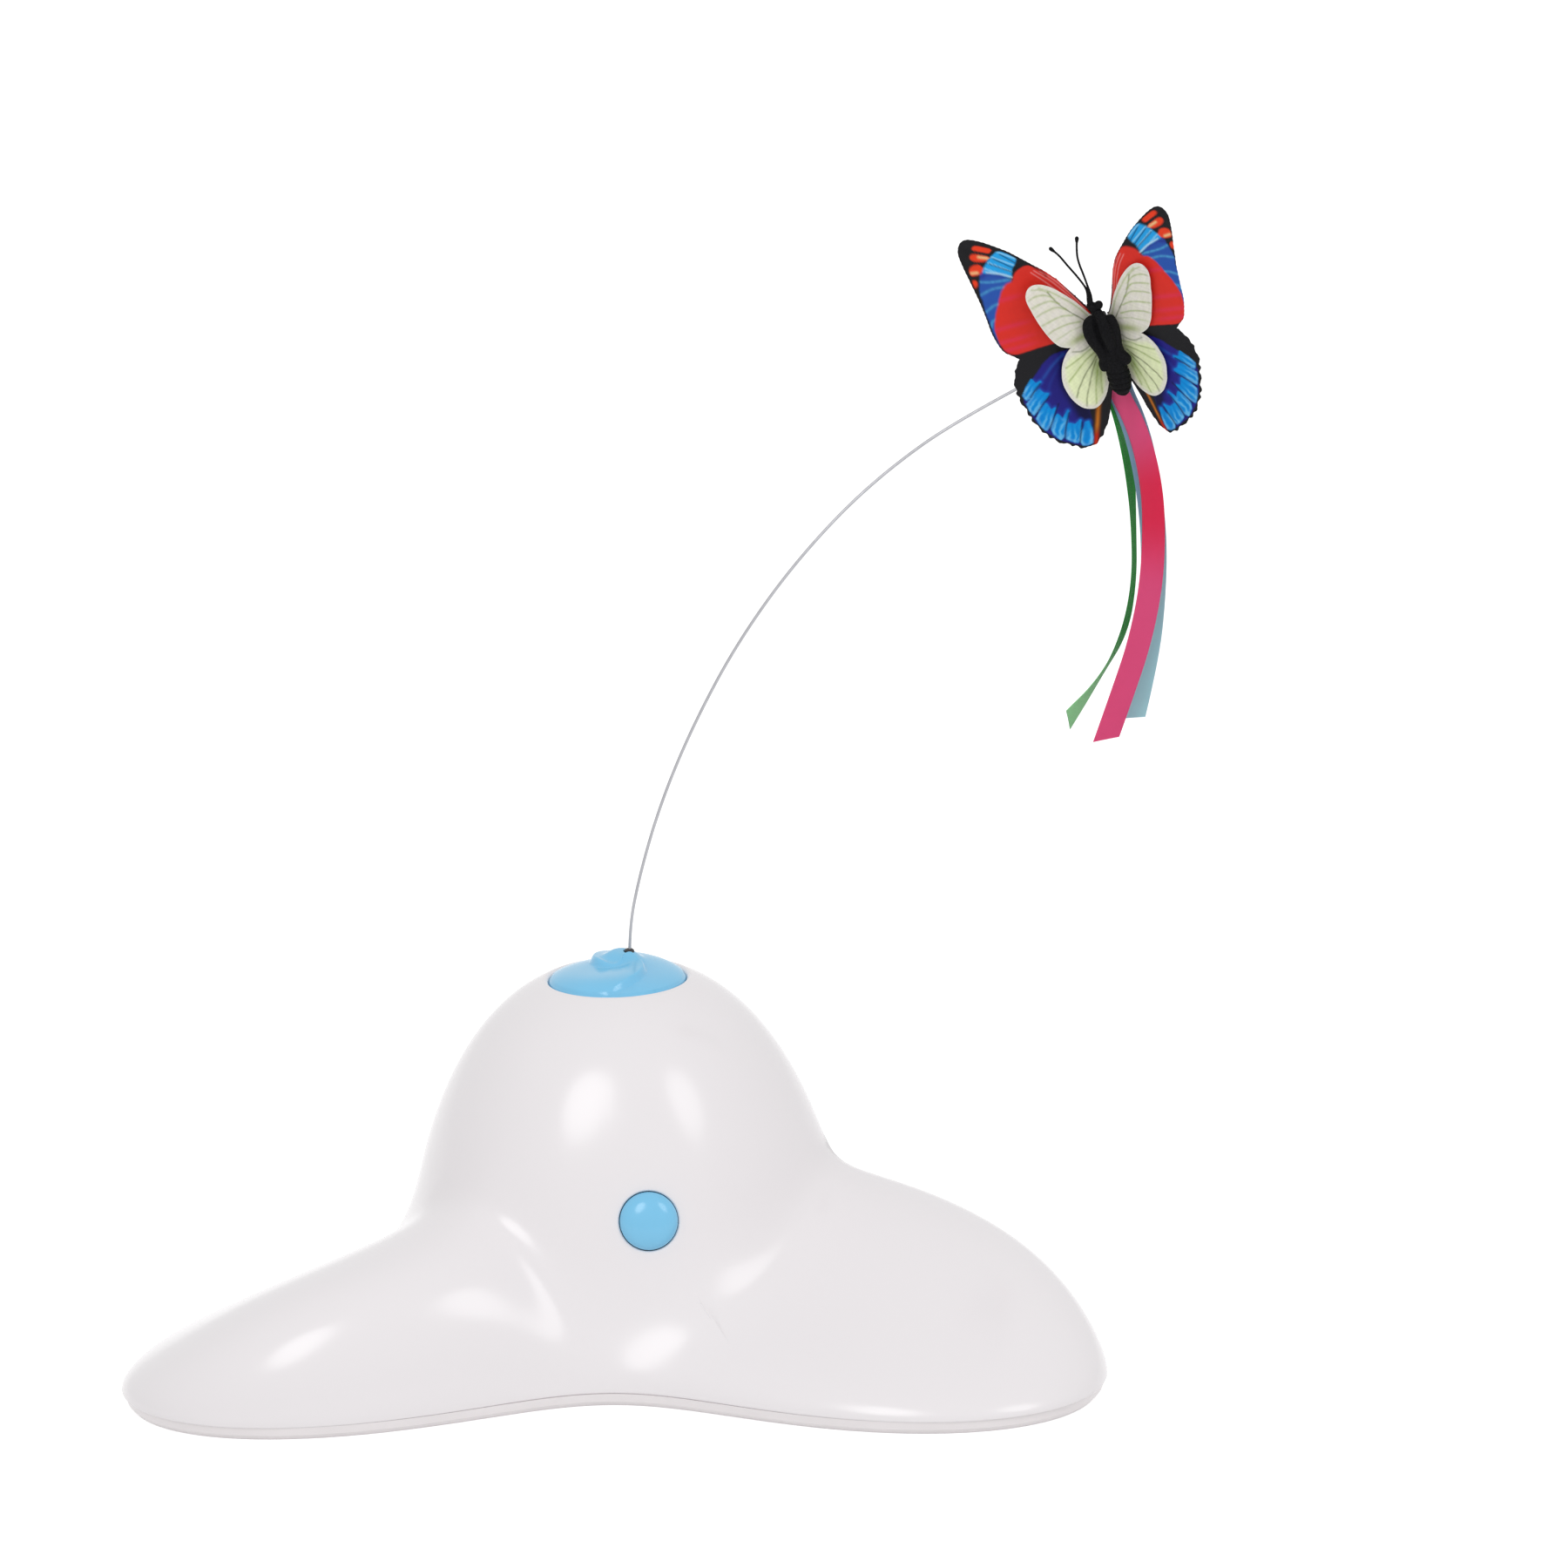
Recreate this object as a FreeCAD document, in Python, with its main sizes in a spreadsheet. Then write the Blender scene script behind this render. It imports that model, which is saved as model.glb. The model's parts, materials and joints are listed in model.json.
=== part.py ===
import FreeCAD, Part
import math
import os
import re
import Sketcher

# Battery toy for cats: a glossy base whose dome flows into three swirled lobes, a geared
# turntable on top, and a steel wire wand that carries a film butterfly with ribbon tails.
# Origin: on the rest plane, below the turntable's spin axis. +Z up, the push button faces -Y.
# Lengths are millimetres and angles are degrees.

V = FreeCAD.Vector

SIZES = {
    # Outline of the base seen from above, a three lobed curve
    "tip_radius": 118.0,
    "valley_radius": 55.1,
    "lobe_fullness": 3.8,
    "lobe_angle": -35.3,
    # Dome
    "dome_height": 81.1,
    "dome_radius": 48.7,
    "dome_shoulder": 2.45,
    "dome_side": 2.05,
    "foot_slope": 4.2,
    # Lobes: a ridge with a steep flank on one side and a gentle flank on the other
    "valley_height": 7.2,
    "ridge_near": 33.3,
    "ridge_middle": 30.8,
    "ridge_far": 32.5,
    "ridge_station": 60.0,
    "ridge_lead": 21.1,
    "ridge_twist": 2.4,
    "steep_flank": 54.5,
    "flank_spread": 30.0,
    "blend_width": 14.4,
    "edge_roundness": 7.5,
    "edge_drop": 1.55,
    # Shell walls and the seam
    "seam_level": 3.0,
    "shell_wall": 2.4,
    "rim_radius": 15.4,
    "rim_bevel": 0.7,
    # Bottom cover
    "cover_inset": 1.4,
    "cover_shoulder": 1.2,
    "land_width": 9.0,
    "recess_depth": 0.8,
    "lip_wall": 1.2,
    "lip_level": 4.7,
    "lip_clearance": 1.7,
    # Casing screws and their posts
    "lobe_screw_radius": 86.0,
    "valley_screw_radius": 46.0,
    "casing_post_radius": 3.5,
    "cover_boss_radius": 4.2,
    "post_joint_level": 6.0,
    "casing_screw_radius": 1.2,
    "casing_screw_length": 14.0,
    "casing_head_radius": 2.6,
    "casing_head_height": 1.6,
    "screw_gap": 0.3,
    # Rubber pads
    "pad_radius": 5.0,
    "pad_thickness": 1.5,
    "pad_distance": 96.0,
    "pad_gap": 0.1,
    # Battery bay
    "cell_radius": 7.1,
    "cell_length": 49.3,
    "cell_nub_radius": 2.7,
    "cell_nub_height": 1.0,
    "cell_pitch": 14.9,
    "bay_length": 57.0,
    "bay_wall": 1.4,
    "bay_roof": 1.5,
    "bay_centre": 4.0,
    "cell_gap": 0.3,
    "contact_thickness": 0.5,
    "spring_radius": 4.4,
    "spring_wire": 0.8,
    # Battery door
    "door_thickness": 2.0,
    "door_gap": 0.35,
    "door_ledge": 1.6,
    "door_tongue": 10.0,
    "door_tongue_width": 16.0,
    "door_pin_radius": 0.6,
    "door_pin_length": 1.1,
    "door_pin_gap": 0.08,
    "door_screw_radius": 1.0,
    "door_screw_length": 7.0,
    "door_head_radius": 2.2,
    "door_head_height": 1.2,
    "door_boss_height": 10.0,
    # Gear train
    "gear_module": 0.5,
    "wheel_teeth": 36,
    "pinion_teeth": 10,
    "motor_teeth": 8,
    "tooth_slack": 0.14,
    "centre_slack": 0.05,
    "gear_width": 3.2,
    "gear_step": 3.7,
    "gear_lift": 0.4,
    "second_angle": 180.0,
    "first_angle": 65.0,
    "motor_angle": 25.0,
    "pin_radius": 0.75,
    "pin_clearance": 0.05,
    "hub_radius": 1.6,
    # Gearbox
    "gearbox_level": 50.0,
    "gearbox_plate": 1.8,
    "gearbox_wall": 1.4,
    "gearbox_room": 0.8,
    "gearbox_boss_radius": 2.5,
    "gearbox_screw_radius": 0.9,
    "gearbox_screw_length": 8.0,
    "gearbox_head_radius": 1.8,
    "gearbox_head_height": 1.3,
    "mount_distance": 25.5,
    "mount_arm": 7.0,
    "mount_post_radius": 3.2,
    "mount_screw_radius": 1.1,
    "mount_screw_length": 7.0,
    "mount_head_radius": 2.3,
    "mount_head_height": 1.4,
    # Motor
    "can_radius": 10.0,
    "can_flats": 15.0,
    "can_length": 24.6,
    "can_wall": 0.8,
    "can_nose_radius": 3.0,
    "can_nose_height": 1.4,
    "end_cap_thickness": 2.2,
    "spigot_height": 2.0,
    "motor_shaft_radius": 1.0,
    "armature_radius": 6.0,
    "armature_length": 13.0,
    "magnet_gap": 0.5,
    "terminal_length": 3.0,
    "terminal_width": 2.0,
    "terminal_thickness": 0.4,
    "terminal_spread": 6.0,
    "motor_screw_spread": 6.5,
    "motor_screw_radius": 0.8,
    "motor_screw_length": 1.8,
    "motor_head_radius": 1.4,
    "motor_head_height": 0.8,
    "motor_head_level": 0.9,
    # Output shaft and turntable
    "shaft_radius": 1.5,
    "shaft_flat": 0.4,
    "shaft_clearance": 0.04,
    "bush_radius": 3.2,
    "bush_collar": 4.2,
    "bush_rise": 2.4,
    "table_radius": 15.0,
    "table_edge": 2.2,
    "table_drop": 0.3,
    "table_crown": 2.2,
    "hub_outer_radius": 4.0,
    "hub_length": 7.0,
    "swirl_height": 1.2,
    "swirl_angle": 255.0,
    "swirl_twist": 85.0,
    "boss_x": 0.9,
    "boss_y": 2.5,
    "boss_height": 3.4,
    "boss_spread": 3.4,
    "socket_x": 2.8,
    "socket_y": 2.5,
    "socket_depth": 6.0,
    "socket_clearance": 0.05,
    # Push button and switch
    "button_x": 4.7,
    "button_level": 37.5,
    "button_tilt": 15.0,
    "button_radius": 6.2,
    "button_clearance": 0.35,
    "button_proud": 2.3,
    "button_depth": 4.8,
    "button_flange": 1.2,
    "button_flange_height": 0.8,
    "button_round": 1.1,
    "button_travel": 2.0,
    "plunger_radius": 1.8,
    "plunger_length": 5.0,
    "plunger_clearance": 0.1,
    "switch_side": 9.0,
    "switch_depth": 7.0,
    "switch_front": 8.0,
    "board_length": 27.0,
    "board_width": 19.0,
    "board_thickness": 1.6,
    "board_screw_spread": 10.3,
    "board_post_radius": 2.6,
    "board_screw_radius": 0.9,
    "board_screw_length": 6.0,
    "board_head_radius": 1.9,
    "board_head_height": 1.3,
    "chip_length": 8.0,
    "chip_width": 5.0,
    "chip_height": 1.4,
    # Leads
    "lead_radius": 0.5,
    # Wand
    "plug_radius": 1.1,
    "plug_proud": 0.6,
    "plug_bore_depth": 5.0,
    "wire_radius": 0.42,
    "sleeve_radius": 1.1,
    "sleeve_length": 6.0,
    "sleeve_clearance": 0.05,
    # Butterfly, placed from the socket and turned to face forwards
    "butterfly_x": 106.2,
    "butterfly_y": -6.4,
    "butterfly_z": 132.1,
    "butterfly_yaw": -17.3,
    "butterfly_pitch": -11.1,
    "butterfly_roll": 18.8,
    "head_radius": 1.8,
    "neck_radius": 1.4,
    "thorax_radius": 3.5,
    "waist_radius": 2.3,
    "tail_radius": 2.35,
    "side_lobe_radius": 2.1,
    "body_flat": 0.8,
    "film_thickness": 0.3,
    "fold_offset": 1.2,
    "fold_back": 1.9,
    "strip_half_width": 0.9,
    "strip_length": 15.0,
    "strip_depth": 4.1,
    "saddle_place": -2.4,
    "saddle_width": 3.4,
    "saddle_length": 4.2,
    "saddle_depth": 3.6,
    "outer_film_depth": 3.75,
    "inner_film_depth": 2.95,
    "outer_dihedral": 20.0,
    "inner_dihedral": 24.0,
    "antenna_radius": 0.22,
    "antenna_tip_radius": 0.5,
    # Ribbons
    "ribbon_width": 5.0,
    "ribbon_thickness": 0.3,
    "ribbon_spacing": 0.6,
    "binding_width": 7.4,
    "binding_length": 2.2,
    "binding_wall": 0.5,
    "binding_back": 7.2,
}

doc = FreeCAD.newDocument("butterfly_toy")
sheet = doc.addObject("Spreadsheet::Sheet", "sizes")
for row, (word, value) in enumerate(SIZES.items(), start=1):
    sheet.set("A%d" % row, word)
    sheet.set("B%d" % row, str(value))
    sheet.setAlias("B%d" % row, word)
doc.recompute()


class SheetReader:
    """Gives each driving dimension back from the sheet as a number."""

    def __getattr__(self, word):
        return float(sheet.get(word))


S = SheetReader()
NODES = []


def amount(text):
    """The value of a formula written in the sheet's words, worked out in a spare cell."""
    sheet.set("D1", "=" + text)
    sheet.recompute()
    return float(sheet.get("D1"))


# Helpers that make document objects

def bind(obj, **formulas):
    """Bind properties to formulas written in the sheet's words."""
    for prop, text in formulas.items():
        linked = re.sub(
            r"[a-z_]+", lambda m: "sizes." + m.group() if m.group() in SIZES else m.group(), text)
        obj.setExpression(prop, linked)
    obj.recompute()


def at(x=0.0, y=0.0, z=0.0, turn=None):
    """A frame at a point, turned or not."""
    return FreeCAD.Placement(V(x, y, z), turn or FreeCAD.Rotation())


def about(axis, angle):
    """A rotation about an axis by degrees."""
    return FreeCAD.Rotation(axis, angle)


X_AXIS, Y_AXIS, Z_AXIS = V(1, 0, 0), V(0, 1, 0), V(0, 0, 1)
HERE = at()
UPSIDE_DOWN = about(X_AXIS, 180)


def cylinder(frame, radius, height):
    """A Part cylinder that stands on its frame's origin."""
    obj = doc.addObject("Part::Cylinder", "Round")
    bind(obj, Radius=radius, Height=height)
    obj.Placement = frame
    return obj


def block(frame, length, width, height):
    """A Part box centred on its frame in x and y, standing on the frame's plane."""
    obj = doc.addObject("Part::Box", "Block")
    bind(obj, Length=length, Width=width, Height=height)
    obj.Placement = frame * at(-obj.Length.Value / 2, -obj.Width.Value / 2)
    return obj


def solid(shape, frame=HERE):
    """A Part feature that holds a shape made from the sheet's sizes."""
    obj = doc.addObject("Part::Feature", "Form")
    obj.Shape = shape
    obj.Placement = frame
    return obj


def fuse(*parts):
    """One solid, or one tool, of several."""
    obj = doc.addObject("Part::MultiFuse", "Joined")
    obj.Shapes = list(parts)
    return obj


def cut(base, *tools):
    """A base with tools taken away."""
    obj = doc.addObject("Part::Cut", "Cut")
    obj.Base = base
    obj.Tool = tools[0] if len(tools) == 1 else fuse(*tools)
    return obj


def common(base, tool):
    """What two solids share."""
    obj = doc.addObject("Part::Common", "Shared")
    obj.Base = base
    obj.Tool = tool
    return obj


def node(obj, name):
    """Name a finished sub-part after its file."""
    obj.Label = name
    NODES.append(obj)
    return obj


def origin_plane(body, role):
    """One of a body's own origin planes."""
    return [f for f in body.Origin.OriginFeatures if f.Role == role][0]


def turned(frame, profile):
    """A PartDesign body turned about its z axis from (radius, height) formulas."""
    body = doc.addObject("PartDesign::Body", "Turned")
    sketch = body.newObject("Sketcher::SketchObject", "Profile")
    sketch.AttachmentSupport = (origin_plane(body, "XZ_Plane"), "")
    sketch.MapMode = "FlatFace"
    count = len(profile)
    spots = [V(amount(radius), amount(height), 0) for radius, height in profile]
    for i in range(count):
        sketch.addGeometry(Part.LineSegment(spots[i], spots[(i + 1) % count]), False)
    for i in range(count):
        sketch.addConstraint(Sketcher.Constraint("Coincident", i, 2, (i + 1) % count, 1))
    for i, (radius, height) in enumerate(profile):
        for kind, text, number, axis in (("DistanceX", radius, spots[i].x, -2),
                                         ("DistanceY", height, spots[i].y, -1)):
            if text == "0":
                sketch.addConstraint(Sketcher.Constraint("PointOnObject", i, 1, axis))
            else:
                index = sketch.addConstraint(Sketcher.Constraint(kind, i, 1, number))
                bind(sketch, **{"Constraints[%d]" % index: text})
    turn = body.newObject("PartDesign::Revolution", "Turn")
    turn.Profile = sketch
    turn.ReferenceAxis = (sketch, ["V_Axis"])
    turn.Angle = 360
    body.Placement = frame
    return body


def copies(master, frames):
    """One object that holds a copy of a master's shape in each frame."""
    master.recompute(True)
    pieces = []
    for frame in frames:
        piece = master.Shape.copy()
        piece.Placement = frame * piece.Placement
        pieces.append(piece)
    return solid(Part.makeCompound(pieces))


def polar(radius, angle, z=0.0):
    """A point at a radius and an angle about the z axis."""
    return V(radius * math.cos(math.radians(angle)), radius * math.sin(math.radians(angle)), z)


# Form of the base

RING_POINTS = 72
STATIONS = 58
TOP_RING = 10.0
STATION_CROWDING = 1.6


def outline_radius(angle):
    """Distance from the axis to the base's edge: a mean, a three lobe wave and its double."""
    wave = math.radians(3 * (angle - S.lobe_angle))
    mean = (S.tip_radius + S.valley_radius) / 2 - S.lobe_fullness
    swing = (S.tip_radius - S.valley_radius) / 2
    return mean + swing * math.cos(wave) + S.lobe_fullness * math.cos(2 * wave)


def core_height(share):
    """Height of the dome's core at a share of its radius, a superellipse."""
    return S.dome_height * (1 - share ** S.dome_shoulder) ** (1 / S.dome_side)


def find_foot():
    """The share of the dome's radius where its side reaches the foot slope."""
    low, high = 0.05, 0.9999
    step = 1e-5
    for _ in range(50):
        middle = (low + high) / 2
        fall = (core_height(middle) - core_height(middle + step)) / (step * S.dome_radius)
        low, high = (middle, high) if fall < S.foot_slope else (low, middle)
    return low


FOOT_SHARE = find_foot()


def dome_level(radius):
    """Height of the dome: its core, then a flared foot that dies away."""
    share = radius / S.dome_radius
    if share < FOOT_SHARE:
        return core_height(share)
    foot = core_height(FOOT_SHARE)
    beyond = radius - FOOT_SHARE * S.dome_radius
    return foot * math.exp(-S.foot_slope * beyond / foot)


def lobe_level(angle, radius):
    """Height of the lobes: a cosine ridge with unequal flanks over a low valley."""
    out = (radius - S.ridge_station) / S.ridge_station
    crest = (S.ridge_near * (1 - out) * (1 - 2 * out) + 4 * S.ridge_middle * out * (1 - out)
             + S.ridge_far * out * (2 * out - 1))
    past = (angle - S.lobe_angle - S.ridge_lead - S.ridge_twist * out) % 120
    steep = min(max(S.steep_flank + S.flank_spread * out, 10), 100)
    share = past / steep if past < steep else (120 - past) / (120 - steep)
    return S.valley_height + (crest - S.valley_height) * (1 + math.cos(math.pi * share)) / 2


def base_level(angle, radius, edge):
    """Height of the base: dome and lobes blended, rounded down to the seam at the edge."""
    dome, lobe = dome_level(radius), lobe_level(angle, radius)
    blended = (dome + lobe + math.hypot(dome - lobe, S.blend_width)) / 2
    drop = max(1 - min(radius / edge, 1) ** S.edge_roundness, 0) ** (1 / S.edge_drop)
    return S.seam_level + (blended - S.seam_level) * drop


def base_point(angle, share):
    """A point of the outer form, share 0 at the top ring and 1 at the seam."""
    edge = outline_radius(angle)
    radius = TOP_RING + (edge - TOP_RING) * (1 - (1 - share) ** STATION_CROWDING)
    return polar(radius, angle, base_level(angle, radius, edge))


def outward(angle):
    """Unit normal of the outline in plan."""
    step = 0.01
    run = (polar(outline_radius(angle + step), angle + step)
           - polar(outline_radius(angle - step), angle - step))
    return V(run.y, -run.x, 0).normalize()


def base_normal(angle, share):
    """Unit normal of the outer form, from two short chords."""
    if share > 0.999:
        return outward(angle)
    turn, step = 0.05, 0.0005
    across = base_point(angle + turn, share) - base_point(angle - turn, share)
    down = base_point(angle, share + step) - base_point(angle, max(share - step, 0))
    return down.cross(across).normalize()


RING_ANGLES = [360.0 * i / RING_POINTS for i in range(RING_POINTS)]
LAST = STATIONS - 3
SHARES = [0, 1 / (3 * LAST)] + [i / LAST for i in range(1, LAST)] + [1 - 1 / (3 * LAST), 1]


def level_ring(ring):
    """A ring of points brought to their mean height."""
    mean = sum(p.z for p in ring) / len(ring)
    return [V(p.x, p.y, mean) for p in ring]


def base_form(inset, extend):
    """Closed solid under the outer form set in by a wall, its last ring lowered a little."""
    rings = []
    for share in SHARES:
        rings.append([base_point(a, share) - base_normal(a, share) * inset for a in RING_ANGLES])
    rings[0] = level_ring(rings[0])
    rings[-1] = [V(p.x, p.y, S.seam_level - extend) for p in rings[-1]]
    poles = [[ring[i] for ring in rings] for i in range(RING_POINTS)]
    surface = Part.BSplineSurface()
    surface.buildFromPolesMultsKnots(
        poles, [1] * (RING_POINTS + 1), [4] + [1] * (LAST - 1) + [4],
        list(range(RING_POINTS + 1)), list(range(LAST + 1)), True, False, 3, 3)
    side = surface.toShape()
    caps = [Part.Face(Part.Wire([edge])) for edge in side.Edges if edge.isClosed()]
    skin = Part.makeShell([side] + caps)
    skin.sewShape()
    form = Part.makeSolid(skin)
    if form.Volume < 0:
        form.reverse()
    return form


def outline_wire(inset, z):
    """The base's outline set in by a distance, as one closed curve."""
    poles = [polar(outline_radius(a), a, z) - outward(a) * inset for a in RING_ANGLES]
    curve = Part.BSplineCurve()
    curve.buildFromPolesMultsKnots(
        poles, [1] * (RING_POINTS + 1), list(range(RING_POINTS + 1)), True, 3)
    return Part.Wire([curve.toShape()])


def outline_slab(inset, low, high):
    """A slab with the outline's plan between two levels."""
    return Part.Face(outline_wire(inset, low)).extrude(V(0, 0, high - low))


# Frames that several sub-parts share

WHEEL_PITCH = S.gear_module * S.wheel_teeth / 2
STAGE = S.gear_module * (S.wheel_teeth + S.pinion_teeth) / 2 + S.centre_slack
MOTOR_STAGE = S.gear_module * (S.wheel_teeth + S.motor_teeth) / 2 + S.centre_slack
SECOND_AXIS = polar(STAGE, S.second_angle)
FIRST_AXIS = SECOND_AXIS + polar(STAGE, S.first_angle)
MOTOR_AXIS = FIRST_AXIS + polar(MOTOR_STAGE, S.motor_angle)
GEAR_FLOOR = S.gearbox_level + S.gearbox_plate
LID_LEVEL = GEAR_FLOOR + S.gear_lift + 3 * S.gear_step
LID_TOP = LID_LEVEL + S.gearbox_plate
MOUNT_ANGLES = (-30, 90, 210)

RIM_LEVEL = base_level(0, S.rim_radius, outline_radius(0))
TABLE_EDGE_LEVEL = RIM_LEVEL - S.table_drop

CASING_SPOTS = ([polar(S.lobe_screw_radius, S.lobe_angle + 120 * i) for i in range(3)]
                + [polar(S.valley_screw_radius, S.lobe_angle + 60 + 120 * i) for i in range(3)])
PAD_SPOTS = [polar(S.pad_distance, S.lobe_angle + 120 * i) for i in range(3)]


def wall_point(x, z):
    """Where the front of the outer form stands at a place and a height."""
    low, high = S.rim_radius, outline_radius(-90)
    for _ in range(50):
        middle = (low + high) / 2
        radius = math.hypot(x, middle)
        angle = math.degrees(math.atan2(-middle, x))
        high_enough = base_level(angle, radius, outline_radius(angle)) > z
        low, high = (middle, high) if high_enough else (low, middle)
    return V(x, -low, z)


# Button frame: origin on the wall, z outwards, x to the right
BUTTON = FreeCAD.Placement(
    wall_point(S.button_x, S.button_level), about(X_AXIS, 90 - S.button_tilt))


# Base: top shell

def top_shell():
    outer = solid(base_form(0, 0))
    inner = solid(base_form(S.shell_wall, 1))
    posts = [cylinder(at(p.x, p.y, S.post_joint_level), "casing_post_radius", "dome_height")
             for p in CASING_SPOTS]
    for angle in MOUNT_ANGLES:
        p = polar(S.mount_distance, angle)
        posts.append(cylinder(at(p.x, p.y, LID_TOP), "mount_post_radius", "dome_height"))
    for side in (-1, 1):
        frame = BUTTON * at(side * S.board_screw_spread, 0, -S.switch_front - S.switch_depth)
        posts.append(cylinder(frame, "board_post_radius", "switch_front + switch_depth + 10"))
    blank = cut(outer, cut(inner, *posts))
    holes = [
        cylinder(at(0, 0, LID_TOP), "rim_radius", "dome_height"),
        cylinder(BUTTON * at(0, 0, -S.button_depth), "button_radius + button_clearance",
                 "button_depth + 10"),
    ]
    bevel = doc.addObject("Part::Cone", "Bevel")
    bind(bevel, Radius1="rim_radius", Radius2="rim_radius + 4 * rim_bevel", Height="4 * rim_bevel")
    bevel.Placement = at(0, 0, RIM_LEVEL - S.rim_bevel)
    holes.append(bevel)
    for p in CASING_SPOTS:
        holes.append(cylinder(at(p.x, p.y), "casing_screw_radius",
                              "casing_screw_length + recess_depth + casing_head_height + 1"))
    for angle in MOUNT_ANGLES:
        p = polar(S.mount_distance, angle)
        holes.append(cylinder(at(p.x, p.y, LID_TOP - S.gearbox_plate), "mount_screw_radius",
                              "mount_screw_length"))
    for side in (-1, 1):
        frame = BUTTON * at(side * S.board_screw_spread, 0,
                            -S.switch_front - S.switch_depth - S.board_thickness)
        holes.append(cylinder(frame, "board_screw_radius", "board_screw_length"))
    return node(cut(blank, *holes), "top_shell")


# Bottom cover, battery bay and door

BAY_LOW = S.recess_depth + S.door_thickness
CELL_AXIS = BAY_LOW + S.cell_gap + S.cell_radius
BAY_ROOF = CELL_AXIS + S.cell_radius + S.cell_gap
BAY_WIDTH = 3 * S.cell_pitch
OPEN_WIDTH = BAY_WIDTH + 2 * S.door_ledge
OPEN_FRONT = S.bay_centre - S.bay_length / 2 - S.door_ledge
OPEN_BACK = S.bay_centre + S.bay_length / 2 + S.door_ledge
DOOR_PIN_LEVEL = S.recess_depth + S.door_thickness / 2
DOOR_PIN_Y = OPEN_BACK - S.door_gap - S.door_thickness / 2
DOOR_SCREW_Y = OPEN_FRONT - S.door_tongue / 2


def bottom_cover():
    plate = solid(Part.makeLoft([outline_wire(S.cover_inset, 0),
                                 outline_wire(S.cover_inset / 4, S.cover_shoulder),
                                 outline_wire(0, S.seam_level)], True, True))
    inset = S.shell_wall + S.lip_clearance
    lip = solid(outline_slab(inset, S.cover_shoulder, S.lip_level).cut(
        outline_slab(inset + S.lip_wall, S.cover_shoulder, S.lip_level + 1)))
    middle = (OPEN_FRONT + OPEN_BACK) / 2
    bay = block(at(0, middle, BAY_LOW),
                "3 * cell_pitch + 2 * door_ledge + 2 * bay_wall",
                "bay_length + 2 * door_ledge + 2 * bay_wall",
                "2 * cell_gap + 2 * cell_radius + bay_roof")
    screw_boss = block(at(0, OPEN_FRONT - S.door_tongue / 2, BAY_LOW),
                       "door_tongue_width + 2 * bay_wall", "door_tongue + 2 * bay_wall",
                       "door_boss_height - recess_depth - door_thickness")
    bosses = [cylinder(at(p.x, p.y, S.recess_depth), "cover_boss_radius",
                       "post_joint_level - recess_depth") for p in CASING_SPOTS]
    full = fuse(plate, lip, bay, screw_boss, *bosses)
    land_inset = S.cover_inset + S.land_width
    tools = [
        solid(outline_slab(land_inset, -1, S.recess_depth)),
        block(at(0, middle, 0), "3 * cell_pitch + 2 * door_ledge",
              "bay_length + 2 * door_ledge", "recess_depth + door_thickness"),
        block(at(0, OPEN_FRONT - S.door_tongue / 2, 0), "door_tongue_width",
              "door_tongue + 1", "recess_depth + door_thickness"),
        block(at(0, S.bay_centre, 1), "3 * cell_pitch", "bay_length",
              "recess_depth + door_thickness + 2 * cell_gap + 2 * cell_radius - 1"),
        cylinder(at(0, DOOR_SCREW_Y, 0), "door_screw_radius",
                 "recess_depth + door_head_height + door_screw_length"),
        cylinder(at(-OPEN_WIDTH / 2 - S.door_pin_length - S.door_pin_gap, DOOR_PIN_Y,
                    DOOR_PIN_LEVEL, about(Y_AXIS, 90)),
                 "door_pin_radius + door_pin_gap",
                 "3 * cell_pitch + 2 * door_ledge + 2 * door_pin_length + 2 * door_pin_gap"),
    ]
    for p in CASING_SPOTS:
        tools.append(cylinder(at(p.x, p.y, 0), "casing_screw_radius + screw_gap / 2",
                              "post_joint_level"))
        tools.append(cylinder(at(p.x, p.y, 0), "casing_head_radius + screw_gap",
                              "recess_depth + casing_head_height + screw_gap"))
    for p in PAD_SPOTS:
        tools.append(cylinder(at(p.x, p.y, 0), "pad_radius + pad_gap", "pad_thickness"))
    return node(cut(full, *tools), "bottom_cover")


def battery_door():
    low, thick, gap = S.recess_depth, S.door_thickness, S.door_gap
    front = OPEN_FRONT + gap
    middle = (front + DOOR_PIN_Y) / 2
    panel = block(at(0, middle, low), "3 * cell_pitch + 2 * door_ledge - 2 * door_gap",
                  "bay_length + 2 * door_ledge - 2 * door_gap - door_thickness / 2",
                  "door_thickness")
    tongue = block(at(0, front - S.door_tongue / 2, low),
                   "door_tongue_width - 2 * door_gap", "door_tongue", "door_thickness")
    side = OPEN_WIDTH / 2 - gap
    barrel = cylinder(at(-side, DOOR_PIN_Y, DOOR_PIN_LEVEL, about(Y_AXIS, 90)),
                      "door_thickness / 2", "3 * cell_pitch + 2 * door_ledge - 2 * door_gap")
    pins = cylinder(at(-side - S.door_pin_length, DOOR_PIN_Y, DOOR_PIN_LEVEL, about(Y_AXIS, 90)),
                    "door_pin_radius",
                    "3 * cell_pitch + 2 * door_ledge - 2 * door_gap + 2 * door_pin_length")
    full = fuse(panel, tongue, barrel, pins)
    hole = cylinder(at(0, DOOR_SCREW_Y, 0), "door_screw_radius", "recess_depth + door_thickness")
    sink = cylinder(at(0, DOOR_SCREW_Y, 0), "door_head_radius + door_pin_gap",
                    "recess_depth + door_head_height")
    grips = [block(at(0, OPEN_FRONT + 4 + 2.4 * i, 0), "door_tongue_width", "recess_depth",
                   "recess_depth * 1.5") for i in range(4)]
    node(cut(full, hole, sink, *grips), "battery_door")
    screw = screw_form(at(0, DOOR_SCREW_Y, S.recess_depth + S.door_head_height),
                       "door_head_radius", "door_head_height", "door_screw_radius",
                       "door_screw_length")
    node(screw, "battery_door_screw")


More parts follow.
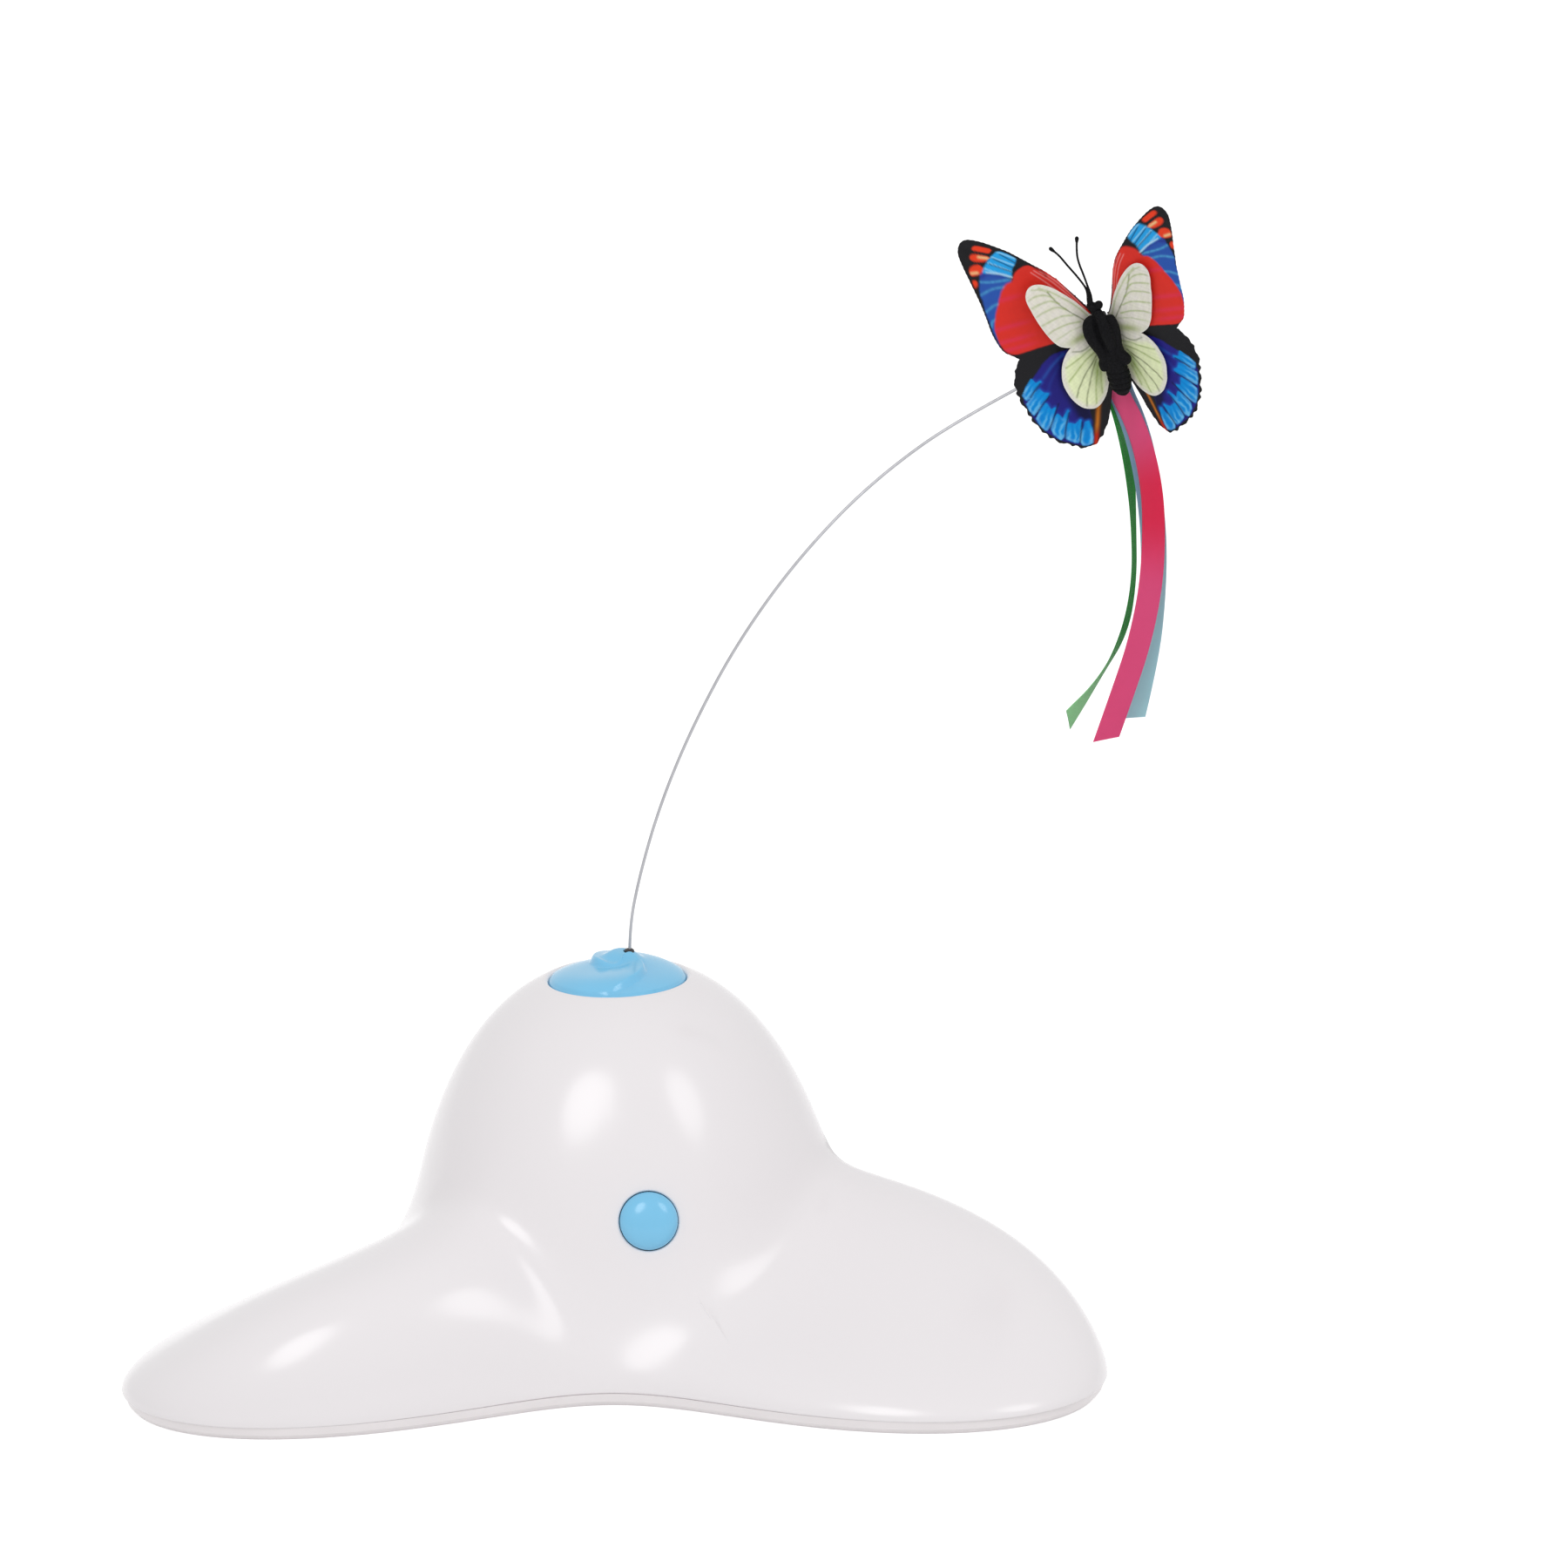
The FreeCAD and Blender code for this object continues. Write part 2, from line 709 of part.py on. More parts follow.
def screw_form(frame, head_radius, head_height, radius, length):
    """A pan head screw with a cross recess, its shank along the frame's z, head below."""
    form = turned(frame, [
        ("0", "0"), (head_radius + " * 0.8", "0"), (head_radius, head_height + " * 0.35"),
        (head_radius, head_height), (radius, head_height),
        (radius, "%s + %s - %s" % (head_height, length, radius)),
        ("0", "%s + %s" % (head_height, length))])
    form.Placement = frame * at(0, 0, -amount(head_height))
    slots = [block(form.Placement * at(0, 0, 0, about(Z_AXIS, angle)), head_radius + " * 1.3",
                   head_radius + " * 0.3", head_height + " * 0.5") for angle in (0, 90)]
    return cut(form, *slots)


def casing_screws():
    base = S.recess_depth + S.casing_head_height + S.screw_gap
    master = screw_form(at(0, 0, base), "casing_head_radius", "casing_head_height",
                        "casing_screw_radius", "casing_screw_length")
    node(copies(master, [at(p.x, p.y) for p in CASING_SPOTS]), "casing_screws")


def rubber_pads():
    for p, name in zip(PAD_SPOTS, ("right", "rear", "left")):
        pad = turned(at(p.x, p.y), [
            ("0", "0"), ("pad_radius - 0.4", "0"), ("pad_radius", "0.4"),
            ("pad_radius", "pad_thickness"), ("0", "pad_thickness")])
        node(pad, "rubber_pad_" + name)


def battery_cells():
    run = -90
    contact = S.bay_length / 2 - S.contact_thickness
    for column, name in ((-1, "left"), (0, "middle"), (1, "right")):
        facing = 1 if column == 0 else -1
        end = V(column * S.cell_pitch, S.bay_centre + facing * contact, CELL_AXIS)
        frame = FreeCAD.Placement(end, about(X_AXIS, run * facing)) * at(
            0, 0, -S.cell_length - S.cell_nub_height)
        cell = turned(frame, [
            ("0", "0"), ("cell_radius - 0.5", "0"), ("cell_radius", "0.5"),
            ("cell_radius", "cell_length - 0.5"), ("cell_radius - 0.5", "cell_length"),
            ("cell_nub_radius", "cell_length"),
            ("cell_nub_radius", "cell_length + cell_nub_height"),
            ("0", "cell_length + cell_nub_height")])
        node(cell, "battery_cell_" + name)


def battery_contacts():
    high = "cell_radius * 1.6"
    inner = S.bay_length / 2 - S.contact_thickness / 2
    low = CELL_AXIS - 0.8 * S.cell_radius
    half = S.cell_pitch / 2
    plates = []
    for side, single, pair in ((-1, -S.cell_pitch, half), (1, S.cell_pitch, -half)):
        y = S.bay_centre + side * inner
        plates.append(block(at(single, y, low), "cell_radius * 1.5", "contact_thickness", high))
        plates.append(block(at(pair, y, low), "cell_pitch + cell_radius * 1.5",
                            "contact_thickness", high))
    for plate in plates:
        plate.recompute()
    node(solid(Part.makeCompound([p.Shape for p in plates])), "contact_plates")
    room = S.bay_length - 2 * S.contact_thickness - S.cell_length - S.cell_nub_height
    springs = []
    for column, side in ((-1, 1), (0, -1), (1, 1)):
        y = S.bay_centre + side * (S.bay_length / 2 - S.contact_thickness)
        frame = FreeCAD.Placement(V(column * S.cell_pitch, y, CELL_AXIS),
                                  about(X_AXIS, 90 * side))
        outer = Part.makeCone(S.spring_radius, S.spring_radius * 0.6, room)
        bore = Part.makeCone(S.spring_radius - S.spring_wire,
                             S.spring_radius * 0.6 - S.spring_wire, room)
        springs.append(outer.cut(bore).transformGeometry(frame.toMatrix()))
    node(solid(Part.makeCompound(springs)), "contact_springs")


# Gear train

def involute(ratio):
    """Involute function of the pressure angle where cos is a ratio."""
    angle = math.acos(min(ratio, 1))
    return math.tan(angle) - angle


def gear_shape(teeth, phase, width):
    """A spur gear with involute flanks as arcs, one tooth centred at the phase angle."""
    pitch = S.gear_module * teeth / 2
    base = pitch * math.cos(math.radians(20))
    root, tip = pitch - 1.25 * S.gear_module, pitch + 0.9 * S.gear_module
    half = (math.pi * S.gear_module / 2 - S.tooth_slack) / (2 * pitch)
    foot = max(base, root)

    def flank(radius):
        return math.degrees(half + involute(base / pitch) - involute(base / radius))

    edges = []
    pitch_angle = 360.0 / teeth
    waist = (foot + tip) / 2
    for i in range(int(teeth)):
        centre = phase + i * pitch_angle
        left = [polar(r, centre - flank(max(r, foot))) for r in (root, foot, waist, tip)]
        right = [polar(r, centre + flank(max(r, foot))) for r in (root, foot, waist, tip)]
        following = polar(root, centre + pitch_angle - flank(foot))
        if foot - root > 1e-6:
            edges.append(Part.LineSegment(left[0], left[1]))
        edges.append(Part.Arc(left[1], left[2], left[3]))
        edges.append(Part.Arc(left[3], polar(tip, centre), right[3]))
        edges.append(Part.Arc(right[3], right[2], right[1]))
        if foot - root > 1e-6:
            edges.append(Part.LineSegment(right[1], right[0]))
        edges.append(Part.Arc(right[0], polar(root, centre + pitch_angle / 2), following))
    outline = Part.Wire([edge.toShape() for edge in edges])
    return Part.Face(outline).extrude(V(0, 0, width))


def level_of(stage):
    """Bottom of a gear level, counted from the gearbox floor."""
    return GEAR_FLOOR + S.gear_lift + stage * S.gear_step


def compound_gear(axis, stage, wheel_phase, pinion_phase, name):
    """A wheel with a pinion above it on one hub, bored for its pin."""
    wheel = solid(gear_shape(S.wheel_teeth, wheel_phase, S.gear_width),
                  at(axis.x, axis.y, level_of(stage)))
    pinion = solid(gear_shape(S.pinion_teeth, pinion_phase, S.gear_step),
                   at(axis.x, axis.y, level_of(stage + 1) - (S.gear_step - S.gear_width)))
    parts = [wheel, pinion]
    if stage > 0:
        parts.append(cylinder(at(axis.x, axis.y, level_of(0)), "hub_radius", "gear_step"))
    else:
        parts.append(cylinder(at(axis.x, axis.y, level_of(2) - (S.gear_step - S.gear_width)),
                              "hub_radius", "gear_step"))
    bore = cylinder(at(axis.x, axis.y, GEAR_FLOOR), "pin_radius + pin_clearance", "4 * gear_step")
    node(cut(fuse(*parts), bore), name)


def gear_train():
    half_pinion = 180.0 / S.pinion_teeth
    compound_gear(SECOND_AXIS, 1, S.first_angle, S.second_angle + 180 + half_pinion,
                  "second_gear")
    compound_gear(FIRST_AXIS, 0, S.motor_angle, S.first_angle + 180 + half_pinion, "first_gear")
    output = solid(gear_shape(S.wheel_teeth, S.second_angle, S.gear_width), at(0, 0, level_of(2)))
    node(cut(output, cylinder(at(0, 0, GEAR_FLOOR), "shaft_radius", "5 * gear_step")),
         "output_gear")
    for axis, name in ((FIRST_AXIS, "first_gear_pin"), (SECOND_AXIS, "second_gear_pin")):
        node(turned(at(axis.x, axis.y, S.gearbox_level + S.gearbox_plate / 2), [
            ("0", "0"), ("pin_radius", "0"),
            ("pin_radius", "gearbox_plate + gear_lift + 3 * gear_step"),
            ("0", "gearbox_plate + gear_lift + 3 * gear_step")]), name)
    motor_pinion = solid(
        gear_shape(S.motor_teeth, S.motor_angle + 180 + 180.0 / S.motor_teeth, S.gear_step),
        at(MOTOR_AXIS.x, MOTOR_AXIS.y, level_of(0)))
    node(cut(motor_pinion, cylinder(at(MOTOR_AXIS.x, MOTOR_AXIS.y, GEAR_FLOOR),
                                    "motor_shaft_radius", "3 * gear_step")), "motor_pinion")


# Gearbox

def gearbox_outline(grow, low, high):
    """Prism round the three wheels: the hull of their axes grown by arcs."""
    hull = Part.makePolygon([V(0, 0, low), FIRST_AXIS + V(0, 0, low), SECOND_AXIS + V(0, 0, low),
                             V(0, 0, low)])
    radius = WHEEL_PITCH + S.gear_module + S.gearbox_room + grow
    face = Part.Face(hull.makeOffset2D(radius))
    return face.extrude(V(0, 0, high - low))


GEARBOX_REACH = WHEEL_PITCH + S.gear_module + S.gearbox_room + S.gearbox_wall + 2.0
GEARBOX_SCREWS = [polar(GEARBOX_REACH, -60), SECOND_AXIS + polar(GEARBOX_REACH, 155)]


def gearbox():
    floor, top = S.gearbox_level, LID_LEVEL
    mx, my = MOTOR_AXIS.x, MOTOR_AXIS.y
    lower = [
        solid(gearbox_outline(S.gearbox_wall, floor, top)),
        cylinder(at(mx, my, floor), "4 * motor_shaft_radius + gearbox_wall",
                 "gearbox_plate + gear_lift + 3 * gear_step"),
        block(at(mx, my, floor), "2 * can_radius", "can_flats", "gearbox_plate"),
    ]
    for p in GEARBOX_SCREWS:
        lower.append(cylinder(at(p.x, p.y, floor), "gearbox_boss_radius",
                              "gearbox_plate + gear_lift + 3 * gear_step"))
    tools = [
        solid(gearbox_outline(0, GEAR_FLOOR, top + 1)),
        cylinder(at(mx, my, GEAR_FLOOR), "4 * motor_shaft_radius", "gear_lift + 4 * gear_step"),
        cylinder(at(mx, my, floor), "can_nose_radius", "can_nose_height"),
        cylinder(at(mx, my, floor), "can_nose_radius - 1", "gearbox_plate"),
        cylinder(at(0, 0, floor + S.gearbox_plate / 3), "shaft_radius + shaft_clearance",
                 "gearbox_plate"),
    ]
    for axis in (FIRST_AXIS, SECOND_AXIS):
        tools.append(cylinder(at(axis.x, axis.y, floor + S.gearbox_plate / 2), "pin_radius",
                              "gearbox_plate"))
    for p in GEARBOX_SCREWS:
        tools.append(cylinder(at(p.x, p.y, top + S.gearbox_plate - S.gearbox_screw_length),
                              "gearbox_screw_radius", "gearbox_screw_length"))
    for side in (-1, 1):
        tools.append(cylinder(at(mx + side * S.motor_screw_spread, my, floor),
                              "motor_screw_radius", "gearbox_plate"))
        tools.append(cylinder(at(mx + side * S.motor_screw_spread, my,
                                 floor + S.motor_head_level),
                              "motor_head_radius + pin_clearance", "gearbox_plate"))
    node(cut(fuse(*lower), *tools), "gearbox_lower")

    upper = [solid(gearbox_outline(S.gearbox_wall, top, LID_TOP)),
             cylinder(at(mx, my, top), "4 * motor_shaft_radius + gearbox_wall", "gearbox_plate"),
             cylinder(at(0, 0, top), "bush_collar + gearbox_wall", "gearbox_plate + bush_rise")]
    for angle in MOUNT_ANGLES:
        p = polar(S.mount_distance, angle)
        upper.append(block(FreeCAD.Placement(p / 2 + V(0, 0, top), about(Z_AXIS, angle)),
                           "mount_distance", "mount_arm", "gearbox_plate"))
        upper.append(cylinder(at(p.x, p.y, top), "mount_arm / 2", "gearbox_plate"))
    for p in GEARBOX_SCREWS:
        upper.append(cylinder(at(p.x, p.y, top), "gearbox_boss_radius", "gearbox_plate"))
    tools = [cylinder(at(0, 0, top), "bush_radius", "gearbox_plate + bush_rise")]
    for axis in (FIRST_AXIS, SECOND_AXIS):
        tools.append(cylinder(at(axis.x, axis.y, top), "pin_radius", "gearbox_plate / 2"))
    for p in GEARBOX_SCREWS:
        tools.append(cylinder(at(p.x, p.y, top), "gearbox_screw_radius", "gearbox_plate"))
    for angle in MOUNT_ANGLES:
        p = polar(S.mount_distance, angle)
        tools.append(cylinder(at(p.x, p.y, top), "mount_screw_radius", "gearbox_plate"))
    node(cut(fuse(*upper), *tools), "gearbox_upper")

    node(turned(at(0, 0, top), [
        ("shaft_radius + shaft_clearance", "0"), ("bush_radius", "0"),
        ("bush_radius", "gearbox_plate + bush_rise"),
        ("bush_collar", "gearbox_plate + bush_rise"),
        ("bush_collar", "gearbox_plate + bush_rise + 0.8"),
        ("shaft_radius + shaft_clearance", "gearbox_plate + bush_rise + 0.8")]), "shaft_bush")

    box_screw = screw_form(at(0, 0, 0), "gearbox_head_radius", "gearbox_head_height",
                           "gearbox_screw_radius", "gearbox_screw_length")
    node(copies(box_screw, [at(p.x, p.y, LID_TOP, UPSIDE_DOWN) for p in GEARBOX_SCREWS]),
         "gearbox_screws")
    mount_screw = screw_form(at(0, 0, 0), "mount_head_radius", "mount_head_height",
                             "mount_screw_radius", "mount_screw_length")
    frames = [FreeCAD.Placement(polar(S.mount_distance, a, top), FreeCAD.Rotation())
              for a in MOUNT_ANGLES]
    node(copies(mount_screw, frames), "gearbox_mount_screws")


# Motor

CAN_LOW = S.gearbox_level - S.can_length


def flat_sided(frame, radius, flats, height):
    """A round bar with two flats across y."""
    return common(cylinder(frame, radius, height),
                  block(frame, "2 * can_radius", flats, height))


def motor():
    mx, my = MOTOR_AXIS.x, MOTOR_AXIS.y
    can = flat_sided(at(mx, my, CAN_LOW), "can_radius", "can_flats", "can_length")
    nose = cylinder(at(mx, my, S.gearbox_level), "can_nose_radius", "can_nose_height")
    inside = flat_sided(at(mx, my, CAN_LOW), "can_radius - can_wall",
                        "can_flats - 2 * can_wall", "can_length - can_wall")
    tools = [inside, cylinder(at(mx, my, CAN_LOW), "motor_shaft_radius + shaft_clearance",
                              "can_length + 2 * can_nose_height")]
    for side in (-1, 1):
        tools.append(cylinder(at(mx + side * S.motor_screw_spread, my,
                                 S.gearbox_level - 2 * S.can_wall),
                              "motor_screw_radius", "3 * can_wall"))
    node(cut(fuse(can, nose), *tools), "motor_can")

    cap_low = CAN_LOW - S.end_cap_thickness
    cap = flat_sided(at(mx, my, cap_low), "can_radius", "can_flats", "end_cap_thickness")
    spigot = flat_sided(at(mx, my, CAN_LOW), "can_radius - can_wall",
                        "can_flats - 2 * can_wall", "spigot_height")
    socket = cylinder(at(mx, my, cap_low + 0.6), "motor_shaft_radius + shaft_clearance",
                      "end_cap_thickness + spigot_height")
    slots = [block(at(mx + side * S.terminal_spread, my, cap_low), "terminal_width",
                   "terminal_thickness", "end_cap_thickness") for side in (-1, 1)]
    node(cut(fuse(cap, spigot), socket, *slots), "motor_end_cap")

    tabs = []
    for side in (-1, 1):
        tab = block(at(mx + side * S.terminal_spread, my, cap_low - S.terminal_length),
                    "terminal_width", "terminal_thickness",
                    "end_cap_thickness + terminal_length")
        tabs.append(tab.Shape)
    node(solid(Part.makeCompound(tabs)), "motor_terminals")

    shaft_low = cap_low + 0.7
    shaft_height = level_of(1) - 0.2 - shaft_low
    shaft = cylinder(at(mx, my, shaft_low), "motor_shaft_radius",
                     "gear_lift + gear_step - 0.2 + gearbox_plate + can_length"
                     " + end_cap_thickness - 0.7")
    node(shaft, "motor_shaft")
    armature_low = shaft_low + shaft_height * 0.28
    core = cylinder(at(mx, my, armature_low), "armature_radius", "armature_length")
    grooves = [block(FreeCAD.Placement(V(mx, my, armature_low) + polar(S.armature_radius * 0.8, a),
                                       about(Z_AXIS, a)),
                     "armature_radius * 0.7", "1.2", "armature_length") for a in (0, 120, 240)]
    bore = cylinder(at(mx, my, armature_low), "motor_shaft_radius", "armature_length")
    node(cut(core, bore, *grooves), "motor_armature")

    ring = cylinder(at(mx, my, armature_low), "can_radius - can_wall", "armature_length")
    hollow = cylinder(at(mx, my, armature_low), "armature_radius + magnet_gap", "armature_length")
    sides = block(at(mx, my, armature_low), "3 * can_radius", "can_flats * 0.75",
                  "armature_length")
    mask = common(cut(ring, hollow), sides)
    gap = block(at(mx, my, armature_low), "armature_radius * 1.2", "3 * can_radius",
                "armature_length")
    node(cut(mask, gap), "motor_magnets")

    screw = screw_form(HERE, "motor_head_radius", "motor_head_height", "motor_screw_radius",
                       "motor_screw_length")
    node(copies(screw, [at(mx + side * S.motor_screw_spread, my,
                           S.gearbox_level + S.motor_head_level, UPSIDE_DOWN)
                        for side in (-1, 1)]), "motor_screws")


# Output shaft and turntable

def flatted_rod(z, height, clearance):
    """A round rod with one flat, as a tool or as the shaft itself."""
    radius = "shaft_radius + %s" % clearance
    rod = cylinder(at(0, 0, z), radius, height)
    flat = block(at(0, 2 * S.shaft_radius - S.shaft_flat, z), "4 * shaft_radius",
                 "2 * shaft_radius", height)
    return cut(rod, flat)


SHAFT_LOW = S.gearbox_level + S.gearbox_plate / 3 + 0.1
TABLE_GRID = 25


def table_level(x, y):
    """Height of the turntable's top: a crown, a two armed swirl and a round boss."""
    radius = math.hypot(x, y)
    share = min(radius / S.table_radius, 1)
    arm = S.swirl_angle + S.swirl_twist * (1 - share)
    wave = 2 * math.radians(math.degrees(math.atan2(y, x)) - arm)
    crest = ((1 + math.cos(wave + 0.5 * math.sin(wave))) / 2) ** 1.5
    swell = share * (2 - share) * (1 - share ** 4)
    boss = math.hypot(x - S.boss_x, y - S.boss_y) / S.boss_spread
    return (TABLE_EDGE_LEVEL + S.table_crown * (1 - share ** 2) + S.swirl_height * crest * swell
            + S.boss_height * math.exp(-boss ** 3))


SOCKET = V(S.socket_x, S.socket_y, table_level(S.socket_x, S.socket_y))


def turntable():
    half = S.table_radius * 1.25
    step = 2 * half / (TABLE_GRID - 1)
    places = [-half + step * i for i in range(TABLE_GRID)]
    poles = [[V(x, y, table_level(x, y)) for y in places] for x in places]
    surface = Part.BSplineSurface()
    spans = TABLE_GRID - 3
    surface.buildFromPolesMultsKnots(
        poles, [4] + [1] * (spans - 1) + [4], [4] + [1] * (spans - 1) + [4],
        list(range(spans + 1)), list(range(spans + 1)), False, False, 3, 3)
    low = TABLE_EDGE_LEVEL - S.table_edge
    under = solid(surface.toShape().extrude(V(0, 0, -3 * S.dome_radius)))
    disc = common(cylinder(at(0, 0, low), "table_radius", "3 * table_edge + 3 * table_crown"),
                  under)
    hub = cylinder(at(0, 0, low - S.hub_length), "hub_outer_radius",
                   "hub_length + table_edge / 2")
    bore = flatted_rod(low - S.hub_length, "hub_length + 1.5", "0")
    socket = cylinder(at(SOCKET.x, SOCKET.y, SOCKET.z - S.socket_depth),
                      "plug_radius + socket_clearance", "socket_depth + 5")
    node(cut(fuse(disc, hub), bore, socket), "turntable")
    hub_low = low - S.hub_length
    lower = solid(Part.makeCylinder(S.shaft_radius, hub_low - SHAFT_LOW, V(0, 0, SHAFT_LOW)))
    upper = flatted_rod(hub_low, "hub_length + 1.5", "0")
    node(fuse(lower, upper), "output_shaft")


# Push button, switch and circuit board

def push_button():
    frame = BUTTON * at(0, 0, -S.button_depth)
    cap = turned(frame, [
        ("0", "0"), ("button_radius + button_flange", "0"),
        ("button_radius + button_flange", "button_flange_height"),
        ("button_radius", "button_flange_height"),
        ("button_radius", "button_depth + button_proud"),
        ("0", "button_depth + button_proud")])
    cap.Placement = HERE
    doc.recompute()
    top = S.button_depth + S.button_proud
    rim = ["Edge%d" % (i + 1) for i, edge in enumerate(cap.Shape.Edges)
           if edge.BoundBox.ZMin > top - 0.01 and edge.Closed]
    round_edge = cap.newObject("PartDesign::Fillet", "Rounding")
    round_edge.Base = (cap.Tip if cap.Tip != round_edge else cap.Group[-2], rim)
    bind(round_edge, Radius="button_round")
    cap.Tip = round_edge
    cap.Placement = frame
    node(cap, "push_button")

    plunger = cylinder(frame * at(0, 0, 0, UPSIDE_DOWN), "plunger_radius", "plunger_length")
    node(plunger, "switch_plunger")

    back = -S.switch_front - S.switch_depth
    case = block(BUTTON * at(0, 0, back), "switch_side", "switch_side", "switch_depth")
    well = cylinder(BUTTON * at(0, 0, -S.button_depth - S.plunger_length - S.button_travel - 0.5),
                    "plunger_radius + plunger_clearance",
                    "plunger_length + button_travel + 0.5")
    node(cut(case, well), "switch_body")

    rear = back - S.board_thickness
    board = block(BUTTON * at(0, 0, rear), "board_length", "board_width", "board_thickness")
    holes = [cylinder(BUTTON * at(side * S.board_screw_spread, 0, rear), "board_screw_radius",
                      "board_thickness") for side in (-1, 1)]
    node(cut(board, *holes), "circuit_board")
    chip = block(BUTTON * at(0, -S.board_width / 4, rear, UPSIDE_DOWN), "chip_length",
                 "chip_width", "chip_height")
    node(chip, "controller_chip")
    screw = screw_form(at(0, 0, 0), "board_head_radius", "board_head_height",
                       "board_screw_radius", "board_screw_length")
    node(copies(screw, [BUTTON * at(side * S.board_screw_spread, 0, rear) for side in (-1, 1)]),
         "board_screws")


# Wires and ribbons

def tangent_path(points):
    """Straight runs joined by tangent arcs, and the radii of the arcs."""
    edges, radii = [], []
    here = points[0]
    for before, corner, after in zip(points, points[1:], points[2:]):
        back, ahead = before - corner, after - corner
        reach = 0.45 * min(back.Length, ahead.Length)
        half_turn = (math.pi - back.getAngle(ahead)) / 2
        back.normalize()
        ahead.normalize()
        radius = reach / math.tan(half_turn)
        inward = (back + ahead).normalize()
        start, end = corner + back * reach, corner + ahead * reach
        middle = corner + inward * (radius / math.cos(half_turn) - radius)
        edges.append(Part.LineSegment(here, start).toShape())
        edges.append(Part.Arc(start, middle, end).toShape())
        radii.append(radius)
        here = end
    edges.append(Part.LineSegment(here, points[-1]).toShape())
    return Part.Wire(edges), radii


def tube(points, radius, name):
    """A round wire along a route, its volume checked against section times length."""
    path, radii = tangent_path(points)
    first = points[1] - points[0]
    ring = Part.Wire([Part.makeCircle(radius, points[0], first)])
    form = path.makePipeShell([ring], True, False)
    share = form.Volume / (math.pi * radius ** 2 * path.Length)
    print("%s: length %.1f, volume share %.4f, tightest arc %.1f"
          % (name, path.Length, share, min(radii)))
    return node(solid(form), name)


def leads():
    rear = -S.switch_front - S.switch_depth - S.board_thickness

    def board(x, y, behind):
        return BUTTON.multVec(V(x, y, rear - behind))

    for side, name in ((-1, "red"), (1, "black")):
        end, corner = board(side * 7.5, -6, 0), board(side * 7.5, -6, 8)
        tube([V(corner.x, corner.y, BAY_ROOF + S.bay_roof), corner, end],
             S.lead_radius, "battery_lead_" + name)
    tab_low = CAN_LOW - S.end_cap_thickness - S.terminal_length
    for side, name in ((-1, "red"), (1, "black")):
        start = MOTOR_AXIS + V(side * S.terminal_spread, -S.terminal_thickness / 2, tab_low + 1.5)
        end, last = board(side * 3.5, 4, 0), board(side * 3.5, 4, 9.5)
        tube([start, start + V(0, -12, 0),
              V((start.x + 2 * last.x) / 3, -9, tab_low + 6.3), last, end],
             S.lead_radius, "motor_lead_" + name)


# Butterfly frame: x to its right wing, y to the head, z to the back of its wings' viewer
BUTTERFLY = FreeCAD.Placement(
    SOCKET + V(S.butterfly_x, S.butterfly_y, S.butterfly_z),
    FreeCAD.Rotation(S.butterfly_yaw, S.butterfly_pitch, S.butterfly_roll)
    * about(X_AXIS, 90))


def wand():
    frame = at(SOCKET.x, SOCKET.y, SOCKET.z - S.socket_depth)
    bore_low = "socket_depth + plug_proud - plug_bore_depth"
    plug = turned(frame, [
        ("0", "0"), ("plug_radius", "0"), ("plug_radius", "socket_depth + plug_proud - 0.3"),
        ("plug_radius - 0.3", "socket_depth + plug_proud"),
        ("wire_radius", "socket_depth + plug_proud"), ("wire_radius", bore_low),
        ("0", bore_low)])
    node(plug, "wand_plug")
    end = BUTTERFLY.multVec(V(0, S.saddle_place, -S.strip_depth - S.saddle_depth / 2))
    route = [SOCKET + V(*p) for p in (
        (0, 0, S.plug_proud - S.plug_bore_depth), (0, 0, 4.5), (3.0, 0, 17.7), (8.2, 0, 33.7),
        (15.8, -0.2, 50.7), (26.0, -0.3, 68.7), (39.6, -0.1, 86.6), (56.5, 1.2, 103.0),
        (77.9, 3.9, 116.9))]
    lead_in = (end - route[-1]).normalize()
    route += [end]
    tube(route, S.wire_radius, "wand_wire")
    sleeve = FreeCAD.Placement(end - lead_in * (S.sleeve_length - 1.5),
                               FreeCAD.Rotation(Z_AXIS, lead_in))
    node(turned(sleeve, [
        ("wire_radius + sleeve_clearance", "0"), ("sleeve_radius", "0"),
        ("sleeve_radius", "sleeve_length"), ("wire_radius + sleeve_clearance", "sleeve_length")]),
         "wire_sleeve")
    return sleeve


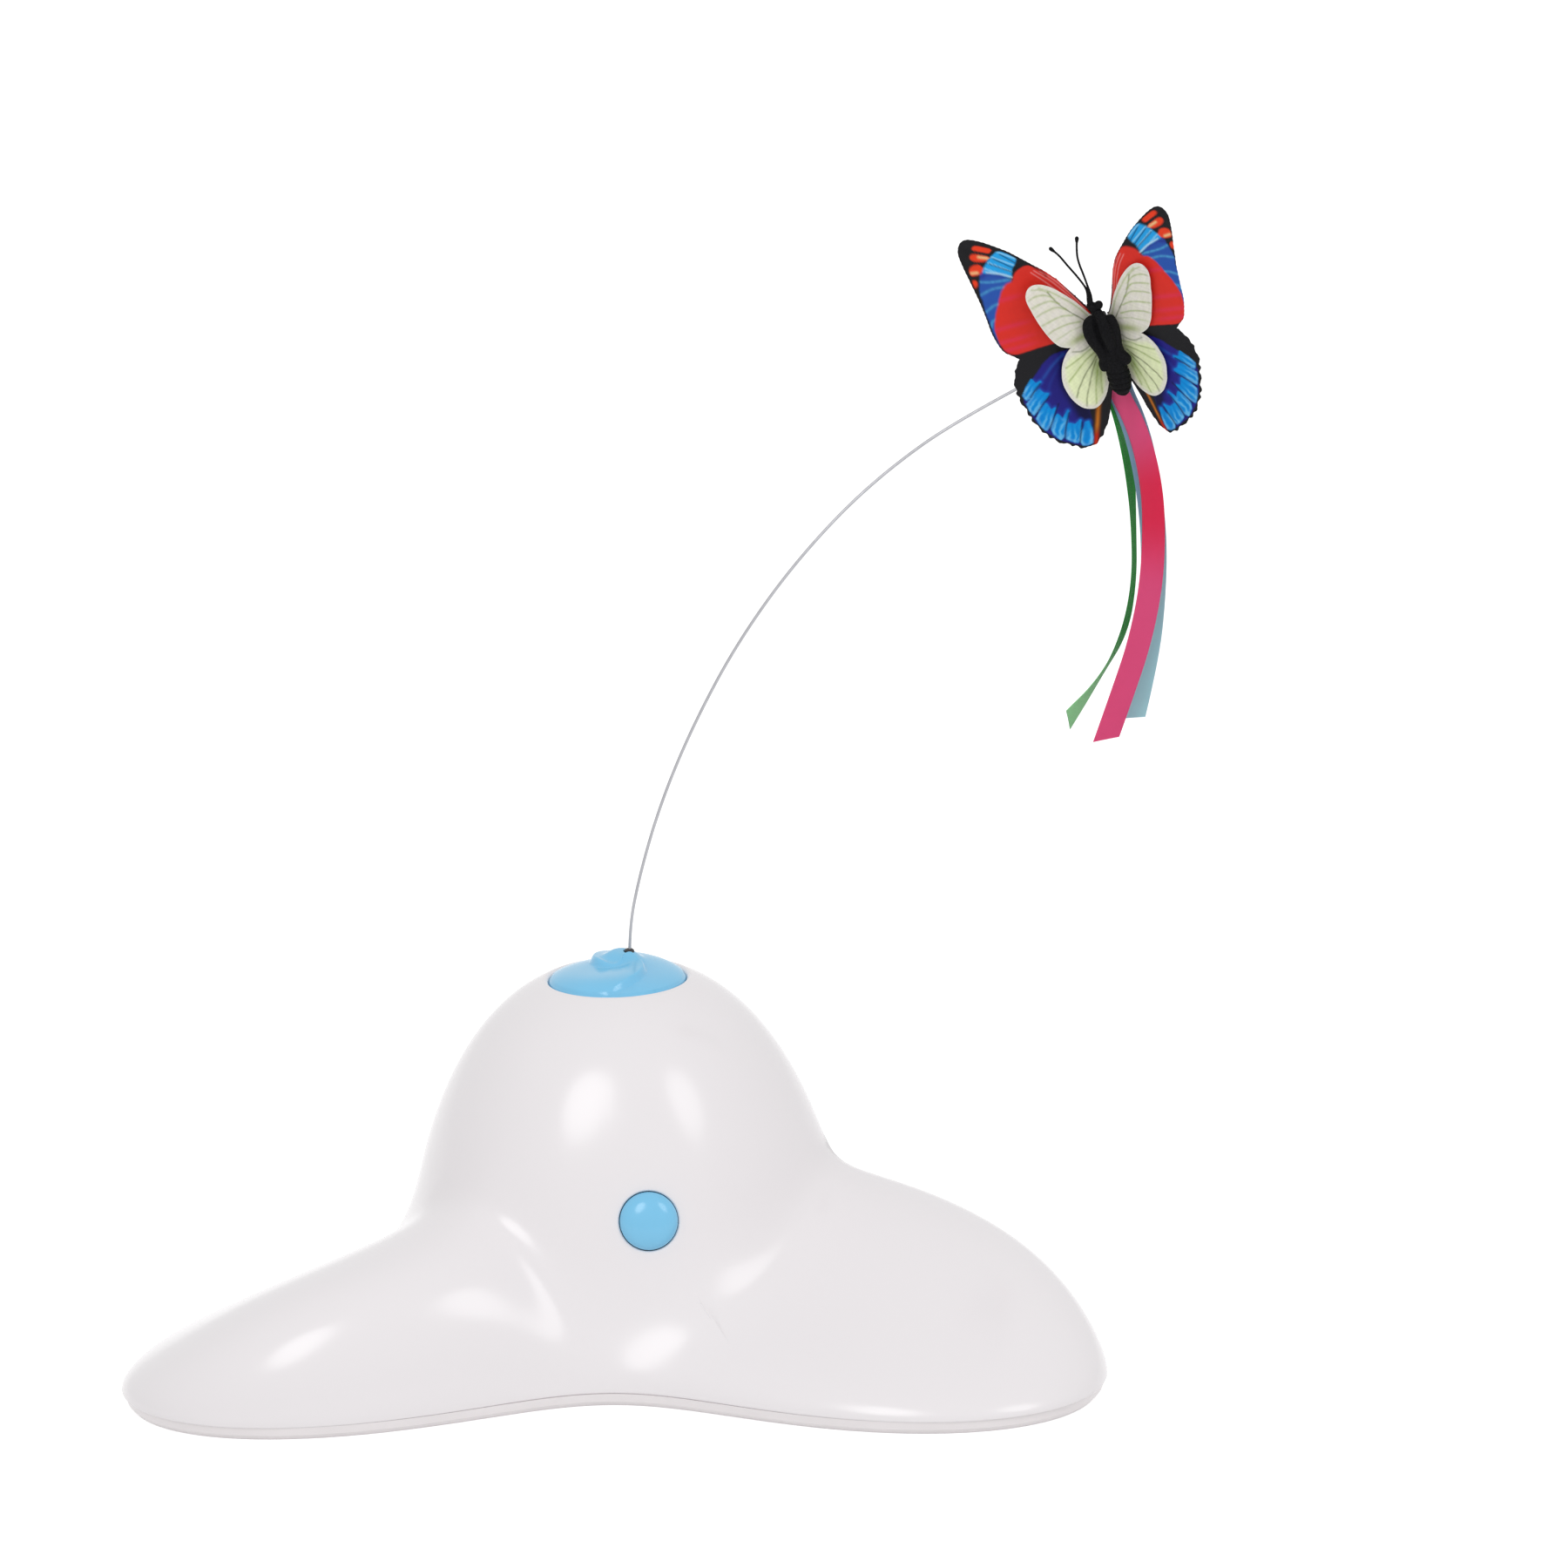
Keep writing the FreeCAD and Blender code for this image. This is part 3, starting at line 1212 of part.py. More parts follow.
def butterfly_body(sleeve):
    stalks = []
    for base, waist, tip in ((V(-0.6, 9.4, 0.9), V(-1.4, 17.2, 1.6), V(-5.3, 25.2, 2.2)),
                             (V(0.2, 9.6, 0.9), V(0.0, 18.2, 1.8), V(1.3, 26.9, 3.0))):
        arc = Part.Wire([Part.Arc(base, waist, tip).toShape()])
        ring = Part.Wire([Part.makeCircle(S.antenna_radius, base, waist - base)])
        stalk = arc.makePipeShell([ring], True, False)
        stalks.append(stalk.fuse(Part.makeSphere(S.antenna_tip_radius, tip)))
    antennae = solid(Part.makeCompound(stalks), BUTTERFLY)
    node(antennae, "antennae")

    profile = Part.BSplineCurve()
    profile.interpolate([
        V(0, -13.1, 0), V(0.8, -12.7, 0), V(0.75 * S.tail_radius, -10.6, 0),
        V(S.tail_radius, -7.2, 0), V(S.waist_radius, -3.2, 0), V(S.thorax_radius, 1.6, 0),
        V(0.8 * S.thorax_radius, 4.8, 0), V(S.neck_radius, 6.5, 0), V(S.head_radius, 8.4, 0),
        V(0.7 * S.head_radius, 9.8, 0), V(0, 10.2, 0)])
    axis = Part.LineSegment(V(0, 10.2, 0), V(0, -13.1, 0))
    half = Part.Face(Part.Wire([profile.toShape(), axis.toShape()]))
    torso = solid(half.revolve(V(0, 0, 0), Y_AXIS, 360), BUTTERFLY)
    lobes = []
    for side in (-1, 1):
        lobe = doc.addObject("Part::Sphere", "Lobe")
        bind(lobe, Radius="side_lobe_radius")
        lobe.Placement = BUTTERFLY * at(side * 2.1, -3.6, 0.2)
        lobes.append(lobe)
    below = block(BUTTERFLY * at(0, 0, -S.body_flat - 10), "10 * thorax_radius",
                  "20 * thorax_radius", "10")
    strip = block(BUTTERFLY * at(0, -S.fold_back, -S.strip_depth), "2 * strip_half_width", "strip_length",
                  "strip_depth - body_flat / 2")
    saddle = block(BUTTERFLY * at(0, S.saddle_place, -S.strip_depth - S.saddle_depth),
                   "saddle_width", "saddle_length", "saddle_depth + 0.2")
    bore = cylinder(sleeve, "sleeve_radius", "2 * sleeve_length")
    holes = solid(Part.makeCompound(stalks), BUTTERFLY)
    torso = cut(fuse(torso, *lobes), below, holes)
    node(cut(fuse(torso, strip, saddle), bore), "butterfly_body")


# Half outlines of a wing pair from its fold: out along the wing, then towards the head
OUTER_WING = (
    ((0, 7.4), (3.7, 14.6), (8.1, 22.4), (13.8, 28.8), (19.4, 32.5), (22.4, 32.5), (23.1, 29.5),
     (22.1, 20.5), (21.4, 12.6), (20.1, 6.6), (17.5, 3.2)),
    ((17.5, 3.2), (19.0, 0.2), (19.8, -4.0), (18.7, -10.6), (15.4, -17.0), (9.4, -21.8),
     (6.5, -21.3), (3.7, -17.0), (1.3, -9.8), (0, -7.4)))
INNER_WING = (
    ((0, 6.8), (3.4, 12.4), (8.0, 17.8), (11.8, 19.8), (13.8, 17.2), (13.1, 11.6), (10.6, 5.0),
     (7.5, 2.6)),
    ((7.5, 2.6), (10.1, 0.4), (11.4, -3.8), (10.2, -9.4), (6.0, -13.1), (2.8, -11.3),
     (0.9, -7.0), (0, -5.0)))


def wing_film(side, outline, depth, dihedral, name):
    """A wing film as a pad, folded up from its root along the body."""
    body = doc.addObject("PartDesign::Body", "Film")
    sketch = body.newObject("Sketcher::SketchObject", "Outline")
    sketch.AttachmentSupport = (origin_plane(body, "XY_Plane"), "")
    sketch.MapMode = "FlatFace"
    for points in outline:
        curve = Part.BSplineCurve()
        curve.interpolate([V(x, y, 0) for x, y in points])
        sketch.addGeometry(curve, False)
    root, tail = outline[0][0], outline[1][-1]
    sketch.addGeometry(Part.LineSegment(V(tail[0], tail[1], 0), V(root[0], root[1], 0)), False)
    pad = body.newObject("PartDesign::Pad", "Film")
    pad.Profile = sketch
    bind(pad, Length="film_thickness")
    lean = -dihedral if side > 0 else 180 + dihedral
    lift = 0 if side > 0 else -S.film_thickness
    body.Placement = (BUTTERFLY * at(side * S.fold_offset, -S.fold_back, -depth,
                                     about(Y_AXIS, lean)) * at(0, 0, lift))
    node(body, name)


def wings():
    for side, name in ((-1, "left"), (1, "right")):
        wing_film(side, OUTER_WING, S.outer_film_depth, S.outer_dihedral, name + "_outer_wing")
        wing_film(side, INNER_WING, S.inner_film_depth, S.inner_dihedral, name + "_inner_wing")


# Ribbon routes from the butterfly's centre: x, y, z, and the turn of the ribbon's face
RIBBONS = {
    "pink": ((2.4, 8.7, -10.6, -14), (7.4, 7.6, -20.3, -8), (10.0, 5.0, -32.8, -4),
             (9.9, 3.0, -45.0, -4), (8.8, 1.8, -55.2, -6), (6.2, 1.4, -66.4, -8),
             (2.8, 1.0, -76.0, -8), (-1.3, 0.6, -87.0, -6)),
    "blue": ((2.9, 9.7, -10.4, -14), (7.0, 9.4, -20.0, -10), (9.4, 8.0, -32.0, -12),
             (10.4, 6.8, -45.0, -14), (9.8, 5.8, -57.0, -12), (8.2, 5.2, -70.0, -6),
             (4.8, 4.8, -83.4, 0)),
    "green": ((2.2, 11.3, -10.2, -10), (3.2, 12.2, -19.6, 30), (4.6, 11.6, -30.0, 60),
              (5.4, 10.6, -42.0, 76), (5.2, 9.6, -54.0, 80), (2.4, 8.8, -65.6, 70),
              (-2.2, 8.0, -75.4, 56), (-8.0, 7.4, -84.0, 44)),
}


def strip(rows):
    """Closed strip whose four long edges are quadratic splines over rows of corner points."""
    edges = list(zip(*rows))
    knots = list(range(len(rows) - 1))
    mults = [3] + [1] * (len(rows) - 3) + [3]
    faces = []
    for i in range(4):
        side = Part.BSplineSurface()
        side.buildFromPolesMultsKnots([edges[i], edges[(i + 1) % 4]], [2, 2], mults, [0, 1],
                                      knots, False, False, 1, 2)
        faces.append(side.toShape())
    for row in (rows[0], rows[-1]):
        faces.append(Part.Face(Part.makePolygon(row + [row[0]])))
    skin = Part.makeShell(faces)
    skin.sewShape()
    form = Part.makeSolid(skin)
    if form.Volume < 0:
        form.reverse()
    return form


def ribbons():
    centre = BUTTERFLY.Base
    top = S.strip_depth + S.binding_wall + S.ribbon_spacing / 2
    for layer, (name, route) in enumerate(RIBBONS.items()):
        depth = -top - layer * S.ribbon_spacing
        half = S.binding_length / 2
        spots = [BUTTERFLY.multVec(V(0, -S.binding_back + step * half, depth))
                 for step in (1, -1, -2)]
        turns = [None] * len(spots) + [t for _, _, _, t in route]
        spots += [centre + V(x, y, z) for x, y, z, _ in route]
        sections = []
        for i, spot in enumerate(spots):
            if turns[i] is None:
                across = BUTTERFLY.Rotation.multVec(X_AXIS)
                face = BUTTERFLY.Rotation.multVec(Z_AXIS)
            else:
                ahead = (spots[min(i + 1, len(spots) - 1)] - spots[i - 1]).normalize()
                across = polar(1, turns[i])
                across = (across - ahead * across.dot(ahead)).normalize()
                face = ahead.cross(across)
            wide = across * (S.ribbon_width / 2)
            thick = face * (S.ribbon_thickness / 2)
            sections.append([spot - wide - thick, spot + wide - thick, spot + wide + thick,
                             spot - wide + thick])
        node(solid(strip(sections)), name + "_ribbon")
    bottom = -S.strip_depth - 2 * S.binding_wall - 3 * S.ribbon_spacing
    band = block(BUTTERFLY * at(0, -S.binding_back, bottom), "binding_width", "binding_length",
                 "2 * binding_wall + 3 * ribbon_spacing")
    slot = block(BUTTERFLY * at(0, -S.binding_back, bottom + S.binding_wall),
                 "binding_width - 2 * binding_wall", "2 * binding_length", "3 * ribbon_spacing")
    node(cut(band, slot), "ribbon_binding")


top_shell()
bottom_cover()
battery_door()
casing_screws()
rubber_pads()
battery_cells()
battery_contacts()
gear_train()
gearbox()
motor()
turntable()
push_button()
leads()
butterfly_body(wand())
wings()
ribbons()
doc.recompute()

for obj in doc.Objects:
    if "Invalid" in obj.State or "Error" in obj.State:
        raise RuntimeError("%s did not build: %s" % (obj.Label, obj.State))
for obj in NODES:
    if obj.Shape.isNull() or not obj.Shape.isValid():
        raise RuntimeError("%s has no valid shape" % obj.Label)

os.makedirs("parts", exist_ok=True)
for obj in NODES:
    obj.Shape.exportStep("parts/%s.step" % obj.Label)
    print("%-22s solids %d volume %.1f" % (obj.Label, len(obj.Shape.Solids), obj.Shape.Volume))
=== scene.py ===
"""Dresses the butterfly cat toy: a glossy three lobed base, a sky blue turntable and push button,
a steel wire wand, a film butterfly with a foam body, and three satin ribbons."""
import json
import logging
import math
from dataclasses import dataclass
from enum import Enum
from typing import Sequence

import bpy
import numpy as np
from mathutils import Matrix, Vector


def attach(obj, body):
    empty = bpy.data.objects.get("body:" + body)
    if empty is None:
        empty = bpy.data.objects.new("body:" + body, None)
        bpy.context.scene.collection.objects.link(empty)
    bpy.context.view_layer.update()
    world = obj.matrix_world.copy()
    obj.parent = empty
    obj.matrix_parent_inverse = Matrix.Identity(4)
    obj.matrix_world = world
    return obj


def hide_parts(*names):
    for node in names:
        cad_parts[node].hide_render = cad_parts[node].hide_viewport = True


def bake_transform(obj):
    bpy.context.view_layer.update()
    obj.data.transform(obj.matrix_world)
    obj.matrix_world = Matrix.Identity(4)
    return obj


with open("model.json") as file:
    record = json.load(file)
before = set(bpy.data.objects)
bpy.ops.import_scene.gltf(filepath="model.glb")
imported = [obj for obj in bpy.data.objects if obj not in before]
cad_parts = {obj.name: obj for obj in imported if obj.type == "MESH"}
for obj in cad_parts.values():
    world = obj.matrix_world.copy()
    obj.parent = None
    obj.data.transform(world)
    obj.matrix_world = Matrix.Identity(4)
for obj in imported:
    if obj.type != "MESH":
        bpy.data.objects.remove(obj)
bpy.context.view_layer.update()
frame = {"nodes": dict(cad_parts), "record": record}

MM = 0.001
TINY = 1e-9
PIN = 0.02  # Radius of the small rings that close a form at its axis.
log = logging.getLogger("toy")

Array = Rows = Points = np.ndarray
Socket = bpy.types.NodeSocket
Pair = tuple[float, float]
Triple = tuple[float, float, float]
Quad = tuple[float, float, float, float]


# Mathematics shared by the pieces

SPAN_STEPS = 24
WAVES = ((0.3, 1.0), (1.7, 1.31), (2.9, 1.77), (4.1, 2.4), (5.2, 3.3))  # Direction and pace.
WAVE_LAG, WAVE_FADE, WAVE_SUM = 1.9, 0.6, 2.2


def smooth(low: float, high: float, x: Array) -> Array:
    """A ramp from 0 at low to 1 at high with level ends: 3t^2 - 2t^3.

    Args:
        low: Where the ramp starts.
        high: Where the ramp ends; it may lie below low.
        x: The places.

    Returns:
        The ramp at each place.
    """
    t = np.clip((x - low) / (high - low), 0.0, 1.0)
    return t * t * (3.0 - 2.0 * t)


def unit(v: Array) -> Array:
    """Vectors brought to length one along their last axis."""
    return v / np.maximum(np.linalg.norm(v, axis=-1, keepdims=True), 1e-12)


def turn_about(axis: int, degrees: float) -> Array:
    """A rotation matrix about the x, y or z axis.

    Args:
        axis: 0, 1 or 2.
        degrees: The right handed turn.

    Returns:
        A 3 by 3 matrix.
    """
    c, s = math.cos(math.radians(degrees)), math.sin(math.radians(degrees))
    i, j = (axis + 1) % 3, (axis + 2) % 3
    matrix = np.eye(3)
    matrix[i, i] = matrix[j, j] = c
    matrix[j, i] = s
    matrix[i, j] = -s
    return matrix


@dataclass(frozen=True)
class Frame:
    """A turned and placed set of axes; the columns of turn are its axes."""

    origin: Array
    turn: Array

    def place(self, local: Points) -> Points:
        """Points given in this frame, brought to the toy's frame."""
        return self.origin + local @ self.turn.T

    def local(self, world: Points) -> Points:
        """Points of the toy's frame, as this frame sees them."""
        return (world - self.origin) @ self.turn


def through(points: Sequence[Sequence[float]], count: int) -> Points:
    """A smooth curve through points: a Catmull-Rom spline, sampled evenly.

    Each span is the cubic of its end points and of tangents (next - before) / 2.

    Args:
        points: The points that the curve passes through.
        count: How many samples, spaced evenly by length.

    Returns:
        An array of samples.
    """
    p = np.asarray(points, float)
    p = np.vstack([2 * p[0] - p[1], p, 2 * p[-1] - p[-2]])
    t = np.linspace(0, 1, SPAN_STEPS + 1)[:-1, None]
    a, b, c, d = (p[i:len(p) - 3 + i, None] for i in range(4))
    spans = 0.5 * (2 * b + (c - a) * t + (2 * a - 5 * b + 4 * c - d) * t ** 2
                   + (3 * b - a - 3 * c + d) * t ** 3)
    fine = np.vstack([spans.reshape(-1, p.shape[1]), p[-2]])
    return even(fine, count)


def walked(path: Points) -> Array:
    """How far along a polyline each of its points lies."""
    return np.r_[0, np.cumsum(np.linalg.norm(np.diff(path, axis=0), axis=1))]


def read_at(values: Points, known: Array, places: Array) -> Points:
    """Columns of values that belong to the known places, read off at other places."""
    return np.stack([np.interp(places, known, column) for column in values.T], axis=1)


def even(path: Points, count: int) -> Points:
    """A polyline sampled again at even steps of its length."""
    known = walked(path)
    return read_at(path, known, np.linspace(0, known[-1], count))


def span_distance(x: Array, y: Array, start: Points, run: Points) -> Array:
    """Distance of each place to the nearest of some line pieces.

    Args:
        x: Places along x.
        y: Places along y.
        start: Where each line piece starts.
        run: How far it runs.

    Returns:
        The distance of each place.
    """
    away = np.stack([x, y], axis=-1)[:, None] - start
    share = np.clip((away * run).sum(-1) / np.maximum((run ** 2).sum(-1), TINY), 0, 1)
    return np.linalg.norm(away - share[..., None] * run, axis=-1).min(axis=1)


def inside(x: Array, y: Array, outline: Points) -> Array:
    """Signed distance to a closed outline, positive inside it.

    The distance is the least over the outline's edges; the sign comes from the crossing rule.

    Args:
        x: Places along x.
        y: Places along y.
        outline: Corners of the outline in order.

    Returns:
        The distance of each place.
    """
    a, b = outline, np.roll(outline, -1, axis=0)
    run = b - a
    distance = span_distance(x, y, a, run)
    rises = (a[:, 1] > y[:, None]) != (b[:, 1] > y[:, None])
    height = np.where(run[:, 1] == 0, TINY, run[:, 1])
    left = x[:, None] < run[:, 0] * (y[:, None] - a[:, 1]) / height + a[:, 0]
    odd = (rises & left).sum(axis=1) % 2 == 1
    return np.where(odd, distance, -distance)


def near_line(x: Array, y: Array, line: Points, width: float) -> Array:
    """How strongly a drawn line covers each place: exp(-(distance / width)^2).

    Args:
        x: Places along x.
        y: Places along y.
        line: Points of the open line.
        width: Half the line's visible width.

    Returns:
        The cover, from 0 to 1.
    """
    return np.exp(-(span_distance(x, y, line[:-1], np.diff(line, axis=0)) / width) ** 2)


def ripple(x: Array, y: Array, scale: float, seed: float = 0.0) -> Array:
    """A repeatable uneven field between about -1 and 1, a sum of five crossed sine waves.

    Args:
        x: Places along x.
        y: Places along y.
        scale: The length of the longest wave.
        seed: Shifts the waves against each other.

    Returns:
        The field at each place.
    """
    total = np.zeros_like(x)
    for k, (angle, pace) in enumerate(WAVES):
        along = x * math.cos(angle + seed) + y * math.sin(angle + seed)
        phase = 2 * math.pi * along * pace / scale + WAVE_LAG * k + seed
        total += np.sin(phase) / (1 + WAVE_FADE * k)
    return total / WAVE_SUM


# Meshes

ALL_SMOOTH = 180.0
ROUTE_STEPS, ROUTE_ORDER = 24, 3


@dataclass
class Build:
    """Gathers the points and faces of one piece, in millimetres, and makes its object."""

    name: str

    def __post_init__(self) -> None:
        """Start with nothing."""
        self.points: list[Array] = []
        self.faces: list[Array] = []
        self.count = 0

    def add(self, points: Points) -> int:
        """Add loose points and give back the index of the first."""
        first = self.count
        self.points.append(points.reshape(-1, 3))
        self.count += len(self.points[-1])
        return first

    def table(self, rows: Rows) -> Array:
        """Add rows of points and give back the table of their indices."""
        return self.add(rows) + np.arange(rows[..., 0].size).reshape(rows.shape[:2])

    def quads(self, index: Array, wrap: bool = True, keep: Array | None = None) -> None:
        """Join a table of point indices into quads.

        Args:
            index: Rows by columns of indices.
            wrap: Whether the last column joins the first.
            keep: Which cells of the table become quads, when not all do.
        """
        if wrap:
            index = np.hstack([index, index[:, :1]])
        cells = np.stack([index[:-1, :-1], index[:-1, 1:], index[1:, 1:], index[1:, :-1]], axis=-1)
        self.faces.append(cells.reshape(-1, 4) if keep is None else cells[keep])

    def lattice(self, rows: Rows) -> None:
        """Add closed rings, the quads between them, and a fan about the middle of both ends.

        Args:
            rows: Rings by columns by 3.
        """
        index = self.table(rows)
        self.quads(index)
        for end, way in ((0, -1), (-1, 1)):
            tip = np.full(len(index[end]), self.add(rows[end].mean(axis=0)))
            pair = [index[end], np.roll(index[end], -1)][::way]
            self.faces.append(np.stack([*pair, tip, tip], axis=-1))

    def object(self, sharp: float = ALL_SMOOTH, colours: Array | None = None,
               uv: Array | None = None) -> bpy.types.Object:
        """Make the Blender object, its faces turned outwards by the sign of the volume.

        Args:
            sharp: Edges that turn by more degrees than this are drawn crisp.
            colours: A linear colour for each point, kept as the attribute paint.
            uv: Two coordinates for each point, kept as the UV map weave.

        Returns:
            The object, linked to the scene.
        """
        points = np.vstack(self.points)
        faces = np.vstack(self.faces)
        used, faces = np.unique(faces, return_inverse=True)
        faces = faces.reshape(-1, 4)
        points = points[used]
        corner = points[faces]
        area = np.cross(corner[:, 1], corner[:, 2]) + np.cross(corner[:, 2], corner[:, 3])
        if (corner[:, 0] * area).sum() < 0:
            faces = faces[:, ::-1]
        same_end = faces[:, 2] == faces[:, 3]
        same_start = faces[:, 0] == faces[:, 1]
        solid = [list(f) for f in faces[~(same_end | same_start)].tolist()]
        solid += faces[same_end][:, :3].tolist() + faces[same_start][:, 1:].tolist()
        mesh = bpy.data.meshes.new(self.name)
        mesh.from_pydata((points * MM).tolist(), [], solid)
        mesh.validate()
        mesh.polygons.foreach_set("use_smooth", np.ones(len(mesh.polygons), bool))
        if sharp < ALL_SMOOTH:
            mesh.set_sharp_from_angle(angle=math.radians(sharp))
        if colours is not None:
            paint = mesh.attributes.new("paint", "FLOAT_COLOR", "POINT")
            rgba = np.c_[colours[used], np.ones(len(used))]
            paint.data.foreach_set("color", rgba.astype(np.float32).ravel())
        if uv is not None:
            layer = mesh.uv_layers.new(name="weave")
            corners = np.empty(len(mesh.loops), np.int32)
            mesh.loops.foreach_get("vertex_index", corners)
            layer.data.foreach_set("uv", uv[used][corners].astype(np.float32).ravel())
        mesh.update()
        piece = linked(self.name, mesh)
        log.info("%s: %d points, %d faces", self.name, len(mesh.vertices), len(mesh.polygons))
        return piece


def linked(name: str, data: bpy.types.ID) -> bpy.types.Object:
    """A new object that shows some data in the scene."""
    made = bpy.data.objects.new(name, data)
    bpy.context.scene.collection.objects.link(made)
    return made


def circle(radius: float | Array, count: int, z: float | Array = 0.0) -> Points:
    """Points on circles about the z axis; radius and z may be columns of rows.

    Args:
        radius: One radius, or one for each row.
        count: Points on a circle.
        z: One height, or one for each row.

    Returns:
        Rows by count by 3, or count by 3.
    """
    angle = np.arange(count) * 2 * math.pi / count
    radius, z = (a[..., None] for a in np.broadcast_arrays(radius, z))
    return np.stack([radius * np.cos(angle), radius * np.sin(angle), z + 0 * angle], axis=-1)


def arc_profile(corners: Sequence[Triple], steps: int = 5) -> Points:
    """A profile of straight runs whose corners are rounded by arcs, drawn as quadratic bends.

    Args:
        corners: (radius, height, rounding) of each corner.
        steps: Points on each rounded corner.

    Returns:
        The profile's (radius, height) points.
    """
    p = np.array([c[:2] for c in corners], float)
    out = [p[0]]
    for i in range(1, len(p) - 1):
        size = corners[i][2]
        back, ahead = unit(p[i - 1] - p[i]), unit(p[i + 1] - p[i])
        t = np.linspace(0, 1, steps)[:, None]
        out += list((1 - t) ** 2 * (p[i] + back * size) + 2 * t * (1 - t) * p[i]
                    + t ** 2 * (p[i] + ahead * size)) if size else [p[i]]
    return np.array(out + [p[-1]])


def sweep(path: Points, side: Points, up: Points, section: Points) -> Rows:
    """A closed section carried along a path on two axes given at each step.

    point(i, j) = path(i) + side(i) * section(j).x + up(i) * section(j).y

    Args:
        path: Steps by 3.
        side: First axis at each step.
        up: Second axis at each step.
        section: Columns by 2, or steps by columns by 2.

    Returns:
        Steps by columns by 3.
    """
    section = np.broadcast_to(section, (len(path),) + section.shape[-2:])
    return path[:, None] + side[:, None] * section[..., :1] + up[:, None] * section[..., 1:]


def carried_axes(path: Points, start: Sequence[float]) -> tuple[Points, Points]:
    """Axes carried along a path without twist.

    Args:
        path: The points of the path.
        start: A vector that the first side axis leans to.

    Returns:
        Side axes and up axes.
    """
    ahead = unit(np.gradient(path, axis=0))
    side = np.empty_like(ahead)
    last = np.asarray(start, float)
    for i, way in enumerate(ahead):
        last = unit(last - way * (last @ way))
        side[i] = last
    return side, np.cross(ahead, side)


def route_points(name: str, route: Points) -> Points:
    """Points read from the NURBS spline whose control points are the route, in millimetres."""
    curve = bpy.data.curves.new(name, "CURVE")
    curve.dimensions = "3D"
    curve.resolution_u = ROUTE_STEPS
    spline = curve.splines.new("NURBS")
    spline.points.add(len(route) - 1)
    spline.points.foreach_set("co", np.c_[route * MM, np.ones(len(route))].ravel())
    spline.order_u = ROUTE_ORDER
    spline.use_endpoint_u = True
    holder = bpy.data.objects.new(name, curve)
    mesh = bpy.data.meshes.new_from_object(holder)
    line = np.empty(len(mesh.vertices) * 3)
    mesh.vertices.foreach_get("co", line)
    bpy.data.objects.remove(holder)
    bpy.data.curves.remove(curve)
    bpy.data.meshes.remove(mesh)
    return line.reshape(-1, 3) / MM


# Finishes

CLOUD_SCALE, CLOUD_DETAIL = 0.12, 3.0
FIBRE_PULL, DRAWN_PULL = 0.2, 0.04
THREAD_SHADE, GLOSS_SWING = 0.03, 0.15
SHEEN_ROUGHNESS = 0.35
RAMP_STOPS = (0.3, 0.7)


def linear(*rgb: float) -> Array:
    """Display colours from 0 to 255, made linear."""
    c = np.asarray(rgb, float) / 255.0
    return np.where(c <= 0.04045, c / 12.92, ((c + 0.055) / 1.055) ** 2.4)


class Grain(Enum):
    """The fine structure that a finish draws on its surface."""

    MOULDED = "moulded"
    DRAWN = "drawn"
    FOAM = "foam"
    PAINTED = "painted"
    SATIN = "satin"
    TURNED = "turned"


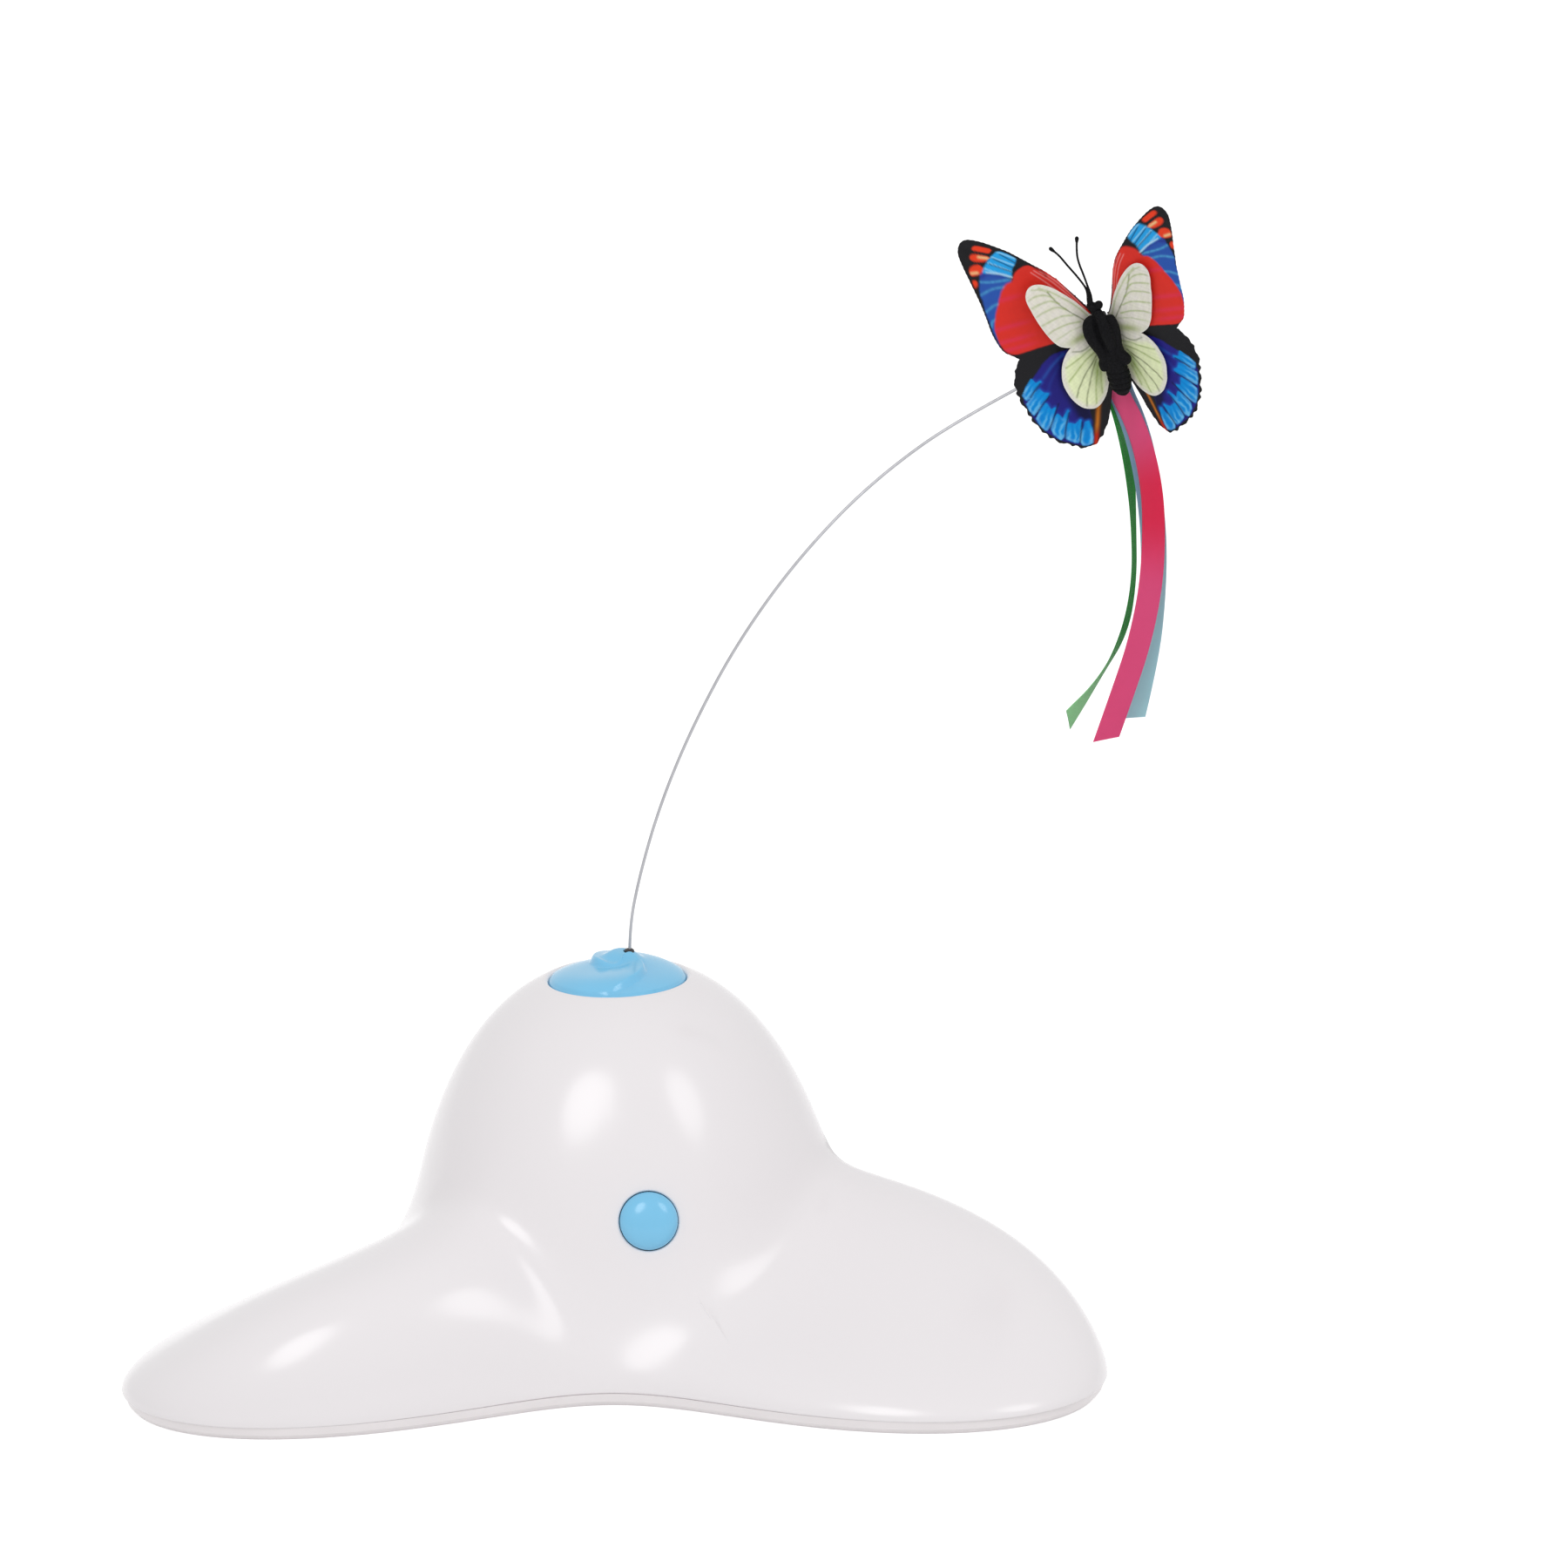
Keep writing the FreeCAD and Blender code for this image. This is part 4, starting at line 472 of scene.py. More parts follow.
@dataclass(frozen=True)
class Finish:
    """A procedural material: a colour with small changes, a gloss and a fine structure."""

    name: str
    colour: Triple
    roughness: float = 0.4
    metallic: float = 0.0
    grain: Grain = Grain.MOULDED
    scale: float = 400.0
    depth: float = 0.02
    mottle: float = 0.04
    sheen: float = 0.0
    second: Triple | None = None
    see_through: float = 0.0
    specular: float = 0.5

    def make(self) -> bpy.types.Material:
        """Build the node material.

        Returns:
            The material, ready to assign.
        """
        material = bpy.data.materials.new(self.name)
        material.use_nodes = True
        kit = NodeKit(material.node_tree)
        shader = kit.shader
        shader.inputs["Metallic"].default_value = self.metallic
        shader.inputs["Specular IOR Level"].default_value = self.specular
        shader.inputs["Sheen Weight"].default_value = self.sheen
        shader.inputs["Sheen Roughness"].default_value = SHEEN_ROUGHNESS
        place = kit.coordinates("UV" if self.grain is Grain.SATIN else "Object")
        coarse = kit.noise(kit.coordinates("Object"), self.scale * CLOUD_SCALE, CLOUD_DETAIL)
        base = linear(*self.colour)
        low = base * (1.0 - self.mottle)
        high = np.minimum(base * (1.0 + self.mottle), 1.0)
        if self.grain is Grain.PAINTED:
            tint = kit.attribute("paint")
            fine = kit.noise(place, self.scale)
            fibre = kit.stretched_noise(place, (self.scale * FIBRE_PULL, self.scale,
                                                self.scale * FIBRE_PULL))
            colour = kit.shade(tint, fibre, 1.0 - self.mottle, 1.0 + self.mottle)
            height = kit.add(fine, fibre)
        elif self.grain is Grain.SATIN:
            across = kit.threads(place, "X")
            height = kit.add(across, kit.threads(place, "Y"))
            tint = kit.ramp(coarse, low, high)
            if self.second is not None:
                tint = kit.mix_by(kit.attribute("paint"), tint, linear(*self.second))
            colour = kit.shade(tint, across, 1.0 - THREAD_SHADE, 1.0 + THREAD_SHADE)
        elif self.grain is Grain.FOAM:
            height = kit.cells(place, self.scale)
            colour = kit.ramp(height, low, high)
        elif self.grain is Grain.DRAWN:
            height = kit.stretched_noise(place, (self.scale, self.scale, self.scale * DRAWN_PULL))
            colour = kit.ramp(height, low, high)
        elif self.grain is Grain.TURNED:
            height = kit.rings(place, self.scale)
            colour = kit.ramp(coarse, low, high)
        else:
            height = kit.noise(place, self.scale)
            colour = kit.ramp(coarse, low, high)
        kit.link(colour, shader.inputs["Base Color"])
        gloss = kit.spread(coarse, self.roughness * (1.0 - GLOSS_SWING),
                           min(self.roughness * (1.0 + GLOSS_SWING), 1.0))
        kit.link(gloss, shader.inputs["Roughness"])
        kit.link(kit.bump(height, self.depth), shader.inputs["Normal"])
        if self.see_through:
            kit.translucent(colour, self.see_through)
        return material


class NodeKit:
    """Short ways to add and join shader nodes."""

    def __init__(self, tree: bpy.types.NodeTree) -> None:
        """Take over a fresh material's node tree."""
        self.tree = tree
        self.shader = tree.nodes["Principled BSDF"]
        self.output = tree.nodes["Material Output"]

    def node(self, kind: str, **settings: object) -> bpy.types.Node:
        """Add a node and set its properties."""
        node = self.tree.nodes.new(kind)
        for key, value in settings.items():
            setattr(node, key, value)
        return node

    def link(self, source: Socket, target: Socket) -> None:
        """Join an output to an input."""
        self.tree.links.new(source, target)

    def coordinates(self, kind: str) -> Socket:
        """Object coordinates, or the piece's UV map."""
        if kind == "UV":
            return self.node("ShaderNodeUVMap", uv_map="weave").outputs["UV"]
        return self.node("ShaderNodeTexCoord").outputs["Object"]

    def attribute(self, name: str) -> Socket:
        """The colour that each point of the piece carries."""
        return self.node("ShaderNodeAttribute", attribute_name=name).outputs["Color"]

    def at(self, kind: str, place: Socket, output: str, inputs: dict[str, object],
           **settings: object) -> Socket:
        """Add a node that looks up a place.

        Args:
            kind: The node's type.
            place: The coordinates.
            output: Which of its outputs is wanted.
            inputs: Constants of its inputs.
            settings: Its properties.

        Returns:
            The output.
        """
        node = self.node(kind, **settings)
        for name, value in inputs.items():
            node.inputs[name].default_value = value
        self.link(place, node.inputs["Vector"])
        return node.outputs[output]

    def noise(self, place: Socket, scale: float,
              detail: float = 2.0) -> Socket:
        """A cloudy field of a given fineness."""
        return self.at("ShaderNodeTexNoise", place, "Fac", {"Scale": scale, "Detail": detail})

    def stretched_noise(self, place: Socket,
                        scales: Triple) -> Socket:
        """A cloudy field pulled out along the axis with the smallest scale."""
        return self.noise(self.at("ShaderNodeMapping", place, "Vector", {"Scale": scales}), 1.0)

    def cells(self, place: Socket, scale: float) -> Socket:
        """Distance to the nearest of many scattered points, as in open foam."""
        return self.at("ShaderNodeTexVoronoi", place, "Distance", {"Scale": scale})

    def rings(self, place: Socket, scale: float) -> Socket:
        """Fine turning marks about the z axis."""
        return self.at("ShaderNodeTexWave", place, "Fac", {"Scale": scale}, wave_type="RINGS",
                       rings_direction="Z")

    def threads(self, place: Socket, way: str) -> Socket:
        """Fine threads along one axis of the weave; the UV map counts in threads."""
        return self.at("ShaderNodeTexWave", place, "Fac", {"Scale": 1.0, "Distortion": 0.4},
                       wave_type="BANDS", bands_direction=way)

    def add(self, a: Socket, b: Socket) -> Socket:
        """The sum of two fields."""
        node = self.node("ShaderNodeMath", operation="ADD")
        self.link(a, node.inputs[0])
        self.link(b, node.inputs[1])
        return node.outputs[0]

    def ramp(self, field: Socket, low: Array,
             high: Array) -> Socket:
        """A colour that runs from low to high with a field."""
        node = self.node("ShaderNodeValToRGB")
        for stop, place, colour in zip(node.color_ramp.elements, RAMP_STOPS, (low, high)):
            stop.position = place
            stop.color = (*colour, 1.0)
        self.link(field, node.inputs["Fac"])
        return node.outputs["Color"]

    def spread(self, field: Socket, low: float, high: float) -> Socket:
        """A field brought to a range."""
        node = self.node("ShaderNodeMapRange")
        node.inputs["To Min"].default_value = low
        node.inputs["To Max"].default_value = high
        self.link(field, node.inputs["Value"])
        return node.outputs["Result"]

    def shade(self, colour: Socket, field: Socket, low: float,
              high: float) -> Socket:
        """A colour made a little darker or lighter by a field."""
        node = self.node("ShaderNodeHueSaturation")
        self.link(colour, node.inputs["Color"])
        self.link(self.spread(field, low, high), node.inputs["Value"])
        return node.outputs["Color"]

    def mix_by(self, amount: Socket, colour: Socket,
               other: Array) -> Socket:
        """A colour passing into another by an amount."""
        node = self.node("ShaderNodeMix", data_type="RGBA")
        split = self.node("ShaderNodeSeparateColor")
        self.link(amount, split.inputs["Color"])
        self.link(split.outputs["Red"], node.inputs["Factor"])
        self.link(colour, node.inputs["A"])
        node.inputs["B"].default_value = (*other, 1.0)
        return node.outputs["Result"]

    def bump(self, height: Socket, depth: float) -> Socket:
        """A bumped normal, its depth in millimetres."""
        node = self.node("ShaderNodeBump")
        node.inputs["Strength"].default_value = 1.0
        node.inputs["Distance"].default_value = depth * MM
        self.link(height, node.inputs["Height"])
        return node.outputs["Normal"]

    def translucent(self, colour: Socket, share: float) -> None:
        """Let a share of the light through thin film or ribbon."""
        glow = self.node("ShaderNodeBsdfTranslucent")
        self.link(colour, glow.inputs["Color"])
        mix = self.node("ShaderNodeMixShader")
        mix.inputs["Fac"].default_value = share
        self.link(self.shader.outputs["BSDF"], mix.inputs[1])
        self.link(glow.outputs["BSDF"], mix.inputs[2])
        self.link(mix.outputs["Shader"], self.output.inputs["Surface"])


FINISHES = {
    "shell_white": Finish("gloss_white_shell", (236, 232, 234), 0.2, scale=90, depth=0.004,
                          mottle=0.008),
    "cover_white": Finish("satin_white_cover", (238, 233, 234), 0.32, scale=600, depth=0.006,
                          mottle=0.015),
    "sky_blue": Finish("sky_blue_plastic", (122, 196, 234), 0.17, scale=700, depth=0.004,
                       mottle=0.02),
    "pad_grey": Finish("pad_rubber", (66, 66, 70), 0.75, grain=Grain.FOAM, scale=1500, depth=0.05,
                       mottle=0.15),
    "screw_steel": Finish("plated_steel", (196, 198, 202), 0.28, 1.0, Grain.TURNED, 900, 0.004,
                          0.05),
    "wire_steel": Finish("drawn_wire", (172, 172, 176), 0.4, 1.0, Grain.DRAWN, 900, 0.001, 0.05),
    "gear_acetal": Finish("ivory_gear_plastic", (226, 222, 208), 0.38, scale=900, depth=0.006),
    "gearbox_grey": Finish("grey_gearbox_plastic", (118, 122, 128), 0.5, scale=800, depth=0.012),
    "bush_brass": Finish("turned_brass", (214, 176, 96), 0.26, 1.0, Grain.TURNED, 1100, 0.004,
                         0.06),
    "magnet_dark": Finish("sintered_magnet", (64, 63, 66), 0.6, 0.5, scale=1400, depth=0.02,
                          mottle=0.2),
    "cap_black": Finish("black_moulded_plastic", (34, 34, 37), 0.42, scale=900, depth=0.01,
                        mottle=0.1),
    "board_green": Finish("circuit_board_green", (34, 96, 58), 0.4, scale=500, depth=0.02,
                          mottle=0.25),
    "cell_label": Finish("dark_cell_sleeve", (58, 66, 78), 0.3, 0.3, Grain.TURNED, 300, 0.004,
                         0.08),
    "lead_red": Finish("red_insulation", (196, 36, 32), 0.45, scale=1200, depth=0.01, mottle=0.08),
    "lead_black": Finish("black_insulation", (36, 36, 38), 0.45, scale=1200, depth=0.01,
                         mottle=0.12),
    "body_black": Finish("black_foam", (18, 18, 20), 0.6, grain=Grain.FOAM, scale=2600,
                         depth=0.05, mottle=0.3, specular=0.06),
    "outer_film": Finish("printed_wing_film", (220, 60, 50), 0.42, grain=Grain.PAINTED,
                         scale=1800, depth=0.02, mottle=0.05, see_through=0.08, specular=0.12),
    "inner_film": Finish("cream_wing_film", (228, 228, 212), 0.5, grain=Grain.PAINTED,
                         scale=900, depth=0.07, mottle=0.05, see_through=0.12, specular=0.25),
    "pink_satin": Finish("pink_satin", (255, 92, 146), 0.42, grain=Grain.SATIN, scale=300,
                         depth=0.03, mottle=0.03, sheen=0.05, second=(254, 44, 84),
                         see_through=0.12, specular=0.15),
    "blue_satin": Finish("pale_blue_satin", (188, 238, 248), 0.42, grain=Grain.SATIN, scale=300,
                         depth=0.03, mottle=0.03, sheen=0.1, second=(130, 164, 200),
                         see_through=0.12, specular=0.25),
    "green_satin": Finish("green_satin", (14, 146, 44), 0.5, grain=Grain.SATIN, scale=300,
                          depth=0.03, mottle=0.03, second=(178, 244, 182),
                          see_through=0.12, specular=0.08),
}


class Wardrobe:
    """Makes each finish once and hands it out by the record's slot name."""

    def __init__(self) -> None:
        """Start with no material made."""
        self.made: dict[str, bpy.types.Material] = {}

    def get(self, slot: str) -> bpy.types.Material:
        """The material of a slot, made when it is first asked for."""
        if slot not in self.made:
            self.made[slot] = FINISHES[slot].make()
        return self.made[slot]

    def dress(self, piece: bpy.types.Object, slot: str, body: str, *nodes: str) -> None:
        """Finish a new piece and tie it to its body.

        Args:
            piece: The new piece.
            slot: The record's material slot.
            body: The body that it rides on.
            nodes: The solids that it stands for.
        """
        piece.data.materials.append(self.get(slot))
        if body:
            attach(piece, body)
        if nodes:
            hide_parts(*nodes)

    def dress_solids(self) -> None:
        """Give every carried over solid the finish that its slot names."""
        slots = {row["node"]: row["material_slot"] for row in frame["record"]["subparts"]}
        for name, solid in frame["nodes"].items():
            material = self.get(slots[name])
            for place in solid.material_slots:
                place.material = material
            if not solid.material_slots:
                solid.data.materials.append(material)
        log.info("%d solids finished", len(slots))


# Base

@dataclass
class BaseForm:
    """The base's outer surface: a dome blended into three swirled lobes."""

    tip_radius: float = 118.0
    valley_radius: float = 55.1
    lobe_fullness: float = 3.8
    lobe_angle: float = -35.3
    dome_height: float = 81.1
    dome_radius: float = 48.7
    dome_shoulder: float = 2.45
    dome_side: float = 2.05
    foot_slope: float = 4.2
    valley_height: float = 7.2
    ridge_near: float = 33.3
    ridge_middle: float = 30.8
    ridge_far: float = 32.5
    ridge_station: float = 60.0
    ridge_lead: float = 21.1
    ridge_twist: float = 2.4
    steep_flank: float = 54.5
    flank_spread: float = 30.0
    blend_width: float = 14.4
    edge_roundness: float = 7.5
    edge_drop: float = 1.55
    seam_level: float = 3.0
    lobe_calm: float = 20.0
    lobe_fade: Pair = (15.0, 32.0)
    sector: float = 120.0
    flank_range: Pair = (10.0, 100.0)
    plan_step: float = 0.02
    turn_step: float = 0.01

    def __post_init__(self) -> None:
        """Find the share of the dome's radius where its side reaches the foot slope."""
        share = np.linspace(0.05, 0.9999, 20001)
        fall = -np.gradient(self.core(share), share * self.dome_radius)
        self.foot_share = float(share[np.argmax(fall >= self.foot_slope)])

    def core(self, share: Array) -> Array:
        """The dome's core, a superellipse of its radius share."""
        return self.dome_height * (1 - share ** self.dome_shoulder) ** (1 / self.dome_side)

    def outline(self, angle: Array) -> Array:
        """Edge radius at an angle: a mean, a three lobe cosine and its double."""
        wave = np.radians(3 * (angle - self.lobe_angle))
        mean = (self.tip_radius + self.valley_radius) / 2 - self.lobe_fullness
        swing = (self.tip_radius - self.valley_radius) / 2
        return mean + swing * np.cos(wave) + self.lobe_fullness * np.cos(2 * wave)

    def dome(self, radius: Array) -> Array:
        """Height of the dome: the core, then a foot that dies away as an exponential."""
        share = radius / self.dome_radius
        foot = float(self.core(np.array(self.foot_share)))
        beyond = radius - self.foot_share * self.dome_radius
        flare = foot * np.exp(-self.foot_slope * np.maximum(beyond, 0) / foot)
        return np.where(share < self.foot_share, self.core(np.minimum(share, self.foot_share)),
                        flare)

    def lobe(self, angle: Array, radius: Array) -> Array:
        """Height of the lobes: a cosine ridge with unequal flanks over a low valley."""
        out = (radius - self.ridge_station) / self.ridge_station
        crest = (self.ridge_near * (1 - out) * (1 - 2 * out)
                 + 4 * self.ridge_middle * out * (1 - out) + self.ridge_far * out * (2 * out - 1))
        past = np.mod(angle - self.lobe_angle - self.ridge_lead - self.ridge_twist * out,
                      self.sector)
        steep = np.clip(self.steep_flank + self.flank_spread * out, *self.flank_range)
        share = np.where(past < steep, past / steep,
                         (self.sector - past) / (self.sector - steep))
        rise = (1 + np.cos(math.pi * share)) / 2
        return self.valley_height + (crest - self.valley_height) * rise

    def level(self, x: Array, y: Array, seam: float | None = None) -> Array:
        """Height of the base over a place.

        Near the axis the lobes fade to one level, so that the rim is even. Dome and lobes are
        joined by (a + b + sqrt((a - b)^2 + w^2)) / 2 and multiplied above the seam by
        (1 - (radius / edge)^7.5)^(1 / 1.55).

        Args:
            x: Places along x.
            y: Places along y.
            seam: The level that the edge ends at.

        Returns:
            The height at each place.
        """
        seam = self.seam_level if seam is None else seam
        radius, angle = np.hypot(x, y), np.degrees(np.arctan2(y, x))
        dome = self.dome(radius)
        lobe = self.lobe_calm + (self.lobe(angle, radius) - self.lobe_calm) * smooth(
            *self.lobe_fade, radius)
        blended = (dome + lobe + np.hypot(dome - lobe, self.blend_width)) / 2
        share = np.minimum(radius / self.outline(angle), 1)
        drop = np.maximum(1 - share ** self.edge_roundness, 0) ** (1 / self.edge_drop)
        return seam + (blended - seam) * drop

    def normal(self, x: Array, y: Array) -> Points:
        """Unit normal over a place, from differences of the height."""
        step = self.plan_step
        edge = self.outline(np.degrees(np.arctan2(y, x)))
        keep = np.minimum(1, (edge - 2 * step) / np.maximum(np.hypot(x, y), TINY))
        x, y = x * keep, y * keep
        slope_x = (self.level(x + step, y) - self.level(x - step, y)) / (2 * step)
        slope_y = (self.level(x, y + step) - self.level(x, y - step)) / (2 * step)
        return unit(np.stack([-slope_x, -slope_y, np.ones_like(x)], axis=-1))

    def outward(self, angle: Array) -> Points:
        """Unit normal of the outline in plan."""
        spots = []
        for at in (angle - self.turn_step, angle + self.turn_step):
            way = np.stack([np.cos(np.radians(at)), np.sin(np.radians(at))], axis=-1)
            spots.append(self.outline(at)[..., None] * way)
        run = spots[1] - spots[0]
        return unit(np.stack([run[..., 1], -run[..., 0], np.zeros(run.shape[:-1])], axis=-1))


FORM = BaseForm()
BUTTON = Frame(np.array([4.7, -43.690, 37.5]), turn_about(0, 75.0))
BUTTON_RADIUS = 6.2
BUTTON_GAP = 0.18
RIM_RADIUS = 15.4
RIM_ROUND = 0.7


@dataclass
class TopShell:
    """The glossy white top of the base, as a walled shell."""

    wall: float = 2.4
    columns: int = 400
    stations: int = 106
    seam_round: float = 0.4
    hole_round: float = 0.5
    hole_rings: int = 9
    window: Pair = (10.5, 10.0)
    window_depth: float = 12.0
    trial_stations: int = 1500
    edge_crowding: float = 2.2
    hole_crowding: float = 1.3
    search: float = 14.0
    halvings: int = 44

    def surface(self, share: Array, angle: Array) -> Rows:
        """Rings of the outer surface, at shares of the way from the rim to the edge."""
        first = RIM_RADIUS + RIM_ROUND
        reach = 1 - (1 - share[:, None]) ** self.edge_crowding
        radius = first + (FORM.outline(angle) - first) * reach
        x, y = radius * np.cos(np.radians(angle)), radius * np.sin(np.radians(angle))
        return np.stack([x, y, FORM.level(x, y, FORM.seam_level + self.seam_round)], axis=-1)

    def outer(self) -> tuple[Rows, Rows]:
        """The outer surface and its normals, rim first, its stations spaced evenly by length.

        Returns:
            Points and unit normals, stations by columns by 3.
        """
        middle = math.degrees(math.atan2(BUTTON.origin[1], BUTTON.origin[0]))
        angle = middle - 180 + np.arange(self.columns) * 360 / self.columns
        trial = np.linspace(0, 1, self.trial_stations)
        steps = np.linalg.norm(np.diff(self.surface(trial, angle), axis=0), axis=-1).mean(axis=1)
        far = np.r_[0, np.cumsum(steps)]
        share = np.interp(np.linspace(0, far[-1], self.stations), far, trial)
        rows = self.surface(share, angle)
        normal = FORM.normal(rows[..., 0], rows[..., 1])
        normal[-1] = FORM.outward(angle)
        return rows, normal

    @staticmethod
    def rolled(edge: Points, normal: Points, across: Points, size: float, wall: float) -> Rows:
        """Rows that roll an edge over by a quarter circle and then run down the wall.

        row(a) = edge + across * size * sin a - normal * size * (1 - cos a)

        Args:
            edge: The edge on the surface.
            normal: The surface's normals there.
            across: Unit vectors towards the opening.
            size: Radius of the roll.
            wall: Depth of the last row.

        Returns:
            The rows after the edge.
        """
        a = np.radians([18, 36, 54, 72, 90])[:, None, None]
        roll = edge + across * size * np.sin(a) - normal * size * (1 - np.cos(a))
        return np.concatenate([roll, (edge + across * size - normal * wall)[None]])

    def on_wall(self, spots: Points) -> Points:
        """Spots of the button's plane pushed along its axis on to the surface, by halving."""
        low, high = np.full(len(spots), -self.search), np.full(len(spots), self.search)
        for _ in range(self.halvings):
            middle = (low + high) / 2
            p = BUTTON.place(np.c_[spots, middle])
            above = p[:, 2] > FORM.level(p[:, 0], p[:, 1], FORM.seam_level + self.seam_round)
            low, high = np.where(above, low, middle), np.where(above, middle, high)
        return BUTTON.place(np.c_[spots, (low + high) / 2])

    def build(self, wardrobe: Wardrobe) -> None:
        """Make the shell: outer skin, seam, inner skin, rim and the hole for the button."""
        outer, normal = self.outer()
        inner = outer - normal * self.wall
        down = np.broadcast_to(np.array([0.0, 0.0, -1.0]), outer[-1].shape)
        seam = self.rolled(outer[-1], normal[-1], down, self.seam_round, self.wall)
        to_axis = unit(-outer[0] * np.array([1.0, 1.0, 0.0]))
        rim = self.rolled(outer[0], normal[0], to_axis, RIM_ROUND, self.wall)
        rows = np.concatenate([outer, seam, inner[::-1], rim[::-1]])
        build = Build("top_shell_skin")
        index = build.table(rows)

        spot = BUTTON.local(outer)
        near = ((np.abs(spot[..., 0]) < self.window[0]) & (np.abs(spot[..., 1]) < self.window[1])
                & (spot[..., 2] > -self.window_depth))
        used_rows, used_columns = np.where(near.any(axis=1))[0], np.where(near.any(axis=0))[0]
        top, bottom = used_rows[0], used_rows[-1]
        left, right = used_columns[0], used_columns[-1]
        loop = ([(top, c) for c in range(left, right)] + [(r, right) for r in range(top, bottom)]
                + [(bottom, c) for c in range(right, left, -1)]
                + [(r, left) for r in range(bottom, top, -1)])
        last = self.stations - 1
        inner_first = self.stations + len(seam) + last
        keep = np.ones(index.shape, bool)
        keep[top:bottom, left:right] = False
        keep[inner_first - bottom:inner_first - top, left:right] = False
        build.quads(np.vstack([index, index[:1]]), keep=keep)

        outside = np.array([index[r, c] for r, c in loop])
        within = np.array([index[inner_first - r, c] for r, c in loop])
        rim_spots = BUTTON.local(rows.reshape(-1, 3)[outside])[:, :2]
        way = unit(rim_spots)
        hole = BUTTON_RADIUS + BUTTON_GAP + self.hole_round
        shares = np.linspace(1, 0, self.hole_rings + 1)[1:, None, None] ** self.hole_crowding
        spots = way * hole + (rim_spots - way * hole) * shares
        patch = self.on_wall(spots.reshape(-1, 2)).reshape(self.hole_rings, -1, 3)
        edge = patch[-1]
        edge_normal = FORM.normal(edge[:, 0], edge[:, 1])
        across = BUTTON.place(np.c_[-way, np.zeros(len(way))]) - BUTTON.origin
        across = unit(across - edge_normal * (across * edge_normal).sum(axis=1, keepdims=True))
        roll = self.rolled(edge, edge_normal, across, self.hole_round, self.wall)
        wall_row = BUTTON.local(roll[-2])
        wall_row[:, 2] -= self.wall
        roll[-1] = BUTTON.place(wall_row)
        ring = build.table(np.concatenate([patch, roll]))
        build.quads(np.vstack([outside, ring, within]))
        piece = build.object(sharp=60)
        wardrobe.dress(piece, "shell_white", "base", "top_shell")


# Turntable and push button

